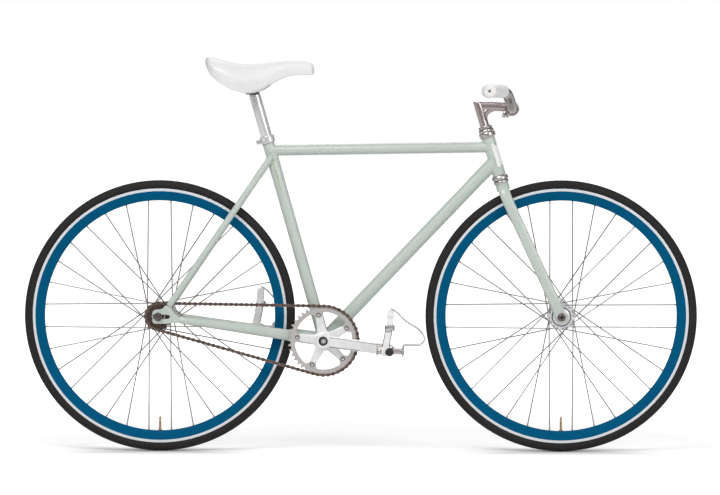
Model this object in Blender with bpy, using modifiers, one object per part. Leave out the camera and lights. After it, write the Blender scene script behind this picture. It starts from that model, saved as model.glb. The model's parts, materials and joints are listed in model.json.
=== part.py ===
"""A single-speed fixed-wheel bicycle, built as separate solids.

Metres, +Z up.  +X is forward, +Y is the rider's left, and the chain is on
the -Y side.  The origin is on the ground, midway between the two axles.
"""

import math

import bmesh
import bpy
import numpy as np
from mathutils import Matrix, Vector

# Clearances
GAP = 0.0003
RUNNING = 0.0005

# Wheels
WHEEL_SEGMENTS = 36
WHEELBASE = 0.9888
TYRE_RADIUS = 0.334
TYRE_WIDTH = 0.0235
TYRE_WALL = 0.0024
RIM_RADIUS = 0.3165
RIM_WIDTH = 0.0195
RIM_WALL = 0.0017
RIM_WELL_DEPTH = 0.0052
BRAKE_TRACK = 0.0105
RIM_DEPTH = 0.0325
RIM_BED_WIDTH = 0.0075
TUBE_SECTION = 0.0066
VALVE_RADIUS = 0.003
VALVE_LENGTH = 0.036

# Spokes, laced in pairs that cross three times
SPOKE_COUNT = 32
SPOKE_CROSSES = 3
SPOKE_RADIUS = 0.001
SPOKE_CIRCLE = 0.030

# Hubs
FLANGE_RADIUS = 0.0335
FLANGE_THICKNESS = 0.0034
HUB_BARREL_RADIUS = 0.0155
HUB_NECK_WALL = 0.0030
BEARING_SEAT = 0.0130
BEARING_DEPTH = 0.0070
FRONT_SPACING = 0.100
REAR_SPACING = 0.120
FRONT_FLANGE_Y = 0.0350
REAR_FLANGE_LEFT_Y = 0.0350
REAR_FLANGE_RIGHT_Y = -0.0290
HUB_END_INSET = 0.0050
FRONT_AXLE_RADIUS = 0.0045
FRONT_AXLE_BORE = 0.0030
REAR_AXLE_RADIUS = 0.0050
AXLE_LOCKNUT_RADIUS = 0.0085

# Chain drive
CHAIN_PITCH = 0.0127
CHAIN_LINKS = 94
CHAIN_LINE = 0.0435
CHAIN_INNER_HALF_WIDTH = 0.0024
CHAIN_PLATE = 0.0014
CHAIN_LINK_STEP = 0.0007
CHAIN_PLATE_HALF_HEIGHT = 0.0042
CHAIN_WAIST_HALF_HEIGHT = 0.0027
CHAIN_ROLLER_HALF_LENGTH = 0.0031
RING_TEETH = 42
COG_TEETH = 16
TOOTH_RISE = 0.0030
RING_THICKNESS = 0.0030
RING_INNER_RADIUS = 0.0705
RING_TAB_RADIUS = 0.0585
RING_TAB_HALF_WIDTH = 0.0085
COG_THICKNESS = 0.0032
COG_BORE = 0.0175
LOCKRING_RADIUS = 0.0205
LOCKRING_THICKNESS = 0.0040

# Frame
SEAT_ANGLE = math.radians(74.2)
HEAD_ANGLE = math.radians(73.5)
BRACKET_DROP = 0.0592
SEAT_TUBE_LENGTH = 0.5205
SEAT_TUBE_RADIUS = 0.0143
SEAT_TUBE_WALL = 0.0005
TOP_TUBE_RADIUS = 0.0130
DOWN_TUBE_RADIUS = 0.0161
HEAD_TUBE_RADIUS = 0.0160
TUBE_WALL = 0.0011
TOP_TUBE_UP_SEAT_TUBE = 0.4845
TOP_TUBE_BELOW_HEAD_TOP = 0.0235
DOWN_TUBE_ABOVE_HEAD_FOOT = 0.0360
HEAD_TUBE_LENGTH = 0.0955
BRACKET_RADIUS = 0.0200
BRACKET_WIDTH = 0.068
BRACKET_BORE = 0.0172
CARTRIDGE_LIP = 0.0012
CHAINSTAY_BRACKET_Y = 0.0240
CHAINSTAY_WAIST_Y = 0.0275
CHAINSTAY_HEIGHT = 0.0145
CHAINSTAY_HALF_WIDTH = 0.0082
CHAINSTAY_END_RADIUS = 0.0088
SEAT_STAY_RADIUS = 0.0078
SEAT_STAY_TOP_Y = 0.0130
SEAT_STAY_UP_SEAT_TUBE = 0.4700
DROPOUT_THICKNESS = 0.0055
DROPOUT_SLOT_AHEAD = 0.0240
DROPOUT_BEHIND = 0.0140
DROPOUT_HALF_HEIGHT = 0.0170
STAY_SEAT_X = 0.0262
STAY_SEAT_Z = 0.0262
CHAINSTAY_SEAT_X = 0.0500
CHAINSTAY_SEAT_Z = -0.0073
COLLAR_HEIGHT = 0.0170
COLLAR_WALL = 0.0032
COLLAR_EAR_REACH = 0.0270
COLLAR_SLIT = 0.0022

# Fork and headset
FORK_RAKE = 0.0480
FORK_LENGTH = 0.3545
STEERER_RADIUS = 0.0127
STEERER_BORE = 0.0116
LOWER_STACK = 0.0210
UPPER_STACK = 0.0300
RACE_HEIGHT = 0.0080
CUP_RADIUS = 0.0200
LOCKNUT_HEIGHT = 0.0150
CROWN_RADIUS = 0.0165
CROWN_HEIGHT = 0.0170
BLADE_HALF_DEPTH = 0.0135
BLADE_HALF_THICKNESS = 0.0080
BLADE_KINK = 0.3250
BLADE_CROWN_Y = 0.0310
TIP_THICKNESS = 0.0055
TIP_RADIUS = 0.0120

# Stem, bar and grips
QUILL_RADIUS = 0.0111
QUILL_DEPTH = 0.0650
STEM_HEIGHT = 0.0480
STEM_REACH = 0.0800
STEM_HALF_DEPTH = 0.0108
STEM_HALF_WIDTH = 0.0095
CLAMP_RADIUS = 0.0178
CLAMP_WIDTH = 0.0360
EXPANDER_BOLT_RADIUS = 0.0036
WEDGE_LENGTH = 0.0220
BAR_RADIUS = 0.0127
BAR_END_RADIUS = 0.0111
BAR_RISE = 0.0430
BAR_HALF_WIDTH = 0.2900
GRIP_LENGTH = 0.1150
GRIP_RADIUS = 0.0155
GRIP_END_WALL = 0.0040
GRIP_END_HOLE = 0.0032
GRIP_SWEEP = math.radians(17.0)

# Seatpost and saddle
SEATPOST_RADIUS = 0.0136
SEATPOST_WALL = 0.0018
SEATPOST_INSERTION = 0.1100
SEATPOST_EXTENSION = 0.1180
POST_HEAD_RADIUS = 0.0085
POST_TUBE_BELOW_HEAD = 0.0072
POST_HEAD_HALF_WIDTH = 0.0142
RAIL_RADIUS = 0.0035
RAIL_SPACING = 0.0440
CLAMP_BLOCK_LENGTH = 0.0300
SADDLE_PAD = 0.0060
SADDLE_SHELL = 0.0025

# Cranks and pedals
CRANK_LENGTH = 0.165
CRANK_ANGLE = math.radians(-7.2)
CRANK_FACE_Y = 0.0660
CRANK_PEDAL_FACE_Y = 0.0750
CRANK_THICKNESS = 0.0130
CRANK_BOSS_RADIUS = 0.0180
CRANK_HALF_HEIGHT = 0.0158
CRANK_TIP_HALF_HEIGHT = 0.0132
SPINDLE_RADIUS = 0.0083
SPINDLE_SQUARE = 0.0120
CRANK_BOLT_RADIUS = 0.0110
SPIDER_CIRCLE = 0.0650
SPIDER_THICKNESS = 0.0050
SPIDER_HALF_WIDTH = 0.0095
SPIDER_TIP = 0.0080
PEDAL_CAGE_LENGTH = 0.0640
PEDAL_CAGE_WIDTH = 0.0760
PEDAL_CAGE_HEIGHT = 0.0240
PEDAL_PLATE = 0.0022
PEDAL_BARREL_RADIUS = 0.0090
PEDAL_SPINDLE_RADIUS = 0.0050
PEDAL_CAP_RADIUS = 0.0100
PEDAL_OFFSET = 0.0090
TOE_WIRE_RADIUS = 0.0016
STRAP_WIDTH = 0.0130
STRAP_THICKNESS = 0.0022

# Places worked out from the sizes above
Y_AXIS = Vector((0, 1, 0))
REAR_AXLE = Vector((-WHEELBASE / 2, 0, TYRE_RADIUS))
FRONT_AXLE = Vector((WHEELBASE / 2, 0, TYRE_RADIUS))
SEAT_UP = Vector((-math.cos(SEAT_ANGLE), 0, math.sin(SEAT_ANGLE)))
SEAT_BACK = Vector((-math.sin(SEAT_ANGLE), 0, -math.cos(SEAT_ANGLE)))
STEER_UP = Vector((-math.cos(HEAD_ANGLE), 0, math.sin(HEAD_ANGLE)))
STEER_AHEAD = Vector((math.sin(HEAD_ANGLE), 0, math.cos(HEAD_ANGLE)))
STEER_FOOT = FRONT_AXLE - STEER_AHEAD * FORK_RAKE
CRANK_ALONG = Vector((math.cos(CRANK_ANGLE), 0, math.sin(CRANK_ANGLE)))
RIM_BED_RADIUS = RIM_RADIUS - RIM_DEPTH


def pitch_radius(teeth):
    """Radius of the circle on which a sprocket carries the chain's pins."""
    return CHAIN_PITCH / (2 * math.sin(math.pi / teeth))


RING_PITCH_RADIUS = pitch_radius(RING_TEETH)
COG_PITCH_RADIUS = pitch_radius(COG_TEETH)


def loop_links(distance):
    """Number of links that a taut loop holds at a centre distance."""
    step = RING_PITCH_RADIUS - COG_PITCH_RADIUS
    lean = math.asin(step / distance)
    straight = 2 * math.sqrt(distance ** 2 - step ** 2) / CHAIN_PITCH
    around_ring = RING_TEETH * (math.pi + 2 * lean) / (2 * math.pi)
    around_cog = COG_TEETH * (math.pi - 2 * lean) / (2 * math.pi)
    return straight + around_ring + around_cog


def centre_distance():
    """Distance from axle to bottom bracket at which the chain is taut."""
    low = RING_PITCH_RADIUS + COG_PITCH_RADIUS
    high = CHAIN_LINKS * CHAIN_PITCH
    for _ in range(60):
        middle = (low + high) / 2
        if loop_links(middle) < CHAIN_LINKS:
            low = middle
        else:
            high = middle
    return (low + high) / 2


CHAINSTAY_LENGTH = centre_distance()
BRACKET = REAR_AXLE + Vector((
    math.sqrt(CHAINSTAY_LENGTH ** 2 - BRACKET_DROP ** 2), 0, -BRACKET_DROP))
HEAD_FOOT = STEER_FOOT + STEER_UP * (FORK_LENGTH + LOWER_STACK)
HEAD_TOP = HEAD_FOOT + STEER_UP * HEAD_TUBE_LENGTH
TILT_POINT = BRACKET + SEAT_UP * (SEAT_TUBE_LENGTH + SEATPOST_EXTENSION)


# Scene, collections and materials

def clear_scene():
    """Remove every object that the new file holds."""
    for item in list(bpy.data.objects):
        bpy.data.objects.remove(item, do_unlink=True)


def new_collection(name):
    collection = bpy.data.collections.new(name)
    bpy.context.scene.collection.children.link(collection)
    return collection


def principled(name, colour, roughness, metallic):
    material = bpy.data.materials.new(name)
    material.use_nodes = True
    shader = material.node_tree.nodes["Principled BSDF"]
    shader.inputs["Base Color"].default_value = (*colour, 1.0)
    shader.inputs["Roughness"].default_value = roughness
    shader.inputs["Metallic"].default_value = metallic
    material.diffuse_color = (*colour, 1.0)
    return material


def mint_paint(name):
    return principled(name, (0.50, 0.62, 0.54), 0.30, 0.0)


def blue_paint(name):
    return principled(name, (0.0, 0.12, 0.31), 0.35, 0.0)


def polished_alloy(name):
    return principled(name, (0.80, 0.80, 0.81), 0.22, 1.0)


def satin_steel(name):
    return principled(name, (0.55, 0.55, 0.56), 0.35, 1.0)


def dark_steel(name):
    return principled(name, (0.10, 0.08, 0.07), 0.45, 0.9)


def bronze_steel(name):
    return principled(name, (0.16, 0.11, 0.09), 0.40, 0.9)


def black_rubber(name):
    return principled(name, (0.02, 0.02, 0.02), 0.75, 0.0)


def white_vinyl(name):
    return principled(name, (0.86, 0.86, 0.86), 0.45, 0.0)


def black_plastic(name):
    return principled(name, (0.03, 0.03, 0.03), 0.50, 0.0)


# Mesh and modifier helpers

def add_mesh_object(name, mesh, collection, material=None, origin=None):
    """Link a mesh as an object whose origin is moved to a joint's axis."""
    item = bpy.data.objects.new(name, mesh)
    if origin is not None:
        mesh.transform(Matrix.Translation(-Vector(origin)))
        item.location = origin
    if material is not None:
        mesh.materials.clear()
        mesh.materials.append(material)
    collection.objects.link(item)
    return item


def finish_smooth(mesh, angle=40):
    mesh.shade_smooth()
    mesh.set_sharp_from_angle(angle=math.radians(angle))


def turned_mesh(name, profile, axis_from, axis_to, steps, closed=True):
    """Turn (radius, height) points, outer side first and downwards.

    Heights run from axis_from, along the line to axis_to.  An open
    profile starts and ends on the axis.
    """
    bm = bmesh.new()
    points = [bm.verts.new((radius, 0, height)) for radius, height in profile]
    for a, b in zip(points, points[1:]):
        bm.edges.new((a, b))
    if closed:
        bm.edges.new((points[-1], points[0]))
    mesh = bpy.data.meshes.new(name)
    bm.to_mesh(mesh)
    bm.free()
    guide = bpy.data.objects.new(name + "_profile", mesh)
    bpy.context.scene.collection.objects.link(guide)
    screw = guide.modifiers.new("Screw", "SCREW")
    screw.steps = steps
    screw.render_steps = steps
    screw.use_merge_vertices = True
    screw.merge_threshold = 0.00001
    screw.use_smooth_shade = True
    bpy.context.view_layer.update()
    evaluated = guide.evaluated_get(bpy.context.evaluated_depsgraph_get())
    result = bpy.data.meshes.new_from_object(evaluated)
    bpy.data.objects.remove(guide, do_unlink=True)
    result.name = name
    direction = (Vector(axis_to) - Vector(axis_from)).normalized()
    turn = direction.to_track_quat("Z", "Y").to_matrix().to_4x4()
    result.transform(Matrix.Translation(axis_from) @ turn)
    finish_smooth(result)
    return result


def cylinder_mesh(name, start, end, radius, steps):
    """Solid round bar from start to end."""
    length = (Vector(end) - Vector(start)).length
    profile = [(0, length), (radius, length), (radius, 0), (0, 0)]
    return turned_mesh(name, profile, start, end, steps, closed=False)


def tube_mesh(name, start, end, radius, bore, steps):
    """Open round tube from start to end."""
    length = (Vector(end) - Vector(start)).length
    profile = [(radius, length), (radius, 0), (bore, 0), (bore, length)]
    return turned_mesh(name, profile, start, end, steps)


def loft_mesh(name, rings, closed=False):
    """Skin a row of rings that have the same number of points."""
    bm = bmesh.new()
    rows = [[bm.verts.new(point) for point in ring] for ring in rings]
    count = len(rows[0])
    pairs = list(zip(rows, rows[1:]))
    if closed:
        pairs.append((rows[-1], rows[0]))
    for low, high in pairs:
        for i in range(count):
            j = (i + 1) % count
            bm.faces.new((low[i], low[j], high[j], high[i]))
    if not closed:
        bm.faces.new(list(reversed(rows[0])))
        bm.faces.new(rows[-1])
    bmesh.ops.recalc_face_normals(bm, faces=bm.faces)
    bmesh.ops.triangulate(bm, faces=bm.faces)
    mesh = bpy.data.meshes.new(name)
    bm.to_mesh(mesh)
    bm.free()
    finish_smooth(mesh)
    return mesh


def box_mesh(name, centre, size, along=Vector((1, 0, 0)), bevel=0.0):
    """Box whose first side lies along a direction in the XZ plane."""
    bm = bmesh.new()
    bmesh.ops.create_cube(bm, size=1.0)
    bmesh.ops.scale(bm, vec=size, verts=bm.verts)
    if bevel > 0:
        bmesh.ops.bevel(bm, geom=bm.edges[:], offset=bevel, segments=1,
                        affect="EDGES", profile=0.5)
    mesh = bpy.data.meshes.new(name)
    bm.to_mesh(mesh)
    bm.free()
    turn = Matrix.Rotation(-math.atan2(along.z, along.x), 4, "Y")
    mesh.transform(Matrix.Translation(centre) @ turn)
    return mesh


def plate_mesh(name, outline, y_low, y_high, holes=()):
    """Flat plate in the XZ plane, a filled 2D curve given a thickness."""
    curve = bpy.data.curves.new(name, "CURVE")
    curve.dimensions = "2D"
    curve.fill_mode = "BOTH"
    curve.extrude = (y_high - y_low) / 2
    for points in (outline, *holes):
        spline = curve.splines.new("POLY")
        spline.points.add(len(points) - 1)
        for point, (x, z) in zip(spline.points, points):
            point.co = (x, z, 0, 1)
        spline.use_cyclic_u = True
    stand_up = Matrix.Rotation(math.pi / 2, 4, "X")
    place = Matrix.Translation((0, (y_low + y_high) / 2, 0)) @ stand_up
    return curve_to_mesh(name, curve, place)


def curve_to_mesh(name, curve, place=Matrix.Identity(4)):
    """Mesh of a curve's evaluated shape, with its caps welded on."""
    guide = bpy.data.objects.new(name + "_curve", curve)
    guide.matrix_world = place
    bpy.context.scene.collection.objects.link(guide)
    bpy.context.view_layer.update()
    evaluated = guide.evaluated_get(bpy.context.evaluated_depsgraph_get())
    mesh = bpy.data.meshes.new_from_object(evaluated)
    bpy.data.objects.remove(guide, do_unlink=True)
    mesh.name = name
    bm = bmesh.new()
    bm.from_mesh(mesh)
    bmesh.ops.remove_doubles(bm, verts=bm.verts, dist=0.00001)
    bmesh.ops.recalc_face_normals(bm, faces=bm.faces)
    bm.to_mesh(mesh)
    bm.free()
    mesh.transform(place)
    finish_smooth(mesh)
    return mesh


def wire_mesh(name, points, radii, bevel_resolution, cyclic=False):
    """Round wire through points, thicker or thinner at each of them."""
    curve = bpy.data.curves.new(name, "CURVE")
    curve.dimensions = "3D"
    curve.bevel_depth = 1.0
    curve.bevel_resolution = bevel_resolution
    curve.render_resolution_u = 0
    curve.use_fill_caps = not cyclic
    spline = curve.splines.new("POLY")
    spline.points.add(len(points) - 1)
    for point, place, radius in zip(spline.points, points, radii):
        point.co = (*place, 1)
        point.radius = radius
    spline.use_cyclic_u = cyclic
    return curve_to_mesh(name, curve)


def smooth_path(points, per_span):
    """Points along a smooth curve through the given points."""
    knots = [np.array(point, dtype=float) for point in points]
    knots = [2 * knots[0] - knots[1]] + knots + [2 * knots[-1] - knots[-2]]
    path = []
    for a, b, c, d in zip(knots, knots[1:], knots[2:], knots[3:]):
        for t in np.arange(per_span) / per_span:
            path.append(0.5 * (2 * b + (c - a) * t
                               + (2 * a - 5 * b + 4 * c - d) * t ** 2
                               + (3 * b - a - 3 * c + d) * t ** 3))
    path.append(knots[-2])
    return [Vector(point) for point in path]


class Assembly:
    """The bicycle's collections, and the joins and cuts made in them."""

    def __init__(self):
        self.parts = new_collection("bicycle")
        self.cutters = new_collection("cutters")

    def part(self, name, mesh, material, origin=None):
        return add_mesh_object(name, mesh, self.parts, material, origin)

    def combine(self, target, mesh, operation, self_crossing=False):
        """Cut a mesh out of a part, or join it on."""
        number = len(target.modifiers) + 1
        label = f"{target.name}_{operation.lower()}_{number}"
        tool = add_mesh_object(label, mesh, self.cutters)
        tool.hide_render = True
        tool.display_type = "WIRE"
        modifier = target.modifiers.new(label, "BOOLEAN")
        modifier.operation = operation
        modifier.solver = "EXACT"
        modifier.use_self = self_crossing
        modifier.object = tool
        return tool

    def cut(self, target, mesh):
        return self.combine(target, mesh, "DIFFERENCE")

    def join(self, target, mesh, self_crossing=False):
        return self.combine(target, mesh, "UNION", self_crossing)


def mirrored_y(points):
    return [Vector((p[0], -p[1], p[2])) for p in points]


def ellipse_ring(centre, side, up, half_side, half_up, count, power=2.0):
    """Points of a superellipse about a centre, in the plane of side and up."""
    ring = []
    for k in range(count):
        angle = 2 * math.pi * (k + 0.5) / count
        c, s = math.cos(angle), math.sin(angle)
        x = math.copysign(abs(c) ** (2 / power), c) * half_side
        z = math.copysign(abs(s) ** (2 / power), s) * half_up
        ring.append(Vector(centre) + side * x + up * z)
    return ring


def bore_radius(radius, clearance, steps):
    """Corner radius of a faceted bore that clears a round of this radius."""
    return (radius + clearance) / math.cos(math.pi / steps)


# Wheels

def turned_about_wheel(name, profile, axle, steps):
    """Turn (radius, y) points about a wheel's axle."""
    return turned_mesh(name, profile, axle, axle + Y_AXIS, steps)


def arc(centre, radius, first, last, count):
    """(radius, y) points on an arc, angles in degrees from the outward way."""
    points = []
    for k in range(count):
        angle = math.radians(first + (last - first) * k / (count - 1))
        points.append((centre + radius * math.cos(angle),
                       radius * math.sin(angle)))
    return points


def make_tyre(bike, prefix, axle):
    half = TYRE_WIDTH / 2
    centre = TYRE_RADIUS - half
    shoulder = math.degrees(math.acos((RIM_RADIUS + GAP - centre) / half))
    bead = RIM_WIDTH / 2 - RIM_WALL - GAP
    hook = RIM_RADIUS + GAP
    foot = RIM_RADIUS - RIM_WELL_DEPTH + GAP
    inner = half - TYRE_WALL
    profile = arc(centre, half, shoulder, -shoulder, 5)
    profile += [(hook, -bead), (foot, -bead + 0.0006),
                (hook + 0.0002, -bead + TYRE_WALL)]
    profile += arc(centre, inner, -80, 80, 3)
    profile += [(hook + 0.0002, bead - TYRE_WALL), (foot, bead - 0.0006),
                (hook, bead)]
    mesh = turned_about_wheel(prefix + "_tyre", profile, axle, WHEEL_SEGMENTS)
    return bike.part(prefix + "_tyre", mesh,
                     black_rubber(prefix + "_tyre_rubber"), axle)


def make_rim(bike, prefix, axle):
    half = RIM_WIDTH / 2
    well = RIM_RADIUS - RIM_WELL_DEPTH
    bed = RIM_BED_WIDTH / 2
    track = RIM_RADIUS - BRAKE_TRACK
    profile = [(RIM_RADIUS, half), (RIM_RADIUS, half - RIM_WALL),
               (well, half - RIM_WALL), (well, RIM_WALL - half),
               (RIM_RADIUS, RIM_WALL - half), (RIM_RADIUS, -half),
               (track, -half), (RIM_BED_RADIUS, -bed),
               (RIM_BED_RADIUS, bed), (track, half)]
    profile.reverse()
    mesh = turned_about_wheel(prefix + "_rim", profile, axle, WHEEL_SEGMENTS)
    rim = bike.part(prefix + "_rim", mesh, blue_paint(prefix + "_rim_paint"),
                    axle)
    hole = cylinder_mesh("hole", axle - Vector((0, 0, RIM_RADIUS)),
                         axle - Vector((0, 0, RIM_BED_RADIUS - 0.01)),
                         bore_radius(VALVE_RADIUS, GAP, 8), 8)
    bike.cut(rim, hole)
    return rim


def make_inner_tube(bike, prefix, axle):
    centre = TYRE_RADIUS - TYRE_WIDTH / 2
    profile = arc(centre, TUBE_SECTION, 180, -90, 4)
    mesh = turned_about_wheel(prefix + "_tube", profile, axle, WHEEL_SEGMENTS)
    tube = bike.part(prefix + "_inner_tube", mesh,
                     black_rubber(prefix + "_tube_rubber"), axle)
    root = axle - Vector((0, 0, centre))
    tip = axle - Vector((0, 0, RIM_RADIUS - RIM_DEPTH - VALVE_LENGTH))
    length = (tip - root).length
    stem = [(0, length), (VALVE_RADIUS * 0.55, length),
            (VALVE_RADIUS * 0.55, length - 0.010),
            (VALVE_RADIUS, length - 0.012), (VALVE_RADIUS, 0), (0, 0)]
    bike.join(tube, turned_mesh("valve", stem, root, tip, 8, closed=False))
    return tube


def spoke_ring(point, along, radius, count=3):
    """Few-sided ring about a point, across a direction."""
    side = along.cross(Y_AXIS).normalized()
    up = along.cross(side).normalized()
    ring = []
    for k in range(count):
        angle = 2 * math.pi * (k + 0.5) / count
        ring.append(point + side * radius * math.cos(angle)
                    + up * radius * math.sin(angle))
    return ring


def spokes_mesh(axle, right_flange, left_flange):
    """All spokes of a wheel, as one mesh.

    Along the rim they go to either flange in turn, and on a flange they
    lead and trail in turn, one on its outer and one on its inner face.
    """
    bm = bmesh.new()
    step = 2 * math.pi / SPOKE_COUNT
    cross_angle = SPOKE_CROSSES * 2 * step
    half_facet = math.pi / WHEEL_SEGMENTS
    for k in range(SPOKE_COUNT):
        rim_angle = step * (k + 0.5)
        off_middle = rim_angle % (2 * half_facet) - half_facet
        bed = RIM_BED_RADIUS * math.cos(half_facet) / math.cos(off_middle)
        reach = bed - 2 * GAP
        flange = right_flange if k % 2 == 0 else left_flange
        lead = 1 if (k // 2) % 2 == 0 else -1
        hub_angle = rim_angle + lead * cross_angle
        outside = math.copysign(1, flange) * lead
        offset = outside * (FLANGE_THICKNESS / 2 + SPOKE_RADIUS * 0.4)
        start = axle + Vector((SPOKE_CIRCLE * math.cos(hub_angle),
                               flange + offset,
                               SPOKE_CIRCLE * math.sin(hub_angle)))
        end = axle + Vector((reach * math.cos(rim_angle), 0,
                             reach * math.sin(rim_angle)))
        along = (end - start).normalized()
        bm.from_mesh(loft_mesh("spoke", [
            spoke_ring(start, along, SPOKE_RADIUS),
            spoke_ring(end, along, SPOKE_RADIUS)]))
    mesh = bpy.data.meshes.new("spokes")
    bm.to_mesh(mesh)
    bm.free()
    return mesh


def hub_profile(end_low, end_high, flange_low, flange_high):
    """(radius, y) outline of a hub shell with two high flanges."""
    web = FLANGE_THICKNESS / 2
    neck = BEARING_SEAT + HUB_NECK_WALL
    return [(neck, end_low), (neck, flange_low - web),
            (FLANGE_RADIUS, flange_low - web),
            (FLANGE_RADIUS, flange_low + web),
            (HUB_BARREL_RADIUS, flange_low + web + 0.002),
            (HUB_BARREL_RADIUS, flange_high - web - 0.002),
            (FLANGE_RADIUS, flange_high - web),
            (FLANGE_RADIUS, flange_high + web),
            (neck, flange_high + web), (neck, end_high),
            (BEARING_SEAT, end_high), (BEARING_SEAT, end_low)]


def make_hub(bike, prefix, axle, ends, flanges):
    profile = hub_profile(ends[0], ends[1], flanges[0], flanges[1])
    profile.reverse()
    mesh = turned_about_wheel(prefix + "_hub", profile, axle, 16)
    hub = bike.part(prefix + "_hub_and_spokes", mesh,
                    polished_alloy(prefix + "_hub_alloy"), axle)
    bike.join(hub, spokes_mesh(axle, flanges[0], flanges[1]),
              self_crossing=True)
    return hub


def make_axle(bike, name, axle, spacing, shaft, reach, ends, bore):
    """Shaft with its bearing cones and locknuts, and an optional bore."""
    half = spacing / 2
    cone = BEARING_SEAT - RUNNING - 0.0003
    inner_low = ends[0] + BEARING_DEPTH
    inner_high = ends[1] - BEARING_DEPTH
    profile = [(shaft, reach), (shaft, half),
               (AXLE_LOCKNUT_RADIUS, half),
               (AXLE_LOCKNUT_RADIUS, ends[1] + GAP), (cone, ends[1] + GAP),
               (cone, inner_high), (shaft, inner_high), (shaft, inner_low),
               (cone, inner_low), (cone, ends[0] - GAP),
               (AXLE_LOCKNUT_RADIUS, ends[0] - GAP),
               (AXLE_LOCKNUT_RADIUS, -half), (shaft, -half), (shaft, -reach)]
    if bore > 0:
        profile += [(bore, -reach), (bore, reach)]
        mesh = turned_about_wheel(name, profile, axle, 12)
    else:
        profile = [(0, reach)] + profile + [(0, -reach)]
        mesh = turned_mesh(name, profile, axle, axle + Y_AXIS, 12,
                           closed=False)
    return bike.part(name, mesh, satin_steel(name + "_steel"), axle)


def make_front_wheel(bike):
    half = FRONT_SPACING / 2
    ends = (-half + HUB_END_INSET, half - HUB_END_INSET)
    make_tyre(bike, "front", FRONT_AXLE)
    make_rim(bike, "front", FRONT_AXLE)
    make_inner_tube(bike, "front", FRONT_AXLE)
    make_hub(bike, "front", FRONT_AXLE, ends,
             (-FRONT_FLANGE_Y, FRONT_FLANGE_Y))
    reach = half + TIP_THICKNESS
    make_axle(bike, "front_axle", FRONT_AXLE, FRONT_SPACING,
              FRONT_AXLE_RADIUS, reach, ends, FRONT_AXLE_BORE)
    for side, word in ((-1, "right"), (1, "left")):
        make_front_bolt(bike, word, side, reach)


def make_front_bolt(bike, word, side, reach):
    """Washer-faced bolt with a socket head, in the end of the front axle."""
    shank = FRONT_AXLE_BORE * math.cos(math.pi / 12) - GAP
    seat = reach + 2 * GAP
    profile = [(0, seat + 0.0070), (0.0030, seat + 0.0070),
               (0.0030, seat + 0.0110), (0.0075, seat + 0.0110),
               (0.0075, seat + 0.0020), (0.0100, seat + 0.0015),
               (0.0100, seat), (shank, seat), (shank, seat - 0.0140),
               (0, seat - 0.0140)]
    mesh = turned_mesh("bolt", profile, FRONT_AXLE,
                       FRONT_AXLE + Y_AXIS * side, 12, closed=False)
    bike.part(f"front_axle_bolt_{word}", mesh,
              satin_steel(f"front_bolt_{word}_steel"), FRONT_AXLE)


def make_rear_wheel(bike):
    half = REAR_SPACING / 2
    ends = (-half + HUB_END_INSET, half - HUB_END_INSET)
    make_tyre(bike, "rear", REAR_AXLE)
    make_rim(bike, "rear", REAR_AXLE)
    make_inner_tube(bike, "rear", REAR_AXLE)
    make_hub(bike, "rear", REAR_AXLE, ends,
             (REAR_FLANGE_RIGHT_Y, REAR_FLANGE_LEFT_Y))
    reach = half + DROPOUT_THICKNESS + 0.0080
    make_axle(bike, "rear_axle", REAR_AXLE, REAR_SPACING, REAR_AXLE_RADIUS,
              reach, ends, 0)
    for side, word in ((-1, "right"), (1, "left")):
        make_track_nut(bike, word, side, half + DROPOUT_THICKNESS + 2 * GAP)


def make_track_nut(bike, word, side, seat):
    """Hexagonal nut with a washer face, over the end of the rear axle."""
    height = 0.0085
    bore = bore_radius(REAR_AXLE_RADIUS, GAP, 12)
    name = f"rear_axle_nut_{word}"
    nut = bike.part(name, cylinder_mesh(
        name, REAR_AXLE + Y_AXIS * side * (seat + 0.0018),
        REAR_AXLE + Y_AXIS * side * (seat + height), 0.0088, 6),
        satin_steel(name + "_steel"), REAR_AXLE)
    bike.join(nut, cylinder_mesh(
        "washer", REAR_AXLE + Y_AXIS * side * seat,
        REAR_AXLE + Y_AXIS * side * (seat + 0.0020), 0.0102, 12))
    bike.cut(nut, cylinder_mesh(
        "bore", REAR_AXLE + Y_AXIS * side * (seat - 0.005),
        REAR_AXLE + Y_AXIS * side * (seat + height + 0.005), bore, 12))


# Chain and sprockets

def chain_geometry():
    """Angle of the ring's upper tangent point, and two stretches in links."""
    along = (BRACKET - REAR_AXLE).normalized()
    lean = math.asin((RING_PITCH_RADIUS - COG_PITCH_RADIUS)
                     / CHAINSTAY_LENGTH)
    straight = CHAINSTAY_LENGTH * math.cos(lean) / CHAIN_PITCH
    around_ring = RING_TEETH * (math.pi + 2 * lean) / (2 * math.pi)
    top = math.atan2(along.z, along.x) + math.pi / 2 + lean
    return top, straight, around_ring


def chain_point(link):
    """Place of a pin, counted in links from the ring's upper tangent."""
    top, straight, around_ring = chain_geometry()
    ring_step = 2 * math.pi / RING_TEETH
    cog_step = 2 * math.pi / COG_TEETH
    foot = top - around_ring * ring_step

    def on_circle(centre, radius, angle):
        return centre + Vector((math.cos(angle), 0, math.sin(angle))) * radius

    if link <= around_ring:
        return on_circle(BRACKET, RING_PITCH_RADIUS, top - link * ring_step)
    link -= around_ring
    if link <= straight:
        start = on_circle(BRACKET, RING_PITCH_RADIUS, foot)
        end = on_circle(REAR_AXLE, COG_PITCH_RADIUS, foot)
        return start.lerp(end, link / straight)
    link -= straight
    around_cog = CHAIN_LINKS - 2 * straight - around_ring
    if link <= around_cog:
        return on_circle(REAR_AXLE, COG_PITCH_RADIUS, foot - link * cog_step)
    link -= around_cog
    start = on_circle(REAR_AXLE, COG_PITCH_RADIUS, top)
    end = on_circle(BRACKET, RING_PITCH_RADIUS, top)
    return start.lerp(end, link / straight)


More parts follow.
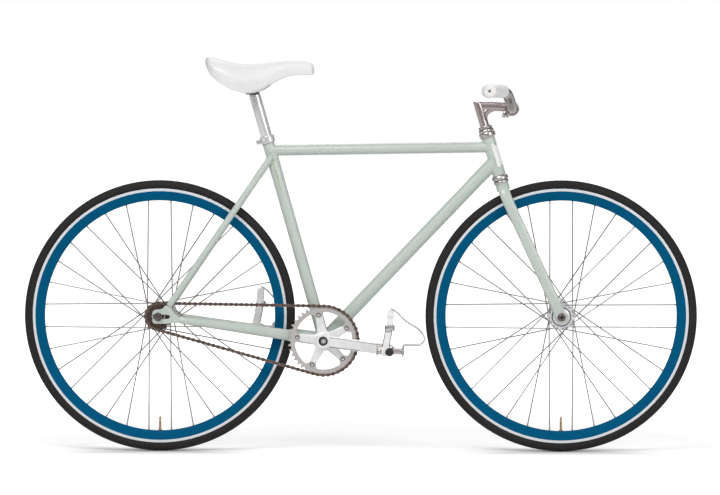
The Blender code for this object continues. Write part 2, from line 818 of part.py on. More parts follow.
def sprocket_phases():
    """Angles of one pin on the ring and of one pin on the cog."""
    _, straight, around_ring = chain_geometry()
    first_on_cog = math.ceil(around_ring + straight)
    ring_pin = chain_point(0) - BRACKET
    cog_pin = chain_point(first_on_cog) - REAR_AXLE
    return (math.atan2(ring_pin.z, ring_pin.x),
            math.atan2(cog_pin.z, cog_pin.x))


def make_chain(bike):
    """Closed loop of links: side plates with lobes and waists, and rollers.

    At each pin both plates swell to their lobes and a roller joins them;
    half way to the next pin they narrow, and every second link stands
    outside its neighbours.
    """
    bm = bmesh.new()
    pins = [chain_point(k) for k in range(CHAIN_LINKS)]
    inner = CHAIN_INNER_HALF_WIDTH
    columns = []
    for k in range(CHAIN_LINKS):
        here, after = pins[k], pins[(k + 1) % CHAIN_LINKS]
        before = pins[k - 1]
        along = (after - before).normalized()
        away = Vector((-along.z, 0, along.x))
        onward = (after - here).normalized()
        onward_away = Vector((-onward.z, 0, onward.x))
        step = CHAIN_LINK_STEP if k % 2 == 0 else 0.0
        lobe = station(bm, here, away, CHAIN_PLATE_HALF_HEIGHT, inner)
        waist = station(bm, (here + after) / 2, onward_away,
                        CHAIN_WAIST_HALF_HEIGHT, inner + step)
        rollers = []
        for way in (-1, 1):
            point = here + along * way * CHAIN_ROLLER_HALF_LENGTH
            rollers.append([
                bm.verts.new(point + Vector((0, y - CHAIN_LINE, 0)))
                for y in (-inner, inner)])
        columns.append((lobe, waist, rollers))
    for k in range(CHAIN_LINKS):
        link_faces(bm, columns[k - 1][1], columns[k][0], columns[k][1],
                   columns[k][2])
    bmesh.ops.recalc_face_normals(bm, faces=bm.faces)
    mesh = bpy.data.meshes.new("chain")
    bm.to_mesh(mesh)
    bm.free()
    mesh.shade_flat()
    return bike.part("chain", mesh, bronze_steel("chain_steel"))


def station(bm, point, away, half_height, inner):
    """Three corners of either side plate at one place along the chain."""
    corners = []
    for side in (-1, 1):
        plate = []
        for rise, depth in ((-half_height, inner), (half_height, inner),
                            (0, inner + CHAIN_PLATE)):
            place = point + away * rise
            place = place + Vector((0, side * depth - CHAIN_LINE, 0))
            plate.append(bm.verts.new(place))
        corners.append(plate)
    return corners


def link_faces(bm, waist_before, lobe, waist_after, rollers):
    """Faces of the plates either side of a pin, and of its roller."""
    for side in (0, 1):
        a, b, c = waist_before[side], lobe[side], waist_after[side]
        for left, right in ((a, b), (b, c)):
            bm.faces.new((left[0], right[0], right[2], left[2]))
            bm.faces.new((left[1], right[1], right[2], left[2]))
        rear, front = rollers[0][side], rollers[1][side]
        bm.faces.new((a[0], b[0], rear))
        bm.faces.new((a[0], rear, a[1]))
        bm.faces.new((a[1], rear, b[1]))
        bm.faces.new((b[0], c[0], front))
        bm.faces.new((c[0], c[1], front))
        bm.faces.new((c[1], b[1], front))
    low, high = (lobe[0][0], lobe[1][0]), (lobe[0][1], lobe[1][1])
    for end in rollers:
        bm.faces.new((low[0], low[1], end[1], end[0]))
        bm.faces.new((end[0], end[1], high[1], high[0]))


def tooth_outline(teeth, centre, pin_angle):
    """Outline of a sprocket: a seat under each pin, a tooth between pins."""
    radius = pitch_radius(teeth)
    seat = radius - CHAIN_PLATE_HALF_HEIGHT - GAP
    step = 2 * math.pi / teeth
    seat_half = (CHAIN_ROLLER_HALF_LENGTH + 0.0004) / radius
    tip = radius + TOOTH_RISE
    outline = []
    for k in range(teeth):
        pin = pin_angle + k * step
        for angle, reach in ((pin - seat_half, seat), (pin + seat_half, seat),
                             (pin + step / 2, tip)):
            outline.append((centre.x + reach * math.cos(angle),
                            centre.z + reach * math.sin(angle)))
    return outline


def ring_window(centre):
    """Inner edge of the chainring, with five tabs that the spider holds."""
    outline = []
    tab = math.asin(RING_TAB_HALF_WIDTH / RING_TAB_RADIUS)
    root = tab * 1.7
    for k in range(5):
        middle = CRANK_ANGLE + math.radians(36 + 72 * k)
        following = middle + math.radians(72)
        arc_start, arc_end = middle + root, following - root
        outline += [(middle - tab * 0.6, RING_TAB_RADIUS),
                    (middle + tab * 0.6, RING_TAB_RADIUS),
                    (middle + tab, RING_TAB_RADIUS + 0.004)]
        for step in range(6):
            outline.append((arc_start + (arc_end - arc_start) * step / 5,
                            RING_INNER_RADIUS))
        outline.append((following - tab, RING_TAB_RADIUS + 0.004))
    return [(centre.x + r * math.cos(a), centre.z + r * math.sin(a))
            for a, r in outline]


def make_sprockets(bike):
    ring_pin, cog_pin = sprocket_phases()
    y = -CHAIN_LINE
    half = RING_THICKNESS / 2
    mesh = plate_mesh("chainring", tooth_outline(RING_TEETH, BRACKET, ring_pin),
                      y - half, y + half, [ring_window(BRACKET)])
    bike.part("chainring", mesh, polished_alloy("ring_alloy"), BRACKET)
    half = COG_THICKNESS / 2
    bore = round_outline(REAR_AXLE, COG_BORE, 20)
    mesh = plate_mesh("rear_cog", tooth_outline(COG_TEETH, REAR_AXLE, cog_pin),
                      y - half, y + half, [bore])
    bike.part("rear_cog", mesh, dark_steel("cog_steel"), REAR_AXLE)
    seat = y - half - GAP
    bore = BEARING_SEAT + HUB_NECK_WALL + 2 * GAP
    lockring = turned_about_wheel(
        "rear_lockring",
        [(LOCKRING_RADIUS, seat), (LOCKRING_RADIUS, seat - LOCKRING_THICKNESS),
         (bore, seat - LOCKRING_THICKNESS), (bore, seat)], REAR_AXLE, 16)
    bike.part("rear_lockring", lockring, dark_steel("lockring_steel"),
              REAR_AXLE)


def round_outline(centre, radius, count):
    return [(centre.x + radius * math.cos(2 * math.pi * k / count),
             centre.z + radius * math.sin(2 * math.pi * k / count))
            for k in range(count)]


def spider_direction(k):
    """Outward direction of one spider arm."""
    angle = CRANK_ANGLE + math.radians(36 + 72 * k)
    return Vector((math.cos(angle), 0, math.sin(angle)))


# Frame

def make_head_tube(bike):
    mesh = tube_mesh("head_tube", HEAD_FOOT, HEAD_TOP, HEAD_TUBE_RADIUS,
                     HEAD_TUBE_RADIUS - TUBE_WALL, 20)
    bike.part("head_tube", mesh, mint_paint("head_tube_paint"), HEAD_FOOT)


def cut_round(bike, target, start, end, radius):
    """Mitre a part round a tube, with the touching gap left open."""
    bike.cut(target, cylinder_mesh("mitre", start, end,
                                   bore_radius(radius, GAP, 24), 24))


def make_seat_tube(bike):
    top = BRACKET + SEAT_UP * SEAT_TUBE_LENGTH
    bore = bore_radius(SEATPOST_RADIUS, GAP, 20)
    outer = max(SEAT_TUBE_RADIUS, bore + SEAT_TUBE_WALL)
    mesh = tube_mesh("seat_tube", BRACKET, top, outer, bore, 20)
    tube = bike.part("seat_tube", mesh, mint_paint("seat_tube_paint"),
                     BRACKET)
    cut_round(bike, tube, BRACKET - Y_AXIS * 0.1, BRACKET + Y_AXIS * 0.1,
              BRACKET_RADIUS)
    return outer


def make_main_tubes(bike, seat_tube_radius):
    seat_end = BRACKET + SEAT_UP * TOP_TUBE_UP_SEAT_TUBE
    head_end = HEAD_TOP - STEER_UP * TOP_TUBE_BELOW_HEAD_TOP
    mesh = tube_mesh("top_tube", seat_end, head_end, TOP_TUBE_RADIUS,
                     TOP_TUBE_RADIUS - TUBE_WALL, 16)
    top_tube = bike.part("top_tube", mesh, mint_paint("top_tube_paint"),
                         seat_end)
    below = BRACKET
    above = BRACKET + SEAT_UP * (SEAT_TUBE_LENGTH + 0.05)
    cut_round(bike, top_tube, below, above, seat_tube_radius)
    head_low = HEAD_FOOT - STEER_UP * 0.05
    head_high = HEAD_TOP + STEER_UP * 0.05
    cut_round(bike, top_tube, head_low, head_high, HEAD_TUBE_RADIUS)

    down_end = HEAD_FOOT + STEER_UP * DOWN_TUBE_ABOVE_HEAD_FOOT
    mesh = tube_mesh("down_tube", BRACKET, down_end, DOWN_TUBE_RADIUS,
                     DOWN_TUBE_RADIUS - TUBE_WALL, 20)
    down_tube = bike.part("down_tube", mesh, mint_paint("down_tube_paint"),
                          BRACKET)
    cut_round(bike, down_tube, head_low, head_high, HEAD_TUBE_RADIUS)
    cut_round(bike, down_tube, BRACKET - Y_AXIS * 0.1,
              BRACKET + Y_AXIS * 0.1, BRACKET_RADIUS)
    cut_round(bike, down_tube, below, above, seat_tube_radius)


def make_bracket_shell(bike):
    half = BRACKET_WIDTH / 2
    mesh = tube_mesh("bottom_bracket_shell", BRACKET - Y_AXIS * half,
                     BRACKET + Y_AXIS * half, BRACKET_RADIUS, BRACKET_BORE,
                     24)
    bike.part("bottom_bracket_shell", mesh, mint_paint("shell_paint"),
              BRACKET)


def dropout_middle():
    """Distance of a dropout's middle plane from the bicycle's."""
    return REAR_SPACING / 2 + GAP + DROPOUT_THICKNESS / 2


def stay_seat():
    """Where a seat stay meets its dropout, in the plane y = 0."""
    return REAR_AXLE + Vector((STAY_SEAT_X, 0, STAY_SEAT_Z))


def make_dropout(bike, word, side):
    """Rear-opening slotted end, with a tab to each of its two stays."""
    slot = REAR_AXLE_RADIUS + GAP
    top = BRACKET + SEAT_UP * SEAT_STAY_UP_SEAT_TUBE
    toward = (top - stay_seat()).normalized()
    across = Vector((toward.z, 0, -toward.x)) * SEAT_STAY_RADIUS
    seat = stay_seat() - REAR_AXLE
    lower, upper = seat + across, seat - across
    tall = DROPOUT_HALF_HEIGHT
    back = -DROPOUT_BEHIND
    ahead = DROPOUT_SLOT_AHEAD
    stay_x = CHAINSTAY_SEAT_X
    stay_z = CHAINSTAY_SEAT_Z
    fore = (BRACKET - REAR_AXLE - Vector((stay_x, 0, stay_z))).normalized()
    reach = CHAINSTAY_END_RADIUS * 0.9
    lean = Vector((-fore.z, 0, fore.x)) * reach
    outline = [(back, slot), (ahead, slot), (ahead + slot * 0.8, 0),
               (ahead, -slot), (back, -slot), (back, -tall * 0.75),
               (back + 0.005, -tall), (ahead * 0.6, -tall),
               (stay_x - lean.x, stay_z - lean.z),
               (stay_x + lean.x, stay_z + lean.z),
               (lower.x, lower.z), (upper.x, upper.z),
               (upper.x - 0.009, upper.z - 0.010), (back + 0.005, tall),
               (back, tall * 0.75)]
    outline = [(REAR_AXLE.x + x, REAR_AXLE.z + z) for x, z in outline]
    middle = side * dropout_middle()
    half = DROPOUT_THICKNESS / 2
    mesh = plate_mesh(f"dropout_{word}", outline, middle - half,
                      middle + half)
    bike.part(f"dropout_{word}", mesh, mint_paint(f"dropout_{word}_paint"),
              REAR_AXLE)


def make_seat_stay(bike, word, side, seat_tube_radius):
    top = BRACKET + SEAT_UP * SEAT_STAY_UP_SEAT_TUBE
    top = top + Y_AXIS * side * SEAT_STAY_TOP_Y
    foot = stay_seat() + Y_AXIS * side * dropout_middle()
    along = (top - foot).normalized()
    name = f"seat_stay_{word}"
    mesh = cylinder_mesh(name, foot + along * GAP, top, SEAT_STAY_RADIUS, 14)
    stay = bike.part(name, mesh, mint_paint(name + "_paint"), foot)
    cut_round(bike, stay, BRACKET + SEAT_UP * 0.3,
              BRACKET + SEAT_UP * (SEAT_TUBE_LENGTH + 0.05),
              seat_tube_radius)
    middle = dropout_middle()
    half = DROPOUT_THICKNESS / 2 + GAP
    seat = stay_seat() + Y_AXIS * side * middle
    bike.cut(stay, box_mesh("slot", seat - along * 0.01 + along * 0.0012,
                            (0.05, 2 * half, 0.02),
                            Vector((along.z, 0, -along.x))))


def make_chainstay(bike, word, side):
    """Stay that is tall and thin at the bracket and round at the dropout."""
    name = f"chainstay_{word}"
    end = REAR_AXLE + Vector((CHAINSTAY_SEAT_X + GAP, 0, CHAINSTAY_SEAT_Z))
    end = end + Y_AXIS * side * dropout_middle()
    start = BRACKET + Y_AXIS * side * CHAINSTAY_BRACKET_Y
    along = Vector((end.x - start.x, 0, end.z - start.z))
    up = Vector((along.z, 0, -along.x)).normalized()
    rows = [(0.0, CHAINSTAY_BRACKET_Y, CHAINSTAY_HALF_WIDTH,
             CHAINSTAY_HEIGHT),
            (0.12, CHAINSTAY_BRACKET_Y + 0.0008, CHAINSTAY_HALF_WIDTH,
             CHAINSTAY_HEIGHT),
            (0.27, CHAINSTAY_WAIST_Y, CHAINSTAY_HALF_WIDTH * 0.9,
             CHAINSTAY_HEIGHT * 0.93),
            (0.45, CHAINSTAY_WAIST_Y + 0.0085, CHAINSTAY_HALF_WIDTH,
             CHAINSTAY_HEIGHT * 0.85),
            (0.72, CHAINSTAY_WAIST_Y + 0.0225, CHAINSTAY_END_RADIUS,
             CHAINSTAY_END_RADIUS * 1.15),
            (0.97, dropout_middle() - 0.0005, CHAINSTAY_END_RADIUS * 0.8,
             CHAINSTAY_END_RADIUS),
            (1.0, dropout_middle(), DROPOUT_THICKNESS / 2,
             CHAINSTAY_END_RADIUS * 0.9)]
    rings = []
    for share, y, half_width, half_height in rows:
        centre = start + along * share
        centre.y = side * y
        rings.append(ellipse_ring(centre, Y_AXIS * side, up, half_width,
                                  half_height, 12))
    stay = bike.part(name, loft_mesh(name, rings),
                     mint_paint(name + "_paint"), start)
    cut_round(bike, stay, BRACKET - Y_AXIS * 0.1, BRACKET + Y_AXIS * 0.1,
              BRACKET_RADIUS)
    return stay


def make_bridges(bike):
    """Short tubes that tie each pair of stays together."""
    top = BRACKET + SEAT_UP * SEAT_STAY_UP_SEAT_TUBE
    foot = stay_seat()
    reach = (top - foot).length
    share = 1 - 0.115 / reach
    place = foot.lerp(top, share)
    y = dropout_middle() + (SEAT_STAY_TOP_Y - dropout_middle()) * share
    inner = y - SEAT_STAY_RADIUS * 1.04 - GAP
    mesh = cylinder_mesh("seat_stay_bridge", place - Y_AXIS * inner,
                         place + Y_AXIS * inner, 0.0055, 12)
    bike.part("seat_stay_bridge", mesh, mint_paint("bridge_paint"), place)
    end = REAR_AXLE + Vector((CHAINSTAY_SEAT_X, 0, CHAINSTAY_SEAT_Z))
    place = BRACKET.lerp(end, 0.12)
    inner = CHAINSTAY_BRACKET_Y + 0.0008 - CHAINSTAY_HALF_WIDTH - GAP
    mesh = cylinder_mesh("chainstay_bridge", place - Y_AXIS * inner,
                         place + Y_AXIS * inner, 0.0055, 12)
    bike.part("chainstay_bridge", mesh, mint_paint("lower_bridge_paint"),
              place)


def make_seat_collar(bike, seat_tube_radius):
    """Split ring round the top of the seat tube, with two ears behind."""
    top = BRACKET + SEAT_UP * (SEAT_TUBE_LENGTH + 0.0005)
    foot = top - SEAT_UP * COLLAR_HEIGHT
    bore = bore_radius(seat_tube_radius, GAP, 24)
    mesh = tube_mesh("seat_collar", foot, top, bore + COLLAR_WALL, bore, 24)
    collar = bike.part("seat_collar", mesh, polished_alloy("collar_alloy"),
                       foot)
    middle = (top + foot) / 2
    inner = seat_tube_radius + COLLAR_WALL * 0.6
    length = COLLAR_EAR_REACH - inner
    ears = middle + SEAT_BACK * (inner + length / 2)
    bike.join(collar, box_mesh("ears", ears,
                               (length, 0.0145, COLLAR_HEIGHT * 0.72),
                               SEAT_BACK * -1, 0.0015))
    slit = middle + SEAT_BACK * COLLAR_EAR_REACH
    bike.cut(collar, box_mesh("slit", slit,
                              (2 * COLLAR_EAR_REACH - 2 * seat_tube_radius
                               + 0.004, COLLAR_SLIT, 0.05),
                              SEAT_BACK * -1))


def make_bottom_bracket(bike):
    """Sealed cartridge with its two cups, screwed into the shell."""
    half = BRACKET_WIDTH / 2
    outer = BRACKET_BORE * math.cos(math.pi / 24) - GAP
    bore = bore_radius(SPINDLE_RADIUS, RUNNING, 16)
    lip = half + GAP
    profile = [(BRACKET_RADIUS - 0.001, lip + CARTRIDGE_LIP),
               (BRACKET_RADIUS - 0.001, lip), (outer, lip), (outer, -lip),
               (BRACKET_RADIUS - 0.001, -lip),
               (BRACKET_RADIUS - 0.001, -lip - CARTRIDGE_LIP),
               (bore, -lip - CARTRIDGE_LIP), (bore, lip + CARTRIDGE_LIP)]
    mesh = turned_mesh("bottom_bracket", profile, BRACKET, BRACKET + Y_AXIS,
                       16)
    bike.part("bottom_bracket_cartridge", mesh,
              satin_steel("cartridge_steel"), BRACKET)


def make_headset(bike):
    """Upper and lower cups with their ball rings, race and locknut."""
    bore = bore_radius(STEERER_RADIUS, RUNNING, 16)
    press = (HEAD_TUBE_RADIUS - TUBE_WALL) * math.cos(math.pi / 20) - GAP
    lip = 0.0080
    rim = CUP_RADIUS
    upper_top = UPPER_STACK - LOCKNUT_HEIGHT - GAP
    profile = [(rim * 0.9, upper_top), (rim, upper_top - 0.002),
               (rim, 0.004), (HEAD_TUBE_RADIUS + 0.001, GAP), (press, GAP),
               (press, -lip), (bore, -lip), (bore, upper_top)]
    mesh = turned_mesh("upper_cup", profile, HEAD_TOP, HEAD_TOP + STEER_UP,
                       16)
    bike.part("headset_upper_cup", mesh, polished_alloy("upper_cup_chrome"),
              HEAD_TOP)
    lower_end = LOWER_STACK - RACE_HEIGHT - GAP
    profile = [(rim * 0.92, lower_end), (rim, lower_end - 0.002),
               (rim, 0.005), (HEAD_TUBE_RADIUS + 0.001, GAP), (press, GAP),
               (press, -lip), (bore, -lip), (bore, lower_end)]
    mesh = turned_mesh("lower_cup", profile, HEAD_FOOT,
                       HEAD_FOOT - STEER_UP, 16)
    bike.part("headset_lower_cup", mesh, polished_alloy("lower_cup_chrome"),
              HEAD_FOOT)
    base = UPPER_STACK - LOCKNUT_HEIGHT
    bore = bore_radius(STEERER_RADIUS, GAP, 16)
    profile = [(0.0170, UPPER_STACK - 0.001), (0.0178, UPPER_STACK - 0.002),
               (0.0178, UPPER_STACK - 0.0062), (0.0162, base + 0.0082),
               (0.0162, base + 0.0070), (0.0176, base + 0.0055),
               (0.0182, base), (bore, base), (bore, UPPER_STACK - 0.001)]
    mesh = turned_mesh("locknut", profile, HEAD_TOP, HEAD_TOP + STEER_UP, 16)
    bike.part("headset_race_and_locknut", mesh,
              polished_alloy("locknut_chrome"), HEAD_TOP)


# Fork

def fork_point(up, ahead, y=0.0):
    """Place given along the steering axis from the fork's foot."""
    return STEER_FOOT + STEER_UP * up + STEER_AHEAD * ahead + Y_AXIS * y


def make_steerer(bike):
    """Steering tube with the crown boss and the lower race on it."""
    crown_low = FORK_LENGTH - CROWN_HEIGHT
    race_top = FORK_LENGTH + RACE_HEIGHT
    top = FORK_LENGTH + LOWER_STACK + HEAD_TUBE_LENGTH + UPPER_STACK - 0.0015
    profile = [(STEERER_RADIUS, top), (STEERER_RADIUS, race_top),
               (0.0185, race_top), (0.0192, FORK_LENGTH + 0.001),
               (0.0180, FORK_LENGTH), (CROWN_RADIUS, FORK_LENGTH - 0.001),
               (CROWN_RADIUS, crown_low), (STEERER_BORE, crown_low),
               (STEERER_BORE, top)]
    mesh = turned_mesh("steerer", profile, STEER_FOOT,
                       STEER_FOOT + STEER_UP, 16)
    bike.part("fork_steerer", mesh, mint_paint("steerer_paint"), STEER_FOOT)


def blade_rows():
    """(up, ahead, y, half depth, half thickness) along a fork blade."""
    tip_y = FRONT_SPACING / 2 + GAP + TIP_THICKNESS / 2
    crown_up = FORK_LENGTH - CROWN_HEIGHT / 2

    def lean(up):
        return FORK_RAKE * (1 - up / BLADE_KINK)

    thin = TIP_THICKNESS / 2
    return [(-0.0125, lean(-0.0125), tip_y, TIP_RADIUS * 0.72, thin),
            (-0.0060, lean(-0.0060), tip_y, TIP_RADIUS, thin),
            (0.0150, lean(0.0150), tip_y, TIP_RADIUS, thin),
            (0.0350, lean(0.035), tip_y, BLADE_HALF_DEPTH * 0.97,
             BLADE_HALF_THICKNESS * 0.7),
            (0.0600, lean(0.060), tip_y - 0.0010, BLADE_HALF_DEPTH,
             BLADE_HALF_THICKNESS * 0.9),
            (0.1800, lean(0.180), tip_y - 0.0090, BLADE_HALF_DEPTH,
             BLADE_HALF_THICKNESS),
            (0.3050, lean(0.305), BLADE_CROWN_Y + 0.0030, BLADE_HALF_DEPTH,
             BLADE_HALF_THICKNESS),
            (0.3220, lean(0.322), BLADE_CROWN_Y + 0.0010, BLADE_HALF_DEPTH,
             BLADE_HALF_THICKNESS),
            (0.3350, 0.0, BLADE_CROWN_Y - 0.0045, BLADE_HALF_DEPTH,
             BLADE_HALF_THICKNESS * 0.98),
            (crown_up - 0.0020, 0.0, BLADE_CROWN_Y - 0.0120,
             BLADE_HALF_DEPTH, CROWN_HEIGHT * 0.42),
            (crown_up, 0.0, 0.0040, BLADE_HALF_DEPTH, CROWN_HEIGHT * 0.42)]


def make_blade(bike, word, side):
    rows = blade_rows()
    rings = []
    for k, (up, ahead, y, half_depth, half_thick) in enumerate(rows):
        before = rows[max(k - 1, 0)]
        after = rows[min(k + 1, len(rows) - 1)]
        climb = Vector((after[0] - before[0], after[2] - before[2]))
        climb.normalize()
        outward = STEER_UP * -climb.y + Y_AXIS * side * climb.x
        rings.append(ellipse_ring(fork_point(up, ahead, side * y),
                                  STEER_AHEAD, outward, half_depth,
                                  half_thick, 10, 2.3))
    name = f"fork_blade_{word}"
    blade = bike.part(name, loft_mesh(name, rings),
                      mint_paint(name + "_paint"), FRONT_AXLE)
    cut_round(bike, blade, fork_point(0.25, 0), fork_point(0.45, 0),
              CROWN_RADIUS)
    down = (fork_point(0, FORK_RAKE)
            - fork_point(BLADE_KINK, 0)).normalized()
    slot = FRONT_AXLE_RADIUS + GAP
    ends = [FRONT_AXLE + Y_AXIS * side * 0.04,
            FRONT_AXLE + Y_AXIS * side * 0.07]
    bike.cut(blade, cylinder_mesh("eye", ends[0], ends[1],
                                  bore_radius(FRONT_AXLE_RADIUS, GAP, 12),
                                  12))
    middle = FRONT_AXLE + down * 0.02 + Y_AXIS * side * 0.055
    bike.cut(blade, box_mesh("slot", middle, (0.04, 0.03, 2 * slot), down))
    return blade


# Stem, handlebar and grips

def stem_axis(up):
    """Place on the steering axis, measured from the locknut's top."""
    return HEAD_TOP + STEER_UP * (UPPER_STACK + up)


def clamp_centre():
    """Middle of the handlebar clamp."""
    top = stem_axis(STEM_HEIGHT)
    return Vector((top.x + STEM_REACH, 0, top.z - 0.0030))


def make_stem(bike):
    """Quill with a level extension and a split clamp."""
    top = stem_axis(STEM_HEIGHT)
    low = stem_axis(-QUILL_DEPTH)
    bore = bore_radius(EXPANDER_BOLT_RADIUS, GAP, 8)
    mesh = cylinder_mesh("stem", low, top + STEER_UP * 0.008, QUILL_RADIUS,
                         14)
    stem = bike.part("stem", mesh, polished_alloy("stem_alloy"), low)
    centre = clamp_centre()
    rings = []
    for share, half_up in ((0.0, 1.0), (0.5, 1.0), (1.0, 0.9)):
        place = Vector((top.x - 0.006, 0, centre.z + 0.0045)).lerp(
            centre + Vector((-0.008, 0, 0.0015)), share)
        rings.append(ellipse_ring(place, Y_AXIS,
                                  Vector((0, 0, 1)), STEM_HALF_WIDTH,
                                  STEM_HALF_DEPTH * half_up, 10, 2.6))
    bike.join(stem, loft_mesh("extension", rings))
    half = CLAMP_WIDTH / 2
    bike.join(stem, cylinder_mesh("clamp", centre - Y_AXIS * half,
                                  centre + Y_AXIS * half, CLAMP_RADIUS, 14))
    lug = centre + Vector((-0.0130, 0, -0.0145))
    lean = Vector((0.87, 0, -0.5)).normalized()
    bike.join(stem, box_mesh("lug", lug, (0.0150, 0.0150, 0.0100), lean,
                             0.0015))
    bike.cut(stem, box_mesh("slit", centre + Vector((-0.016, 0, -0.013)),
                            (0.030, 0.08, 0.0020),
                            Vector((0.78, 0, 0.62)).normalized()))
    bike.cut(stem, cylinder_mesh("bar_bore", centre - Y_AXIS * 0.05,
                                 centre + Y_AXIS * 0.05,
                                 bore_radius(BAR_RADIUS, RUNNING, 12), 12))
    bike.cut(stem, cylinder_mesh("bolt_bore", low - STEER_UP * 0.01,
                                 top + STEER_UP * 0.03, bore, 8))
    bike.cut(stem, box_mesh("flat_top", Vector((top.x, 0,
                                                top.z + 0.012 + 0.02)),
                            (0.08, 0.06, 0.04)))
    return stem


def make_expander(bike):
    """Long bolt down the quill, and the wedge that it draws up."""
    low = stem_axis(-QUILL_DEPTH)
    head = STEM_HEIGHT + QUILL_DEPTH - 0.004
    profile = [(0, head), (EXPANDER_BOLT_RADIUS, head),
               (EXPANDER_BOLT_RADIUS, -GAP), (QUILL_RADIUS - 0.0002, -GAP),
               (QUILL_RADIUS - 0.0002, -WEDGE_LENGTH),
               (0, -WEDGE_LENGTH)]
    mesh = turned_mesh("stem_expander", profile, low, low + STEER_UP, 8,
                       closed=False)
    bike.part("stem_expander", mesh, satin_steel("expander_steel"), low)


def bar_points():
    """Middle line of the right half of the bar, from the clamp outwards."""
    centre = clamp_centre()
    end = Vector((centre.x - 0.0580, -BAR_HALF_WIDTH, BAR_RISE + centre.z))
    sweep = Vector((math.sin(GRIP_SWEEP), math.cos(GRIP_SWEEP), 0))
    grip_start = end + sweep * GRIP_LENGTH
    return [centre, centre + Vector((0.0, -0.034, 0.0)),
            centre + Vector((-0.0005, -0.072, BAR_RISE * 0.10)),
            centre + Vector((-0.0050, -0.108, BAR_RISE * 0.48)),
            centre + Vector((-0.0130, -0.142, BAR_RISE * 0.88)),
            grip_start, end + sweep * 0.0045]


def make_handlebar(bike):
    knots = bar_points()
    path = smooth_path(knots[1:5] + [knots[5]], 2)
    right = path + [knots[6]]
    count = len(right)
    radii = []
    for k in range(count):
        share = min(1.0, k / (count - 3))
        radii.append(BAR_RADIUS + (BAR_END_RADIUS - BAR_RADIUS) * share)
    points = list(reversed(right)) + mirrored_y(right)
    radii = list(reversed(radii)) + radii
    mesh = wire_mesh("handlebar", points, radii, 3)
    bike.part("handlebar", mesh, polished_alloy("bar_alloy"), clamp_centre())


def make_grip(bike, word, side):
    """Short soft sleeve with a domed and pierced outer end."""
    knots = bar_points()
    end = knots[6]
    sweep = (knots[5] - end).normalized()
    tip = end - sweep * GRIP_END_WALL
    if side > 0:
        tip.y = -tip.y
        sweep.y = -sweep.y
    bore = bore_radius(BAR_END_RADIUS, GAP, 16)
    seat = GRIP_END_WALL - GAP
    lip = bore + 0.0012
    length = GRIP_LENGTH
    profile = [(lip, length), (GRIP_RADIUS, length - 0.004),
               (GRIP_RADIUS, 0.006), (GRIP_RADIUS - 0.005, 0),
               (GRIP_END_HOLE, 0), (GRIP_END_HOLE, seat), (bore, seat),
               (bore, length)]
    name = f"grip_{word}"
    mesh = turned_mesh(name, profile, tip, tip + sweep, 16)
    bike.part(name, mesh, white_vinyl(name + "_rubber"), tip)


# Seatpost and saddle

def make_seatpost(bike):
    """Hollow post with a round cross head, on which the saddle tilts."""
    foot = BRACKET + SEAT_UP * (SEAT_TUBE_LENGTH - SEATPOST_INSERTION)
    bore = SEATPOST_RADIUS - SEATPOST_WALL
    top = TILT_POINT - SEAT_UP * POST_TUBE_BELOW_HEAD
    mesh = tube_mesh("seatpost", foot, top, SEATPOST_RADIUS, bore, 20)
    post = bike.part("seatpost", mesh, polished_alloy("seatpost_alloy"),
                     foot)
    reach = Y_AXIS * POST_HEAD_HALF_WIDTH
    bike.join(post, cylinder_mesh("head", TILT_POINT - reach,
                                  TILT_POINT + reach, POST_HEAD_RADIUS, 16))
    return post


def make_saddle_clamp(bike):
    """Block over the post's head, with a hole for each rail."""
    x = Vector((1, 0, 0))
    height = 0.0190
    half_width = RAIL_SPACING / 2 + 0.0065
    centre = TILT_POINT + Vector((0, 0, 0.0030))
    mesh = box_mesh("saddle_clamp", centre,
                    (CLAMP_BLOCK_LENGTH, 2 * half_width, height), x, 0.0015)
    clamp = bike.part("saddle_clamp", mesh, dark_steel("clamp_steel"),
                      TILT_POINT)
    radius = bore_radius(POST_HEAD_RADIUS, RUNNING, 16)
    reach = Y_AXIS * (POST_HEAD_HALF_WIDTH + GAP)
    bike.cut(clamp, cylinder_mesh("seat", TILT_POINT - reach,
                                  TILT_POINT + reach, radius, 16))
    low = TILT_POINT - Vector((0, 0, 0.020))
    room = 2 * SEATPOST_RADIUS + 0.012
    bike.cut(clamp, box_mesh("mouth", low,
                             (room + CLAMP_BLOCK_LENGTH, 2 * reach.y, 0.0400),
                             x))
    for side in (-1, 1):
        middle = TILT_POINT + Vector((0, side * RAIL_SPACING / 2, 0.0020))
        bike.cut(clamp, cylinder_mesh("rail_bore", middle - x * 0.03,
                                      middle + x * 0.03,
                                      bore_radius(RAIL_RADIUS, GAP, 8), 8))
    return clamp


SADDLE_STATIONS = (
    # distance ahead of the tilt axis, top, lower edge, half width
    (-0.1185, 0.0800, 0.0640, 0.0220),
    (-0.1120, 0.0850, 0.0500, 0.0440),
    (-0.0950, 0.0810, 0.0310, 0.0620),
    (-0.0700, 0.0745, 0.0140, 0.0700),
    (-0.0430, 0.0690, 0.0030, 0.0690),
    (-0.0140, 0.0668, -0.0025, 0.0590),
    (0.0190, 0.0682, 0.0060, 0.0450),
    (0.0480, 0.0702, 0.0260, 0.0330),
    (0.0790, 0.0728, 0.0395, 0.0265),
    (0.1090, 0.0735, 0.0442, 0.0225),
    (0.1340, 0.0695, 0.0446, 0.0190),
    (0.1445, 0.0600, 0.0455, 0.0115),
)


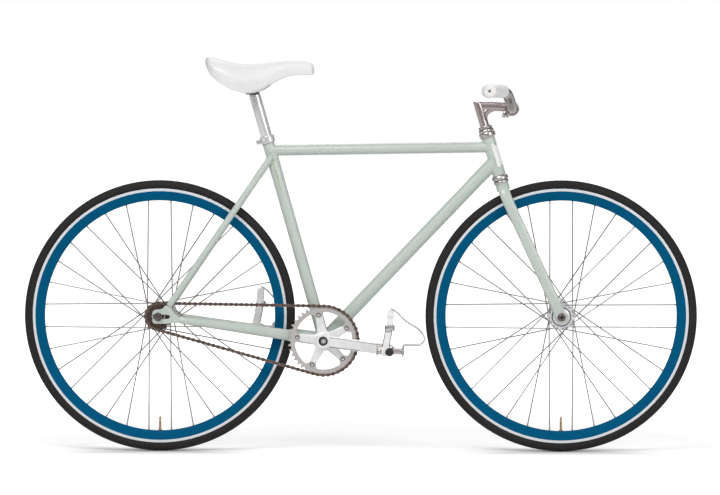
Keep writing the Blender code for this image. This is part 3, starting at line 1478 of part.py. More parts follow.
def saddle_mesh(name, inset, drop):
    """Saddle form, drawn in all round and let down at its lower edge."""
    rings = []
    last = len(SADDLE_STATIONS) - 1
    for k, (ahead, top, edge, half_width) in enumerate(SADDLE_STATIONS):
        if k == 0:
            ahead += inset
        if k == last:
            ahead -= inset
        half = max(half_width - inset, 0.004)
        crest = max(top - inset, edge + 0.004)
        low = edge - drop
        height = crest - edge
        ring = []
        count = 9
        for j in range(count):
            angle = math.pi * j / (count - 1)
            c, s = math.cos(angle), math.sin(angle)
            y = math.copysign(abs(c) ** 0.75, c) * half
            z = edge + height * abs(s) ** 0.8
            y *= 0.90 + 0.10 * min(1.0, abs(s) * 2.2)
            ring.append(TILT_POINT + Vector((ahead, y, z)))
        ring.append(TILT_POINT + Vector((ahead, -half * 0.90, low)))
        ring.append(TILT_POINT + Vector((ahead, half * 0.90, low)))
        if drop <= 0:
            ring = ring[:count]
        rings.append(ring)
    return loft_mesh(name, rings)


def make_saddle(bike):
    """Padded cover, the shell under it, and the wire rails."""
    cover = bike.part("saddle_cover", saddle_mesh("saddle_cover", 0, 0),
                      white_vinyl("saddle_vinyl"), TILT_POINT)
    bike.cut(cover, saddle_mesh("hollow", SADDLE_PAD, 0.03))
    shell_inset = SADDLE_PAD + GAP
    shell = bike.part("saddle_shell",
                      saddle_mesh("saddle_shell", shell_inset, 0),
                      white_vinyl("shell_plastic"), TILT_POINT)
    hollow = bike.cut(shell, saddle_mesh("shell_hollow",
                                         shell_inset + SADDLE_SHELL, 0.03))
    rear = TILT_POINT + Vector((-0.0895, 0, 0.0590))
    nose = TILT_POINT + Vector((0.1310, 0, 0.0750))
    bike.cut(hollow, box_mesh("rear_socket", rear, (0.0200, 0.068, 0.066)))
    bike.cut(hollow, box_mesh("nose_socket", nose, (0.0500, 0.026, 0.054)))
    make_rails(bike)


def make_rails(bike):
    """One wire: along under the saddle, round at the nose, and back."""
    y = RAIL_SPACING / 2
    rear_face = -0.0795
    nose_face = 0.1060
    half = CLAMP_BLOCK_LENGTH / 2 + 0.006
    side = [(rear_face + GAP, y + 0.004, 0.0330),
            (rear_face + 0.007, y + 0.004, 0.0325),
            (-0.0600, y + 0.002, 0.0215), (-0.0420, y + 0.001, 0.0105),
            (-half, y, 0.0020), (half, y, 0.0020),
            (0.0350, y - 0.004, 0.0120), (0.0520, y - 0.009, 0.0290),
            (0.0760, y - 0.013, 0.0455),
            (nose_face - RAIL_RADIUS - 0.005, 0.0070, 0.0520),
            (nose_face - RAIL_RADIUS - GAP, 0.0, 0.0525)]
    right = [TILT_POINT + Vector((a, -b, c)) for a, b, c in side]
    points = right + list(reversed(mirrored_y(right)))[1:]
    mesh = wire_mesh("saddle_rails", points, [RAIL_RADIUS] * len(points), 1)
    bike.part("saddle_rails", mesh, dark_steel("rail_steel"), TILT_POINT)


# Cranks and pedals

def crank_rings(side, along):
    """Rings of a tapering crank arm, from its boss to its pedal eye."""
    up = Vector((-along.z, 0, along.x))
    tip = CRANK_LENGTH + CRANK_TIP_HALF_HEIGHT
    rows = [(-CRANK_BOSS_RADIUS * 0.3, 0.0, CRANK_HALF_HEIGHT * 0.90),
            (0.020, 0.0, CRANK_HALF_HEIGHT),
            (0.050, 0.15, CRANK_HALF_HEIGHT * 0.98),
            (0.150, 0.9, CRANK_TIP_HALF_HEIGHT),
            (tip - 0.0060, 1.0, CRANK_TIP_HALF_HEIGHT * 0.94),
            (tip, 1.0, CRANK_TIP_HALF_HEIGHT * 0.45)]
    rings = []
    for reach, share, half_height in rows:
        face = CRANK_FACE_Y + (CRANK_PEDAL_FACE_Y - CRANK_FACE_Y) * share
        centre = BRACKET + along * reach
        centre = centre + Y_AXIS * side * (face - CRANK_THICKNESS / 2)
        rings.append(ellipse_ring(centre, up, Y_AXIS * side, half_height,
                                  CRANK_THICKNESS / 2, 8, 3.2))
    return rings


def make_crank(bike, word, side, along):
    """Arm with a boss, square hole, and an eye for the pedal spindle."""
    name = f"crank_{word}"
    low = BRACKET_WIDTH / 2 + 0.0055
    mesh = cylinder_mesh(name, BRACKET + Y_AXIS * side * low,
                         BRACKET + Y_AXIS * side * (CRANK_FACE_Y + 0.001),
                         CRANK_BOSS_RADIUS, 16)
    crank = bike.part(name, mesh, polished_alloy(name + "_alloy"), BRACKET)
    bike.join(crank, loft_mesh("arm", crank_rings(side, along)))
    return crank


def finish_crank(bike, crank, side, along):
    """Cut the bolt recess, square hole and pedal eye of a crank."""
    square = SPINDLE_SQUARE + 2 * GAP
    middle = BRACKET + Y_AXIS * side * CRANK_FACE_Y * 0.5
    bike.cut(crank, box_mesh("square", middle,
                             (square, CRANK_FACE_Y + 0.05, square), along))
    deep = CRANK_FACE_Y - 0.0110
    bike.cut(crank, cylinder_mesh(
        "recess", BRACKET + Y_AXIS * side * deep,
        BRACKET + Y_AXIS * side * (CRANK_FACE_Y + 0.02),
        bore_radius(CRANK_BOLT_RADIUS, GAP, 12), 12))
    eye = BRACKET + along * CRANK_LENGTH
    bike.cut(crank, cylinder_mesh(
        "pedal_eye", eye + Y_AXIS * side * 0.05, eye + Y_AXIS * side * 0.09,
        bore_radius(PEDAL_SPINDLE_RADIUS, GAP, 12), 12))


def make_spider(bike, crank):
    """Five arms from the right crank's boss to the chainring's tabs."""
    low = -CHAIN_LINE + RING_THICKNESS / 2 + GAP
    tip = SPIDER_CIRCLE + SPIDER_TIP
    outline = []
    for k in range(5):
        outward = spider_direction(k)
        across = Vector((-outward.z, 0, outward.x))
        rows = [(0.0225, 0.0125), (0.0450, SPIDER_HALF_WIDTH * 0.93),
                (tip - 0.003, SPIDER_HALF_WIDTH * 0.86),
                (tip, SPIDER_HALF_WIDTH * 0.5)]
        arm = [(reach, -half) for reach, half in rows]
        arm += [(reach, half) for reach, half in reversed(rows)]
        for reach, half in arm:
            corner = BRACKET + outward * reach + across * half
            outline.append((corner.x, corner.z))
    bike.join(crank, plate_mesh("spider", outline, low,
                                low + SPIDER_THICKNESS))


def make_crank_spindle(bike):
    """Axle of the cranks, with a square and a fixing bolt at each end."""
    shoulder = BRACKET_WIDTH / 2 + GAP + CARTRIDGE_LIP + 0.0004
    end = CRANK_FACE_Y - 0.0110 + GAP
    mesh = cylinder_mesh("crank_spindle", BRACKET - Y_AXIS * shoulder,
                         BRACKET + Y_AXIS * shoulder, SPINDLE_RADIUS, 12)
    spindle = bike.part("crank_spindle", mesh, satin_steel("spindle_steel"),
                        BRACKET)
    length = 2 * (end + 0.003)
    bike.join(spindle, box_mesh("squares", BRACKET,
                                (SPINDLE_SQUARE, length, SPINDLE_SQUARE),
                                CRANK_ALONG))
    for side in (-1, 1):
        start = BRACKET + Y_AXIS * side * end
        profile = [(0, 0.0088), (CRANK_BOLT_RADIUS - 0.001, 0.0088),
                   (CRANK_BOLT_RADIUS, 0.0078), (CRANK_BOLT_RADIUS, 0),
                   (0, 0)]
        bike.join(spindle, turned_mesh("bolt", profile, start,
                                       start + Y_AXIS * side, 12,
                                       closed=False))
    return spindle


def make_pedal(bike, word, side, along):
    """Spindle, cage with its barrel, wire toe clip and strap."""
    axis = BRACKET + along * CRANK_LENGTH
    face = CRANK_PEDAL_FACE_Y
    inner = face + PEDAL_OFFSET
    outer = inner + PEDAL_CAGE_WIDTH
    spindle_end = outer - 0.006
    name = f"pedal_spindle_{word}"
    near = axis + Y_AXIS * side
    profile = [(0, spindle_end), (PEDAL_SPINDLE_RADIUS, spindle_end),
               (PEDAL_SPINDLE_RADIUS, face + 0.0045),
               (0.0078, face + 0.0045), (0.0078, face + GAP),
               (PEDAL_SPINDLE_RADIUS, face + GAP),
               (PEDAL_SPINDLE_RADIUS, face - CRANK_THICKNESS), (0,
               face - CRANK_THICKNESS)]
    mesh = turned_mesh(name, profile, axis, near, 12, closed=False)
    bike.part(name, mesh, satin_steel(name + "_steel"), axis)

    name = f"pedal_body_{word}"
    profile = [(0, outer + 0.0020), (PEDAL_CAP_RADIUS - 0.001,
               outer + 0.0020), (PEDAL_CAP_RADIUS, outer + 0.0010),
               (PEDAL_CAP_RADIUS, outer - 0.0060),
               (PEDAL_BARREL_RADIUS, outer - 0.0070),
               (PEDAL_BARREL_RADIUS, face + 0.0052), (0, face + 0.0052)]
    mesh = turned_mesh(name, profile, axis, near, 12, closed=False)
    body = bike.part(name, mesh, satin_steel(name + "_steel"), axis)
    middle = axis + Y_AXIS * side * (inner + outer) / 2
    half_x = PEDAL_CAGE_LENGTH / 2
    for way in (-1, 1):
        plate = middle + Vector((way * (half_x - PEDAL_PLATE / 2), 0, 0))
        bike.join(body, box_mesh("cage_plate", plate,
                                 (PEDAL_PLATE, PEDAL_CAGE_WIDTH,
                                  PEDAL_CAGE_HEIGHT)))
    for y in (inner + 0.0080, outer - 0.0120):
        bar = axis + Y_AXIS * side * y
        bike.join(body, box_mesh("cage_bar", bar,
                                 (PEDAL_CAGE_LENGTH - PEDAL_PLATE, 0.0070,
                                  0.0090)))
    bike.cut(body, cylinder_mesh(
        "bore", axis + Y_AXIS * side * face,
        axis + Y_AXIS * side * (spindle_end + GAP),
        bore_radius(PEDAL_SPINDLE_RADIUS, RUNNING, 12), 12))
    make_toe_clip(bike, word, side, middle)
    make_strap(bike, word, side, axis, inner, outer)


def make_toe_clip(bike, word, side, middle):
    """Wire from the front cage plate, over the toe and back again."""
    front = PEDAL_CAGE_LENGTH / 2 + GAP + TOE_WIRE_RADIUS
    half = PEDAL_CAGE_WIDTH * 0.30
    rise = PEDAL_CAGE_HEIGHT / 2
    run = [(front, half, -rise + 0.003), (front, half, rise + 0.002),
           (front + 0.0130, half, rise + 0.0030),
           (0.0710, half * 0.96, 0.0148), (0.0815, half * 0.92, 0.0205),
           (0.0850, half * 0.86, 0.0290), (0.0810, half * 0.78, 0.0410),
           (0.0690, half * 0.68, 0.0550), (0.0500, half * 0.56, 0.0665),
           (0.0330, half * 0.46, 0.0790), (0.0200, half * 0.38, 0.0925),
           (0.0090, half * 0.30, 0.1020), (0.0030, half * 0.18, 0.1026)]
    outer = [middle + Vector((x, side * y, z)) for x, y, z in run]
    inner = [middle + Vector((x, -side * y, z)) for x, y, z in run]
    points = outer + list(reversed(inner))
    name = f"toe_clip_{word}"
    mesh = wire_mesh(name, points, [TOE_WIRE_RADIUS] * len(points), 0)
    bike.part(name, mesh, polished_alloy(name + "_chrome"), middle)


def make_strap(bike, word, side, axis, inner, outer):
    """Leather band under the barrel, up both sides and over the toe."""
    low = 0.0075
    high = 0.1011 - TOE_WIRE_RADIUS - STRAP_THICKNESS / 2
    near, far = inner - 0.0025, outer + 0.0055
    middle = (inner + outer) / 2
    run = [(near + 0.006, -low, -0.0165), (far - 0.006, -low, -0.0165),
           (far, -low * 0.3, -0.0160), (far + 0.001, 0.020, -0.0120),
           (far - 0.002, 0.050, -0.0050), (far - 0.014, 0.077, -0.0010),
           (middle + 0.020, 0.092, 0.0010), (middle, high, 0.0020),
           (middle - 0.020, 0.092, 0.0010), (near + 0.010, 0.077, -0.0010),
           (near + 0.001, 0.050, -0.0050), (near - 0.001, 0.020, -0.0120),
           (near, -low * 0.3, -0.0160)]
    rings = []
    count = len(run)
    half = STRAP_WIDTH / 2
    thick = STRAP_THICKNESS / 2
    for k, (y, z, x) in enumerate(run):
        before, after = run[k - 1], run[(k + 1) % count]
        way = Vector((0, after[0] - before[0], after[1] - before[1]))
        way.normalize()
        out = Vector((0, way.z, -way.y))
        ring = []
        for a, b in ((-1, -1), (1, -1), (1, 1), (-1, 1)):
            offset = Vector((a * half, b * thick * out.y, b * thick * out.z))
            ring.append(axis + Vector((x + offset.x, side * (y + offset.y),
                                       z + offset.z)))
        rings.append(ring)
    name = f"toe_strap_{word}"
    strap = bike.part(name, loft_mesh(name, rings, closed=True),
                      white_vinyl(name + "_leather"), axis)
    buckle = axis + Vector((0.0005, side * (far + 0.0005), 0.0500))
    bike.join(strap, box_mesh("buckle", buckle, (0.0170, 0.0080, 0.0130),
                              Vector((1, 0, 0)), 0.0012))
    return strap


# The whole bicycle

def build_bicycle():
    clear_scene()
    bike = Assembly()
    make_head_tube(bike)
    seat_tube_radius = make_seat_tube(bike)
    make_main_tubes(bike, seat_tube_radius)
    make_bracket_shell(bike)
    for side, word in ((-1, "right"), (1, "left")):
        make_dropout(bike, word, side)
        make_seat_stay(bike, word, side, seat_tube_radius)
        make_chainstay(bike, word, side)
    make_bridges(bike)
    make_seat_collar(bike, seat_tube_radius)
    make_bottom_bracket(bike)
    make_headset(bike)
    make_steerer(bike)
    for side, word in ((-1, "right"), (1, "left")):
        make_blade(bike, word, side)
    make_stem(bike)
    make_expander(bike)
    make_handlebar(bike)
    for side, word in ((-1, "right"), (1, "left")):
        make_grip(bike, word, side)
    make_seatpost(bike)
    make_saddle_clamp(bike)
    make_saddle(bike)
    make_front_wheel(bike)
    make_rear_wheel(bike)
    make_chain(bike)
    make_sprockets(bike)
    right = make_crank(bike, "right", -1, CRANK_ALONG)
    make_spider(bike, right)
    finish_crank(bike, right, -1, CRANK_ALONG)
    left = make_crank(bike, "left", 1, -CRANK_ALONG)
    finish_crank(bike, left, 1, -CRANK_ALONG)
    make_crank_spindle(bike)
    make_pedal(bike, "right", -1, CRANK_ALONG)
    make_pedal(bike, "left", 1, -CRANK_ALONG)


build_bicycle()
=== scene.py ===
"""Looks of a fixed-wheel city bicycle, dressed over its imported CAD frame.

Metres, in the frame of the CAD model: +X forward, +Y to the rider's left,
+Z up, with the ground at z = 0 and the two axles at equal distances from
x = 0.  Each sub-assembly is a class that holds its sizes and builds its
pieces; each finish is a frozen dataclass that makes one material.
"""

import json
import logging
import math
from dataclasses import dataclass, field, replace
from enum import Enum
from typing import Callable, Sequence

import bmesh
import bpy
import numpy as np
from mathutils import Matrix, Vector
from mathutils.geometry import tessellate_polygon

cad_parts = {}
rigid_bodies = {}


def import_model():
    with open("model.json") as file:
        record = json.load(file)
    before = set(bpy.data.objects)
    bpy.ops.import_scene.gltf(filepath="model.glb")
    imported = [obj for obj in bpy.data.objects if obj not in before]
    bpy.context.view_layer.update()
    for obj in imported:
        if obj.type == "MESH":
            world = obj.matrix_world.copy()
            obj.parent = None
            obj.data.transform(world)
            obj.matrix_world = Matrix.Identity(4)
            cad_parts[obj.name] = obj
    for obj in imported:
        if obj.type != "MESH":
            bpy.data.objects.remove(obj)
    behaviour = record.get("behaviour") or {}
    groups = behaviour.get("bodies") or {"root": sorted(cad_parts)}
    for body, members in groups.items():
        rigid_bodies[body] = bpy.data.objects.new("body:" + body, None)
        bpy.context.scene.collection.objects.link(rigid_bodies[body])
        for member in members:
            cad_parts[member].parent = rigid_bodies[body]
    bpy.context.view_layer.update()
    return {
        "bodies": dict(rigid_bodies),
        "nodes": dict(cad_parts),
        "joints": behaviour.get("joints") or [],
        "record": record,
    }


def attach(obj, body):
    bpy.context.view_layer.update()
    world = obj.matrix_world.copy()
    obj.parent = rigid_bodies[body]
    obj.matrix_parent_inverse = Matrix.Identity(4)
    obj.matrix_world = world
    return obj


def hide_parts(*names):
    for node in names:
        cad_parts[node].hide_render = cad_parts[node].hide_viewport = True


LOG = logging.getLogger("bicycle")

Array = np.ndarray
Socket = bpy.types.NodeSocket
Triple = tuple[float, float, float]
TAU = 2.0 * math.pi
X_AXIS = np.array([1.0, 0.0, 0.0])
Y_AXIS = np.array([0.0, 1.0, 0.0])
Z_AXIS = np.array([0.0, 0.0, 1.0])

REAR_AXLE = np.array([-0.4944, 0.0, 0.334])
FRONT_AXLE = np.array([0.4944, 0.0, 0.334])
BRACKET = np.array([-0.089331, 0.0, 0.274800])
SEAT_UP = np.array([-0.272280, 0.0, 0.962218])
STEER_UP = np.array([-0.284015, 0.0, 0.958820])
STEER_AHEAD = np.array([0.958820, 0.0, 0.284015])
STEER_FOOT = np.array([0.448377, 0.0, 0.320367])
HEAD_FOOT = np.array([0.341729, 0.0, 0.680404])
HEAD_TOP = np.array([0.314605, 0.0, 0.771971])
LOCKNUT_TOP = np.array([0.306085, 0.0, 0.800736])
TILT_POINT = np.array([-0.263182, 0.0, 0.889176])
CLAMP_CENTRE = np.array([0.372452, 0.0, 0.843759])
CRANK_ANGLE = math.radians(-7.2)
CRANK_ALONG = np.array([math.cos(CRANK_ANGLE), 0.0, math.sin(CRANK_ANGLE)])
CRANK_LENGTH = 0.165
CHAIN_LINE = 0.0435

class Side(Enum):
    """The rider's two sides, each with its sign along +Y."""

    RIGHT = -1
    LEFT = 1

    @property
    def word(self) -> str:
        """Lower-case name, as the CAD nodes spell it."""
        return self.name.lower()


class End(Enum):
    """The two ends of the bicycle."""

    FRONT = "front"
    REAR = "rear"


class Gloss(Enum):
    """How bright a metal's surface is, as a roughness."""

    MIRROR = 0.10
    POLISHED = 0.19
    SATIN = 0.32
    DULL = 0.45


# Surfaces

@dataclass
class Surface:
    """Places, (m, 4) quads and (k, 3) triangles of a surface."""

    points: Array
    quads: Array
    tris: Array = field(default_factory=lambda: np.zeros((0, 3), dtype=int))

    def mirrored(self) -> "Surface":
        """Copy of the surface on the other side of the centre plane."""
        return Surface(self.points * np.array([1.0, -1.0, 1.0]),
                       self.quads[:, ::-1], self.tris[:, ::-1])


def merged(surfaces: Sequence[Surface]) -> Surface:
    """One surface that holds all the faces of several.

    Args:
        surfaces: the surfaces to join.

    Returns:
        The joined surface.
    """
    starts = np.cumsum([0] + [len(s.points) for s in surfaces])
    return Surface(np.vstack([s.points for s in surfaces]),
                   np.vstack([s.quads + n for s, n in zip(surfaces, starts)]),
                   np.vstack([s.tris + n for s, n in zip(surfaces, starts)]))


def grid_faces(rows: int, columns: int, wrap_rows: bool,
               wrap_columns: bool) -> Array:
    """Quads that join a grid of points, row by row.

    Args:
        rows: number of rows of points.
        columns: number of points in a row.
        wrap_rows: joins the last row to the first.
        wrap_columns: joins the last point of a row to its first.

    Returns:
        (m, 4) array of point numbers.
    """
    i, j = (a.ravel() for a in np.meshgrid(
        np.arange(rows if wrap_rows else rows - 1),
        np.arange(columns if wrap_columns else columns - 1), indexing="ij"))
    i2, j2 = (i + 1) % rows, (j + 1) % columns
    return np.stack([i * columns + j, i * columns + j2,
                     i2 * columns + j2, i2 * columns + j], axis=1)


def skinned(rings: Array, closed: bool = False, caps: bool = True) -> Surface:
    """Surface through a row of rings, each end closed by a fan.

    Args:
        rings: (m, k, 3) array of places; a fan's middle is its ring's mean.
        closed: joins the last ring to the first, with no fans.
        caps: adds the two fans.

    Returns:
        The skinned surface.
    """
    m, k, _ = rings.shape
    quads = grid_faces(m, k, closed, True)
    points = rings.reshape(-1, 3)
    if closed or not caps:
        return Surface(points, quads)
    points = np.vstack([points, rings[0].mean(axis=0), rings[-1].mean(axis=0)])
    j = np.arange(k)
    j2, last = (j + 1) % k, (m - 1) * k
    low = np.stack([np.full(k, m * k), j2, j], axis=1)
    high = np.stack([np.full(k, m * k + 1), last + j, last + j2], axis=1)
    return Surface(points, quads, np.vstack([low, high]))


def side_frame(direction: Array) -> tuple[Array, Array]:
    """Two unit vectors that make a right-handed set with a direction.

    Args:
        direction: the vector that they stand across.

    Returns:
        The two unit vectors.
    """
    along = direction / np.linalg.norm(direction)
    first = np.cross(Y_AXIS if abs(along[1]) < 0.9 else X_AXIS, along)
    first /= np.linalg.norm(first)
    return first, np.cross(along, first)


def compass(first: Array, second: Array, steps: int) -> Array:
    """(steps, 3) unit vectors: cos a times the first + sin a the second."""
    angle = np.arange(steps) * TAU / steps
    return np.cos(angle)[:, None] * first + np.sin(angle)[:, None] * second


def spin(angle: Array | float) -> Array:
    """Unit vectors at angles in the centre plane, from +X towards +Z."""
    return np.cos(angle)[..., None] * X_AXIS \
        + np.sin(angle)[..., None] * Z_AXIS


def polygon(sides: int, flat: float, steps: int) -> Array:
    """Radius of a regular polygon at each step of a turn.

    It is flat / cos of the angle from the nearest flat's middle.

    Args:
        sides: number of flats.
        flat: distance from the middle to a flat.
        steps: points in a turn.

    Returns:
        (steps,) array of radii.
    """
    step = TAU / sides
    angle = np.arange(steps) * TAU / steps
    return flat / np.cos((angle + step / 2) % step - step / 2)


def smooth(share: Array) -> Array:
    """Smooth step from 0 to 1: three squares less two cubes."""
    return share * share * (3 - 2 * share)


def round_tip(first: float, length: float, tip: float, plain: int,
              bent: int) -> tuple[Array, Array]:
    """Stations of an arm that ends in a half circle, and its half height.

    Args:
        first: place of the first station.
        length: where the half circle's centre is.
        tip: its radius; the half height at t is the root of
            (tip squared - (t - length) squared).
        plain: number of stations before the centre.
        bent: number of stations from the centre on.

    Returns:
        The stations and the half circle's half height at each.
    """
    t = np.concatenate([
        np.linspace(first, length - 0.001, plain),
        length + tip * np.sin(np.linspace(0.0, math.pi / 2 - 0.03, bent))])
    return t, np.sqrt(np.clip(tip ** 2 - (t - length) ** 2, 1e-8, None))


def turned(profile: Array, origin: Array, direction: Array, steps: int,
           closed: bool = False) -> Surface:
    """Surface of revolution about an axis.

    The point at (radius r, height h) and angle a lies at origin + h times
    the axis + r (cos a, sin a) in the plane across it.

    Args:
        profile: (n, 2) array of (radius, height), height rising.
        origin: the place from which heights are measured.
        direction: the way in which they grow.
        steps: points in a turn.
        closed: joins the profile's last point to its first.

    Returns:
        The turned surface.
    """
    along = direction / np.linalg.norm(direction)
    reach = np.where(profile[:, 0] < 1e-5, 0.0, profile[:, 0])
    return skinned(origin + profile[:, 1][:, None, None] * along
                   + reach[:, None, None]
                   * compass(*side_frame(along), steps)[None], closed)


def rounded(corners: Sequence[tuple[float, float]], radius: float,
            closed: bool = False, steps: int = 3) -> Array:
    """Outline with each of its corners rounded off.

    A corner C between A and B becomes a quadratic curve, with C as its
    control point, from a point on CA to a point on CB.  Both lie at the
    radius from C, or at 45% of the shorter edge.

    Args:
        corners: the outline's corners.
        radius: how far from a corner its rounding starts.
        closed: rounds the first and last corners too.
        steps: spans in each rounding.

    Returns:
        (n, 2) array of points.
    """
    points = np.asarray(corners, dtype=float)
    share = np.linspace(0.0, 1.0, steps + 1)[:, None]
    result = []
    for k, corner in enumerate(points):
        if not closed and k in (0, len(points) - 1):
            result.append(corner[None])
            continue
        to_a = points[k - 1] - corner
        to_b = points[(k + 1) % len(points)] - corner
        la, lb = np.linalg.norm(to_a), np.linalg.norm(to_b)
        cut = min(radius, 0.45 * la, 0.45 * lb)
        result.append(
            (1 - share) ** 2 * (corner + to_a * cut / max(la, 1e-9))
            + 2 * share * (1 - share) * corner
            + share ** 2 * (corner + to_b * cut / max(lb, 1e-9)))
    return np.vstack(result)


def lathe(corners: Sequence[tuple[float, float]], origin: Array,
          direction: Array, steps: int = 48, edge: float = 0.0004,
          closed: bool = False) -> Surface:
    """Turned surface whose profile has softened edges."""
    return turned(rounded(corners, edge, closed, 2), origin, direction,
                  steps, closed)


def spline(points: Sequence[Sequence[float]], per_span: int) -> Array:
    """Smooth path through given points, by Catmull and Rom's cubic.

    Between knots B and C, with A before and D after them, the point at t is
    half of 2B + (C-A)t + (2A-5B+4C-D)t^2 + (3B-A-3C+D)t^3.

    Args:
        points: the knots.
        per_span: points in each span.

    Returns:
        (n, 3) array of places.
    """
    knots = np.asarray(points, dtype=float)
    knots = np.vstack([2 * knots[0] - knots[1], knots,
                       2 * knots[-1] - knots[-2]])
    t = (np.arange(per_span) / per_span)[None, :, None]
    a, b, c, d = (knots[i:len(knots) - 3 + i][:, None] for i in range(4))
    path = 0.5 * (2 * b + (c - a) * t + (2 * a - 5 * b + 4 * c - d) * t ** 2
                  + (3 * b - a - 3 * c + d) * t ** 3)
    return np.vstack([path.reshape(-1, knots.shape[1]), knots[-2]])


def path_frames(path: Array, closed: bool, guide: Array
                ) -> tuple[Array, Array, Array]:
    """Directions of a path, and two side vectors at each of its points.

    The first side vector is the guide less its part along the path; the
    second is the path's direction crossed with the first.

    Args:
        path: (m, 3) array of places.
        closed: whether the path runs back to its start.
        guide: vector that the first side vector stays closest to.

    Returns:
        Directions, first and second side vectors, each (m, 3).
    """
    along = np.roll(path, -1, axis=0) - np.roll(path, 1, axis=0) \
        if closed else np.gradient(path, axis=0)
    along /= np.linalg.norm(along, axis=1)[:, None]
    guides = np.broadcast_to(guide, along.shape)
    first = guides - along * np.sum(guides * along, axis=1)[:, None]
    first /= np.linalg.norm(first, axis=1)[:, None]
    return along, first, np.cross(along, first)


def swept(path: Array, section: Array, guide: Array = Y_AXIS,
          closed: bool = False, scale: Array | None = None) -> Surface:
    """Profile carried along a path.

    Point j of ring i lies at path i + s_i (u_j first_i + v_j second_i), for
    the section's point (u, v) and the scale s.

    Args:
        path: (m, 3) array of places.
        section: (k, 2) array, counter-clockwise.
        guide: vector that the section's first axis stays closest to.
        closed: joins the path's ends.
        scale: (m,) array of sizes along the path, 1 where it is left out.

    Returns:
        The swept surface.
    """
    _, first, second = path_frames(path, closed, guide)
    size = np.ones(len(path)) if scale is None else np.asarray(scale)
    return skinned(path[:, None] + size[:, None, None] * (
        section[None, :, 0, None] * first[:, None]
        + section[None, :, 1, None] * second[:, None]), closed)


def superellipse(half_u: float, half_v: float, power: float,
                 steps: int) -> Array:
    """Points where |u/half_u|^p + |v/half_v|^p is 1, counter-clockwise."""
    unit = compass(np.array([1.0, 0.0]), np.array([0.0, 1.0]), steps)
    return np.sign(unit) * np.abs(unit) ** (2 / power) * (half_u, half_v)


def circle(radius: float, steps: int) -> Array:
    """Points of a circle, counter-clockwise."""
    return superellipse(radius, radius, 2.0, steps)


def capsule_path(start: Array, end: Array, radius: float,
                 steps: int = 16) -> Surface:
    """Round bar from start to end with softened ends.

    Args:
        start: where it starts.
        end: where it ends.
        radius: its radius.
        steps: points in a turn.

    Returns:
        The surface.
    """
    length = float(np.linalg.norm(end - start))
    profile = rounded([(0.0, 0.0), (radius, 0.0), (radius, length),
                       (0.0, length)], min(radius * 0.35, length * 0.2))
    profile[:, 0] = np.maximum(profile[:, 0], 1e-6)
    return turned(profile, start, end - start, steps)


def ring_plate(outer: Callable[[Array], Array],
               inner: Callable[[Array], Array], centre: Array, low: float,
               high: float, steps: int, bevel: float = 0.0003) -> Surface:
    """Flat plate between two outlines given as radii at each angle.

    Args:
        outer: radius of the outer outline at an array of angles.
        inner: radius of the inner outline.
        centre: the plate's centre.
        low: lower face, along +Y.
        high: upper face.
        steps: angles in a turn.
        bevel: size of the section's cut corners.

    Returns:
        The plate.
    """
    angle = np.arange(steps) * TAU / steps
    r_out, r_in = outer(angle), inner(angle)
    radii = np.stack([r_in, r_in + bevel, r_out - bevel, r_out, r_out,
                      r_out - bevel, r_in + bevel, r_in], axis=1)
    heights = np.array([low + bevel, low, low, low + bevel, high - bevel,
                        high, high, high - bevel])
    return skinned(centre + radii[..., None]
                   * compass(X_AXIS, Z_AXIS, steps)[:, None]
                   + heights[None, :, None] * Y_AXIS, True)


def box(centre: Array, size: Sequence[float], along: Array = X_AXIS,
        up: Array = Z_AXIS, edge: float = 0.0006) -> Surface:
    """Block with rounded edges, made of stacked rounded rectangles.

    Args:
        centre: its middle.
        size: full sizes along, across and up.
        along: way of the first size.
        up: way that the third size stays closest to.
        edge: size of the rounding.

    Returns:
        The surface.
    """
    half = np.asarray(size, dtype=float) / 2
    along = along / np.linalg.norm(along)
    side = np.cross(up, along)
    side /= np.linalg.norm(side)
    rings = []
    for sign, inset, sunk in ((-1, 1.0, 0.0), (-1, 0.3, 0.3), (-1, 0.0, 1.0),
                              (1, 0.0, 1.0), (1, 0.3, 0.3), (1, 1.0, 0.0)):
        u, v = half[0] - inset * edge, half[1] - inset * edge
        ring = rounded([(-u, -v), (u, -v), (u, v), (-u, v)], edge * 1.2,
                       True, 2)
        rings.append(centre + ring[:, :1] * along + ring[:, 1:] * side
                     + sign * (half[2] - sunk * edge)
                     * np.cross(along, side))
    return skinned(np.array(rings))


def pipe(start: Array, end: Array, radius: float, bore: float,
         steps: int = 48, edge: float = 0.0004) -> Surface:
    """Open round tube with softened ends.

    Args:
        start: where it starts.
        end: where it ends.
        radius: outer radius.
        bore: inner radius.
        steps: points in a turn.
        edge: size of the rounding.

    Returns:
        The surface.
    """
    length = float(np.linalg.norm(end - start))
    return lathe([(bore, 0.0), (radius, 0.0), (radius, length),
                  (bore, length)], start, end - start, steps, edge, True)


# Finishes

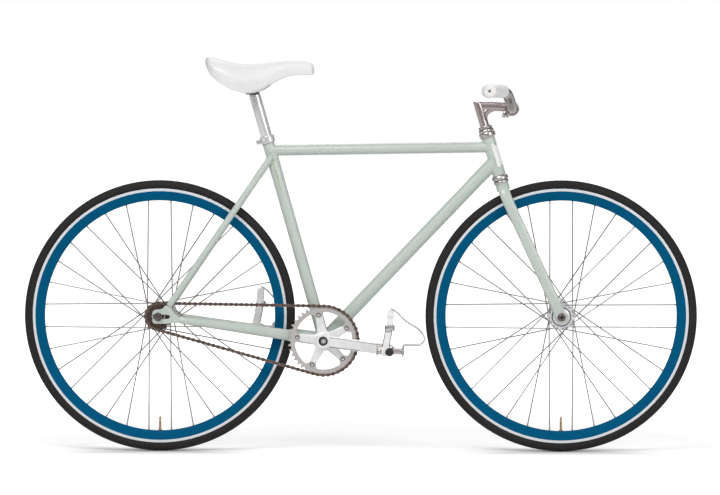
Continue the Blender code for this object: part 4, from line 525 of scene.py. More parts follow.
class Shader:
    """A material's node tree, with short calls to add and join nodes."""

    def __init__(self, name: str) -> None:
        """Start a material with a Principled shader.

        Args:
            name: the material's name.
        """
        self.material = bpy.data.materials.new(name)
        self.material.use_nodes = True
        self.tree = self.material.node_tree
        self.shader = self.tree.nodes["Principled BSDF"]

    def node(self, kind: str, sockets: dict | None = None,
             **values: object) -> bpy.types.Node:
        """Add a node.

        Args:
            kind: the node's type without its ShaderNode prefix.
            sockets: inputs by name or number, each an output to join to it
                or a constant.
            values: the node's properties.

        Returns:
            The new node.
        """
        node = self.tree.nodes.new("ShaderNode" + kind)
        for name, value in values.items():
            setattr(node, name, value)
        for name, value in (sockets or {}).items():
            if isinstance(value, Socket):
                self.tree.links.new(value, node.inputs[name])
            else:
                node.inputs[name].default_value = value
        return node

    def feed(self, name: str, source: Socket) -> None:
        """Join an output to an input of the Principled shader."""
        self.tree.links.new(source, self.shader.inputs[name])

    def set(self, **values: float) -> None:
        """Set sockets of the Principled shader by their snake-case names."""
        for name, value in values.items():
            self.shader.inputs[name.replace("_", " ").title().replace(
                "Ior", "IOR")].default_value = value

    def places(self, centre: Triple | None = None,
               scale: Triple = (1.0, 1.0, 1.0)) -> Socket:
        """Object coordinates, less a centre and then stretched.

        Args:
            centre: place that becomes the pattern's middle.
            scale: stretch along each axis.

        Returns:
            The vector output.
        """
        spot = self.node("TexCoord").outputs["Object"]
        if centre is not None:
            spot = self.node("VectorMath", {0: spot, 1: tuple(centre)},
                             operation="SUBTRACT").outputs["Vector"]
        return self.node("Mapping", {"Vector": spot, "Scale": scale},
                         vector_type="POINT").outputs["Vector"]

    def noise(self, vector: Socket, scale: float, detail: float = 3.0,
              roughness: float = 0.5) -> Socket:
        """Fractal noise at a place, as a number about 0.5.

        Args:
            vector: the place to read.
            scale: how fine it is.
            detail: number of finer layers.
            roughness: weight of the finer layers.

        Returns:
            The output that carries it.
        """
        return self.node("TexNoise", {
            "Scale": scale, "Detail": detail, "Roughness": roughness,
            "Vector": vector}).outputs["Fac"]

    def cells(self, vector: Socket, scale: float) -> Socket:
        """Distance to the nearest point of a random scatter."""
        return self.node("TexVoronoi", {"Scale": scale, "Vector": vector}
                         ).outputs["Distance"]

    def spread(self, source: Socket, low: float, high: float,
               first: float = 0.3, last: float = 0.7) -> Socket:
        """Number re-mapped from first..last to low..high, and clamped.

        Args:
            source: the number.
            low: result at first.
            high: result at last.
            first: number that gives low.
            last: number that gives high.

        Returns:
            The output that carries it.
        """
        return self.node("MapRange", {
            "Value": source, "From Min": first, "From Max": last,
            "To Min": low, "To Max": high}, clamp=True).outputs["Result"]

    def mixed(self, share: Socket, first: Triple, second: Triple) -> Socket:
        """Colour between two others, by a share from 0 to 1.

        Args:
            share: the share of the second colour.
            first: colour at 0.
            second: colour at 1.

        Returns:
            The output that carries it.
        """
        return self.node("Mix", {0: share, 6: (*first, 1.0),
                                 7: (*second, 1.0)}, data_type="RGBA",
                         clamp_factor=True).outputs[2]

    def combined(self, operation: str, first: Socket,
                 second: Socket | float) -> Socket:
        """Result of a Math node on one number and another."""
        return self.node("Math", {0: first, 1: second},
                         operation=operation).outputs[0]

    def bump(self, height: Socket, strength: float, distance: float) -> None:
        """Raise the surface by a height, on top of any earlier bump.

        Args:
            height: the height to raise by.
            strength: how much of it shows.
            distance: height in metres at 1.
        """
        node = self.node("Bump", {"Strength": strength, "Distance": distance,
                                  "Height": height})
        normal = self.shader.inputs["Normal"]
        if normal.is_linked:
            self.tree.links.new(normal.links[0].from_socket,
                                node.inputs["Normal"])
        self.feed("Normal", node.outputs["Normal"])


@dataclass(frozen=True)
class Coating:
    """Painted, moulded, tanned or blackened skin, clouded and grained.

    Attributes:
        colour: colour at one end of the cloud.
        shade: colour at the other end.
        rough: roughness at both ends.
        cloud: scale, detail and roughness of the cloud's noise.
        ends: the noise's values at which the cloud ends.
        grain: scale, strength and depth of the raised grain.
        pebbled: makes the grain of cells in place of noise.
        creased: adds soft creases.
        hazed: takes the gloss from a noise of its own.
        constants: the shader's other sockets and their values.
    """

    colour: Triple
    shade: Triple
    rough: tuple[float, float] = (0.36, 0.52)
    cloud: Triple = (90.0, 4.0, 0.5)
    ends: tuple[float, float] = (0.3, 0.7)
    grain: Triple = (1200.0, 0.06, 0.0001)
    pebbled: bool = False
    creased: bool = False
    hazed: bool = False
    constants: tuple[tuple[str, float], ...] = ()

    def material(self, name: str) -> bpy.types.Material:
        """Skin whose tone follows a cloud, and its gloss too or a haze.

        Args:
            name: the material's name.

        Returns:
            The material.
        """
        shader = Shader(name)
        places = shader.places()
        cloud = shader.noise(places, *self.cloud)
        shader.feed("Base Color", shader.mixed(
            shader.spread(cloud, 0.0, 1.0, *self.ends), self.colour,
            self.shade))
        haze = shader.noise(places, 25.0, 2.0) if self.hazed else cloud
        shader.feed("Roughness", shader.spread(haze, *self.rough))
        scale, strength, depth = self.grain
        shader.bump(shader.cells(places, scale) if self.pebbled
                    else shader.noise(places, scale, 2.0), strength, depth)
        if self.creased:
            shader.bump(shader.noise(places, 160.0, 4.0), 0.15, 0.0005)
        shader.set(**dict(self.constants))
        return shader.material


@dataclass(frozen=True)
class PolishedMetal:
    """Buffed metal with hairline scratches and faint handling marks."""

    colour: Triple = (0.83, 0.83, 0.84)
    gloss: Gloss = Gloss.POLISHED
    grain: Triple = (40.0, 900.0, 900.0)
    anisotropic: float = 0.3
    metallic: float = 1.0

    def material(self, name: str) -> bpy.types.Material:
        """Metal whose hairlines run along the grain's smallest scale.

        Args:
            name: the material's name.

        Returns:
            The material.
        """
        shader = Shader(name)
        hairs = shader.noise(shader.places(scale=self.grain), 1.0, 2.0, 0.6)
        marks = shader.noise(shader.places(), 45.0, 5.0, 0.65)
        both = shader.combined("ADD", shader.combined("MULTIPLY", hairs, 0.6),
                               shader.combined("MULTIPLY", marks, 0.4))
        low = self.gloss.value
        shader.feed("Roughness", shader.spread(both, low - 0.05, low + 0.09))
        shader.feed("Base Color", shader.mixed(
            shader.spread(marks, 0.0, 1.0, 0.42, 0.75), self.colour,
            tuple(c * 0.86 for c in self.colour)))
        shader.bump(hairs, 0.010, 0.0001)
        shader.set(metallic=self.metallic, anisotropic=self.anisotropic)
        return shader.material


@dataclass(frozen=True)
class TurnedMetal:
    """Metal faced on a lathe: fine rings about an axle."""

    centre: Triple
    colour: Triple = (0.80, 0.80, 0.81)
    gloss: Gloss = Gloss.SATIN
    pitch: float = 0.0009
    metallic: float = 1.0

    def material(self, name: str) -> bpy.types.Material:
        """Rings whose tone and roughness change with the radius.

        Args:
            name: the material's name.

        Returns:
            The material.
        """
        shader = Shader(name)
        radius = shader.node("VectorMath", {
            0: shader.places(self.centre, (1.0, 0.0, 1.0))},
            operation="LENGTH").outputs["Value"]
        line = shader.node("TexNoise", {
            "W": shader.combined("MULTIPLY", radius, 1.0 / self.pitch),
            "Scale": 1.0, "Detail": 2.0}, noise_dimensions="1D"
            ).outputs["Fac"]
        low = self.gloss.value
        shader.feed("Roughness", shader.spread(line, low - 0.06, low + 0.10))
        shader.feed("Base Color", shader.mixed(
            line, self.colour, tuple(c * 0.82 for c in self.colour)))
        shader.bump(line, 0.12, 0.0001)
        shader.set(metallic=self.metallic)
        return shader.material


# Grain that is alike in every direction
EVEN = (300.0, 300.0, 300.0)


@dataclass(frozen=True)
class Finishes:
    """The bicycle's finishes by what they cover."""

    frame: Coating = Coating(
        (0.580, 0.650, 0.593), (0.564, 0.634, 0.577), (0.245, 0.285),
        (9.0, 2.0, 0.5), grain=(900.0, 0.004, 0.0001), hazed=True,
        constants=(("coat_weight", 0.30), ("coat_roughness", 0.12),
                   ("ior", 1.45)))
    rim: Coating = replace(
        frame, colour=(0.000, 0.104, 0.230), shade=(0.000, 0.095, 0.210),
        rough=(0.485, 0.525),
        constants=(("coat_roughness", 0.12), ("ior", 1.45),
                   ("specular_ior_level", 0.04)))
    plate: Coating = replace(frame, colour=(0.93, 0.93, 0.92),
                             shade=(0.90, 0.90, 0.89), rough=(0.385, 0.425))
    tyre: Coating = Coating(
        (0.014, 0.012, 0.012), (0.024, 0.021, 0.020), (0.62, 0.78),
        (30.0, 5.0, 0.6), grain=(1400.0, 0.10, 0.0002),
        constants=(("specular_ior_level", 0.25),))
    vinyl: Coating = Coating(
        (0.88, 0.88, 0.875), (0.84, 0.84, 0.835), (0.35, 0.48),
        (18.0, 3.0, 0.5), grain=(1300.0, 0.10, 0.0002), pebbled=True,
        constants=(("coat_weight", 0.12), ("coat_roughness", 0.25)))
    grip: Coating = replace(
        vinyl, colour=(0.92, 0.91, 0.91), shade=(0.88, 0.87, 0.87),
        rough=(0.45, 0.58), grain=(1600.0, 0.10, 0.0002))
    leather: Coating = Coating(
        (0.92, 0.92, 0.91), (0.86, 0.855, 0.845), (0.45, 0.68),
        (70.0, 5.0, 0.6), (0.45, 0.8), (1100.0, 0.20, 0.0002), True, True)
    dark: Coating = Coating(
        (0.055, 0.040, 0.034), (0.19, 0.14, 0.115), (0.53, 0.33),
        (240.0, 4.0, 0.6), (0.40, 0.72), (1500.0, 0.08, 0.0001),
        constants=(("metallic", 0.85),))
    nut: Coating = replace(dark, colour=(0.110, 0.085, 0.078),
                           shade=(0.33, 0.28, 0.26), rough=(0.40, 0.20))
    chain: Coating = replace(nut, colour=(0.125, 0.086, 0.072),
                             shade=(0.36, 0.27, 0.235))
    black: Coating = Coating((0.02, 0.02, 0.022), (0.029, 0.029, 0.0315))
    shell: Coating = Coating((0.70, 0.70, 0.69), (0.879, 0.879, 0.8665),
                             (0.34, 0.50))
    blue_ring: Coating = Coating((0.010, 0.022, 0.075),
                                 (0.0165, 0.0315, 0.09775), (0.29, 0.45))
    # Dark brown of the grips' open ends: painted shade in the holes.
    hole: Coating = Coating((0.16, 0.10, 0.06), (0.204, 0.129, 0.079),
                            (0.54, 0.70))
    alloy: PolishedMetal = PolishedMetal(metallic=0.55)
    warm_alloy: PolishedMetal = PolishedMetal((0.66, 0.61, 0.60),
                                              metallic=0.85)
    stem: PolishedMetal = PolishedMetal((0.53, 0.455, 0.445))
    bar: PolishedMetal = PolishedMetal((0.42, 0.40, 0.39))
    headset: PolishedMetal = PolishedMetal((0.60, 0.57, 0.56))
    satin: PolishedMetal = PolishedMetal((0.96, 0.96, 0.97), Gloss.SATIN,
                                         metallic=0.20)
    bright: PolishedMetal = PolishedMetal((0.86, 0.86, 0.87), Gloss.MIRROR,
                                          (400.0, 400.0, 400.0), 0.0)
    steel: PolishedMetal = PolishedMetal((0.60, 0.60, 0.61), Gloss.SATIN)
    wire: PolishedMetal = PolishedMetal((0.62, 0.61, 0.60), Gloss.SATIN,
                                        metallic=0.5)
    spoke: PolishedMetal = PolishedMetal((0.30, 0.275, 0.265), Gloss.SATIN,
                                         EVEN, 0.0, 0.5)
    brass: PolishedMetal = PolishedMetal((0.52, 0.33, 0.16), Gloss.SATIN,
                                         EVEN, 0.0)
    gold: PolishedMetal = PolishedMetal((0.66, 0.48, 0.20), Gloss.SATIN,
                                        (200.0, 200.0, 200.0), 0.0)


class Workshop:
    """Makes pieces from surfaces and keeps one material for each finish."""

    def __init__(self, frame: dict) -> None:
        """Keep the CAD frame and an empty store of materials.
        """
        self.frame = frame
        self.finishes = Finishes()
        self._materials: dict[str, bpy.types.Material] = {}

    def material(self, finish: str) -> bpy.types.Material:
        """The material of a finish, made the first time it is asked for.

        Args:
            finish: the finish's name.

        Returns:
            The material.
        """
        if finish not in self._materials:
            self.custom(finish, getattr(self.finishes, finish))
        return self._materials[finish]

    def custom(self, name: str, finish: TurnedMetal) -> None:
        """Store a material under a name."""
        self._materials[name] = finish.material(name + "_finish")

    def piece(self, name: str, surfaces: Surface | Sequence[Surface],
              finish: str, body: str, slot: str,
              replaces: Sequence[str] = (), sharp: float = 38.0
              ) -> bpy.types.Object:
        """Make a piece, dress it and let it ride on a CAD body.

        Args:
            name: the piece's name.
            surfaces: one surface, or several that make one piece.
            finish: a field of Finishes, or a custom finish's name.
            body: the CAD body that it moves with.
            slot: the record's material slot; not used.
            replaces: CAD nodes that it stands for.
            sharp: crease angle in degrees, above which an edge stays hard.

        Returns:
            The new object.
        """
        if not isinstance(surfaces, Surface):
            surfaces = merged(list(surfaces))
        mesh = bpy.data.meshes.new(name)
        faces = surfaces.quads.tolist() + surfaces.tris.tolist()
        mesh.from_pydata(surfaces.points.tolist(), [], faces)
        bm = bmesh.new()
        bm.from_mesh(mesh)
        bmesh.ops.remove_doubles(bm, verts=bm.verts, dist=1e-6)
        bmesh.ops.recalc_face_normals(bm, faces=bm.faces)
        if bm.calc_volume(signed=True) < 0.0:
            bmesh.ops.reverse_faces(bm, faces=bm.faces)
        bm.to_mesh(mesh)
        bm.free()
        mesh.shade_smooth()
        mesh.set_sharp_from_angle(angle=math.radians(sharp))
        mesh.materials.append(self.material(finish))
        item = bpy.data.objects.new(name, mesh)
        bpy.context.scene.collection.objects.link(item)
        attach(item, body)
        if replaces:
            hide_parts(*replaces)
        LOG.info("%s: %d faces on %s", name, len(faces), body)
        return item

    def dress(self, finish: str, *nodes: str) -> None:
        """Give CAD nodes a finish.

        Args:
            finish: a field of Finishes.
            nodes: names of the CAD nodes.
        """
        for node in nodes:
            item = self.frame["nodes"][node]
            item.data.materials.clear()
            item.data.materials.append(self.material(finish))


# Wheels

@dataclass
class Wheel:
    """Tyre, deep rim, inner tube with its valve, hub and laced spokes."""

    end: End
    axle: Array
    flanges: tuple[float, float]
    hub_half: float
    tyre_radius: float = 0.334
    tyre_half: float = 0.01175
    rim_radius: float = 0.3138
    rim_half: float = 0.00975
    rim_depth: float = 0.0298
    rim_wall: float = 0.0017
    rim_well: float = 0.0052
    brake_track: float = 0.0080
    bed_half: float = 0.0037
    valve_radius: float = 0.0027
    valve_length: float = 0.036
    spokes: int = 32
    crosses: int = 3
    spoke_radius: float = 0.0015
    spoke_circle: float = 0.030
    flange_radius: float = 0.0335
    flange_half: float = 0.0017
    barrel_radius: float = 0.0155
    neck_radius: float = 0.0160
    nipple_radius: float = 0.0019
    nipple_length: float = 0.0125

    @property
    def body(self) -> str:
        """The CAD body that the wheel is."""
        return f"{self.end.value}_wheel"

    def build(self, shop: Workshop) -> None:
        """Make every piece of the wheel.

        Args:
            shop: the workshop that makes the pieces.
        """
        name = self.end.value
        centre = tuple(self.axle)
        shop.custom(name + "_track", TurnedMetal(
            centre, (0.90, 0.92, 0.95), Gloss.DULL, 0.0010, 0.4))
        shop.custom(name + "_hub_face", TurnedMetal(
            centre, (0.86, 0.86, 0.87), Gloss.SATIN, 0.0012, 0.4))
        alloy = "polished_alloy"
        for piece, shape, finish, slot, node, sharp in (
                ("tyre_casing", self.tyre(), "tyre", "tyre_rubber", "tyre",
                 30),
                ("rim_hoop", self.rim(), "rim", "rim_blue", "rim", 25),
                ("brake_tracks", self.tracks(), name + "_track", "rim_blue",
                 None, 38),
                ("hub_shell", self.hub(), name + "_hub_face", alloy,
                 "hub_and_spokes", 38),
                ("flange_rings", self.flange_rings(), "blue_ring", alloy,
                 None, 38),
                ("spokes", self.spoke_set(), "spoke", alloy, None, 38),
                ("nipples", self.nipples(), "spoke", alloy, None, 38),
                ("valve", self.valve(), "brass", "tube_rubber", "inner_tube",
                 38)):
            shop.piece(f"{name}_{piece}", shape, finish, self.body, slot,
                       [f"{name}_{node}"] if node else [], sharp)

    def about(self, corners: Sequence[tuple[float, float]], edge: float,
              steps: int, closed: bool = True) -> Surface:
        """Turn (radius, y) corners about the axle, with softened edges."""
        return turned(rounded(corners, edge, closed, 3), self.axle, Y_AXIS,
                      steps, closed)

    def tyre(self) -> Surface:
        """Round casing whose section is an arc that ends in two beads.

        The arc's point at angle a from the outward way lies at the section's
        centre + half width times (cos a, sin a); a ridge 0.3 mm high marks
        the edge of the tread at 47 degrees.

        Returns:
            The surface.
        """
        centre = self.tyre_radius - self.tyre_half
        limit = math.acos((self.rim_radius + 0.0003 - centre)
                          / self.tyre_half)
        angle = np.linspace(-limit, limit, 45)
        ridge = np.abs(np.abs(angle) - math.radians(47.0))
        reach = self.tyre_half - 0.0003 * np.clip(
            1.0 - ridge / 0.06, 0.0, 1.0)
        outer = np.stack([centre + reach * np.cos(angle),
                          reach * np.sin(angle)], axis=1)
        bead = self.rim_half - self.rim_wall - 0.0003
        foot = self.rim_radius - self.rim_well + 0.0004
        hook = self.rim_radius + 0.0003
        inner = self.tyre_half - 0.0016
        back = np.linspace(2.0, -2.0, 17)
        hollow = np.stack([centre + inner * np.cos(back),
                           inner * np.sin(back)], axis=1)
        outline = np.vstack([outer, [(hook, bead), (foot, bead),
                                     (foot, bead - 0.002)], hollow,
                             [(foot, 0.002 - bead), (foot, -bead),
                              (hook, -bead)]])
        return turned(outline, self.axle, Y_AXIS, 144, True)

    def rim(self) -> Surface:
        """Deep hoop: well for the tyre, upright sides, then a narrowing V.

        Returns:
            The surface.
        """
        half, wall = self.rim_half, self.rim_wall
        well = self.rim_radius - self.rim_well
        bed = self.rim_radius - self.rim_depth
        track = self.rim_radius - self.brake_track
        corners = [(self.rim_radius, -half), (self.rim_radius, wall - half),
                   (well, wall - half), (well, half - wall),
                   (self.rim_radius, half - wall), (self.rim_radius, half),
                   (track, half), (bed, self.bed_half),
                   (bed, -self.bed_half), (track, -half)]
        return self.about(corners, 0.0009, 180)

    def tracks(self) -> Surface:
        """Two machined bands, a hair proud of the rim's upright sides.

        Returns:
            The surface.
        """
        top = self.rim_radius - 0.0004
        low = self.rim_radius - self.brake_track + 0.0012
        face = self.rim_half + 0.00012
        band = self.about([(low, face - 0.0004), (top, face - 0.0004),
                           (top, face), (low, face)], 0.00008, 180)
        return merged([band, band.mirrored()])

    def hub(self) -> Surface:
        """Polished shell with two high flanges on fillets.

        Returns:
            The surface.
        """
        low, high = self.flanges
        web, end = self.flange_half, self.hub_half
        neck, barrel = self.neck_radius, self.barrel_radius
        corners = [(0.0130, -end), (neck, -end), (neck, low - web - 0.0015),
                   (neck + 0.004, low - web), (self.flange_radius, low - web),
                   (self.flange_radius, low + web),
                   (barrel + 0.007, low + web), (barrel, low + web + 0.006),
                   (barrel, high - web - 0.006), (barrel + 0.007, high - web),
                   (self.flange_radius, high - web),
                   (self.flange_radius, high + web),
                   (neck + 0.004, high + web), (neck, high + web + 0.0015),
                   (neck, end), (0.0130, end)]
        return self.about(corners, 0.0012, 96)

    def flange_rings(self) -> Surface:
        """Thin dark blue band set into the outer face of each flange.

        Returns:
            The surface.
        """
        rings = []
        for flange, side in zip(self.flanges, (-1.0, 1.0)):
            face = flange + side * self.flange_half
            low, high = sorted((face - side * 0.0003, face + side * 0.00012))
            rings.append(self.about([(0.0215, low), (0.0238, low),
                                     (0.0238, high), (0.0215, high)],
                                    0.00006, 96))
        return merged(rings)

    def lacing(self) -> list[tuple[Array, Array, float]]:
        """Both ends of every spoke, and the side its head is on.

        Spoke k meets the rim at k + 1/2 steps.  Its flange alternates along
        the rim, and it leads or trails by three crossings in turn.

        Returns:
            For each spoke its start, its end and its head's side.
        """
        step = TAU / self.spokes
        bed = self.rim_radius - self.rim_depth
        result = []
        for k in range(self.spokes):
            rim_angle = step * (k + 0.5)
            flange = self.flanges[k % 2]
            lead = 1.0 - 2.0 * (k // 2 % 2)
            hub_angle = rim_angle + lead * self.crosses * 2 * step
            outside = math.copysign(1.0, flange) * lead
            start = self.axle + self.spoke_circle * spin(hub_angle) \
                + (flange + outside * (self.flange_half + 0.0010)) * Y_AXIS
            end = self.axle + bed * spin(rim_angle)
            result.append((start, end, outside))
        return result

    def spoke_set(self) -> Surface:
        """Round spokes, each with an elbow through the flange and a head.

        Returns:
            The surface.
        """
        parts = []
        for start, end, outside in self.lacing():
            way = (end - start) / np.linalg.norm(end - start)
            through = np.array([0.0, -outside, 0.0])
            back = start + through * (2 * self.flange_half + 0.0018)
            path = np.vstack([back, start + through * 0.0016,
                              start + way * 0.0004, start + way * 0.0030,
                              end])
            across = np.cross(way, through)
            parts.append(swept(path, circle(self.spoke_radius, 8),
                               across / np.linalg.norm(across)))
            parts.append(lathe([(0.0, 0.0), (0.0019, 0.0), (0.0019, 0.0007),
                                (0.0008, 0.0015), (0.0, 0.0015)],
                               back - through * 0.0005, through, 10, 0.0004))
        return merged(parts)

    def nipples(self) -> Surface:
        """Small waisted sleeves where the spokes enter the rim's bed.

        Returns:
            The surface.
        """
        parts = []
        radius, length = self.nipple_radius, self.nipple_length
        for start, end, _ in self.lacing():
            way = (end - start) / np.linalg.norm(end - start)
            foot = end - way * (length - 0.0005)
            profile = [(0.0, 0.0), (radius * 0.72, 0.0),
                       (radius * 0.78, length * 0.55),
                       (radius, length * 0.62), (radius, length),
                       (0.0, length)]
            parts.append(lathe(profile, foot, way, 8, 0.0003))
        return merged(parts)

    def valve(self) -> Surface:
        """Slim brass stem with a locking ring, a waist and a round tip.

        Returns:
            The surface.
        """
        root = self.axle - Z_AXIS * (self.rim_radius - self.rim_depth + 0.004)
        r, length = self.valve_radius, self.valve_length + 0.004
        corners = [(0.0, 0.0), (r, 0.0), (r, 0.0045), (r + 0.0022, 0.0045),
                   (r + 0.0022, 0.0068), (r, 0.0068), (r, length - 0.0125),
                   (r * 0.72, length - 0.0112), (r * 0.72, length - 0.0085),
                   (r * 0.92, length - 0.0075), (r * 0.92, length - 0.0035),
                   (r * 0.42, length - 0.0028), (r * 0.42, length),
                   (0.0, length)]
        return lathe(corners, root, Z_AXIS, 20, 0.0004)


@dataclass
class AxleEnds:
    """Axles, front bolts, track nuts and their washers."""

    front_face: float = 0.0561
    rear_face: float = 0.0661

    def build(self, shop: Workshop) -> None:
        """Make the hardware that shows at both ends of both axles.

        Args:
            shop: the workshop that makes the pieces.
        """
        for side in Side:
            y = Y_AXIS * side.value
            self.front(shop, side, y)
            self.rear(shop, side, y)
        shop.dress("nut", "front_axle", "rear_axle")

    def front(self, shop: Workshop, side: Side, y: Array) -> None:
        """Domed bolt head with a hexagon socket, on a dark washer; a black
        disc of painted shade lies at the socket's foot.

        Args:
            shop: the workshop that makes the pieces.
            side: the side that the part is on.
            y: unit vector outwards on that side.
        """
        origin = FRONT_AXLE + y * self.front_face
        head = lathe([(0.0049, 0.0), (0.0102, 0.0), (0.0100, 0.0016),
                      (0.0078, 0.0022), (0.0074, 0.0098), (0.0058, 0.0110),
                      (0.0049, 0.0105), (0.0049, 0.0045)], origin, y, 48,
                     0.0006, True)
        # Black disc of painted shade at the bottom of the hexagon socket.
        floor = turned(np.array([(1e-6, 0.0040), (0.0050, 0.0040),
                                 (0.0050, 0.0045), (1e-6, 0.0045)]), origin,
                       y, 24)
        socket = self.socket(origin + y * 0.0040, y, 0.0031, 0.0049, 0.0060)
        shop.piece(f"front_bolt_head_{side.word}", [head, socket], "nut",
                   "fork", "steel", [f"front_axle_bolt_{side.word}"])
        shop.piece(f"front_bolt_floor_{side.word}", floor, "black", "fork",
                   "steel")

    def socket(self, origin: Array, direction: Array, flat: float,
               radius: float, depth: float) -> Surface:
        """Ring with a hexagonal hole: a hexagon drawn to a circle.

        Args:
            origin: middle of the ring's foot.
            direction: unit vector out of the hole.
            flat: distance from the middle to a flat.
            radius: outer radius.
            depth: how deep the hole is.

        Returns:
            The surface.
        """
        steps = 72
        inner = polygon(6, flat, steps)
        ring = compass(*side_frame(direction), steps)
        rows = np.stack([
            origin + ring * radius,
            origin + ring * radius + direction * (depth + 0.0003),
            origin + ring * (inner + 0.0004)[:, None]
            + direction * (depth + 0.0003),
            origin + ring * inner[:, None] + direction * depth,
            origin + ring * inner[:, None]], axis=0)
        return skinned(rows, closed=True)

    def rear(self, shop: Workshop, side: Side, y: Array) -> None:
        """Hexagonal track nut on a round washer, with the axle's end.

        Args:
            shop: the workshop that makes the pieces.
            side: the side that the part is on.
            y: unit vector outwards on that side.
        """
        origin = REAR_AXLE + y * self.rear_face
        washer = lathe([(0.0052, 0.0), (0.0104, 0.0), (0.0104, 0.0016),
                        (0.0052, 0.0016)], origin, y, 48, 0.0003, True)
        steps = 96
        hexagon = polygon(6, 0.0076, steps)
        ring = compass(*side_frame(y), steps)
        rows = [origin + y * height
                + ring * np.minimum(hexagon, limit)[:, None]
                for height, limit in ((0.0017, 0.0083), (0.0022, 0.0088),
                                      (0.0078, 0.0088), (0.0085, 0.0080),
                                      (0.0085, 0.0056), (0.0078, 0.0052),
                                      (0.0017, 0.0052))]
        nut = skinned(np.array(rows), closed=True)
        shop.piece(f"track_nut_{side.word}", [washer, nut], "nut", "frame",
                   "steel", [f"rear_axle_nut_{side.word}"])


# Chain, sprockets and cranks

@dataclass
class Chain:
    """Half-inch chain: rollers, pins, and plates in pairs, all round."""

    pitch: float = 0.0127
    links: int = 94
    ring_teeth: int = 42
    cog_teeth: int = 16
    lobe: float = 0.0045
    waist: float = 0.0026
    inner_face: float = 0.0021
    plate: float = 0.0011
    roller_radius: float = 0.0039
    pin_radius: float = 0.0018
    pin_half: float = 0.0049

    def build(self, shop: Workshop) -> None:
        """Make the links as one piece, and the rollers as another.

        Args:
            shop: the workshop that makes the pieces.
        """
        pins = self.pins()
        plates, rollers = self.plates(pins), self.rollers(pins)
        shop.piece("chain_plates", plates, "chain", "frame", "chain_steel",
                   ["chain"], 30)
        shop.piece("chain_rollers", rollers, "dark", "frame", "chain_steel")

    def radius(self, teeth: int) -> float:
        """Radius of a sprocket's pitch circle."""
        return self.pitch / (2 * math.sin(math.pi / teeth))

    def stretches(self) -> Triple:
        """Angle of the ring's upper tangent, and two lengths in links.

        Returns:
            The angle, the straight length and the ring's length.
        """
        gap = BRACKET - REAR_AXLE
        distance = float(np.linalg.norm(gap))
        lean = math.asin((self.radius(self.ring_teeth)
                          - self.radius(self.cog_teeth)) / distance)
        straight = distance * math.cos(lean) / self.pitch
        around = self.ring_teeth * (math.pi + 2 * lean) / TAU
        top = math.atan2(gap[2], gap[0]) + math.pi / 2 + lean
        return top, straight, around

    def pins(self) -> Array:
        """Places of all pins, counted from the ring's upper tangent.

        They run down round the ring, along the lower straight, up round the
        cog and back along the upper straight; each stretch is worked out
        for every pin, and the one that the pin is on is kept.

        Returns:
            (links, 3) array of places.
        """
        top, straight, around = self.stretches()
        ring_r = self.radius(self.ring_teeth)
        cog_r = self.radius(self.cog_teeth)
        foot = top - around * TAU / self.ring_teeth
        ring_low, ring_top = (BRACKET + ring_r * spin(a) for a in (foot, top))
        cog_low, cog_top = (REAR_AXLE + cog_r * spin(a) for a in (foot, top))
        link = np.arange(self.links, dtype=float)
        a = link - around
        b = a - straight
        c = b - (self.links - 2 * straight - around)
        stretches = [
            BRACKET + ring_r * spin(top - link * TAU / self.ring_teeth),
            ring_low + (cog_low - ring_low) * (a / straight)[:, None],
            REAR_AXLE + cog_r * spin(foot - b * TAU / self.cog_teeth),
            cog_top + (ring_top - cog_top) * (c / straight)[:, None]]
        which = (a > 0).astype(int) + (b > 0) + (c > 0)
        return np.stack(stretches)[which, np.arange(self.links)] \
            - Y_AXIS * CHAIN_LINE

    def plate_outline(self) -> Array:
        """Two round lobes one pitch apart, joined through a waist.

        Returns:
            (n, 2) array of points, counter-clockwise.
        """
        left = self.lobe * spin(np.radians(
            np.linspace(55.0, 305.0, 10)))[:, ::2]
        right = np.stack([self.pitch - left[:, 0], -left[:, 1]], axis=1)
        middle = self.pitch / 2
        return np.vstack([left, [(middle, -self.waist)], right,
                          [(middle, self.waist)]])

    def plates(self, pins: Array) -> Surface:
        """Both plates of every link, outer and inner links by turns.

        A plate's ring of points is its outline, carried from pin to pin: x
        along the link and z away from the sprockets.

        Args:
            pins: (links, 3) array of places.

        Returns:
            The surface.
        """
        outline = self.plate_outline()
        following = np.roll(pins, -1, axis=0)
        along = (following - pins) / self.pitch
        away = np.cross(along, Y_AXIS)
        parts = []
        middle = np.array([self.pitch / 2, 0.0])
        for k in range(self.links):
            near = self.inner_face + (self.plate + 0.00005) * (k % 2)
            for side in (-1.0, 1.0):
                rings = []
                for depth, size in ((0.0, 1.0), (self.plate * 0.75, 1.0),
                                    (self.plate, 0.93)):
                    flat = middle + (outline - middle) * size
                    rings.append(
                        pins[k] + flat[:, :1] * along[k]
                        + flat[:, 1:] * away[k]
                        + side * (near + depth) * Y_AXIS)
                ring_set = np.array(rings)
                if side > 0:
                    ring_set = ring_set[:, ::-1]
                parts.append(skinned(ring_set))
        return merged(parts)

    def rollers(self, pins: Array) -> Surface:
        """A roller on every pin, and the pin's two riveted ends.

        Args:
            pins: (links, 3) array of places.

        Returns:
            The surface.
        """
        parts = []
        for pin in pins:
            for radius, end, half, edge, steps in (
                    (self.roller_radius, 0.94, self.inner_face, 0.0003, 14),
                    (self.pin_radius, 0.8, self.pin_half, 0.0004, 10)):
                parts.append(turned(np.array([
                    (1e-6, -half), (radius * end, -half),
                    (radius, edge - half), (radius, half - edge),
                    (radius * end, half), (1e-6, half)]), pin, Y_AXIS,
                    steps))
        return merged(parts)


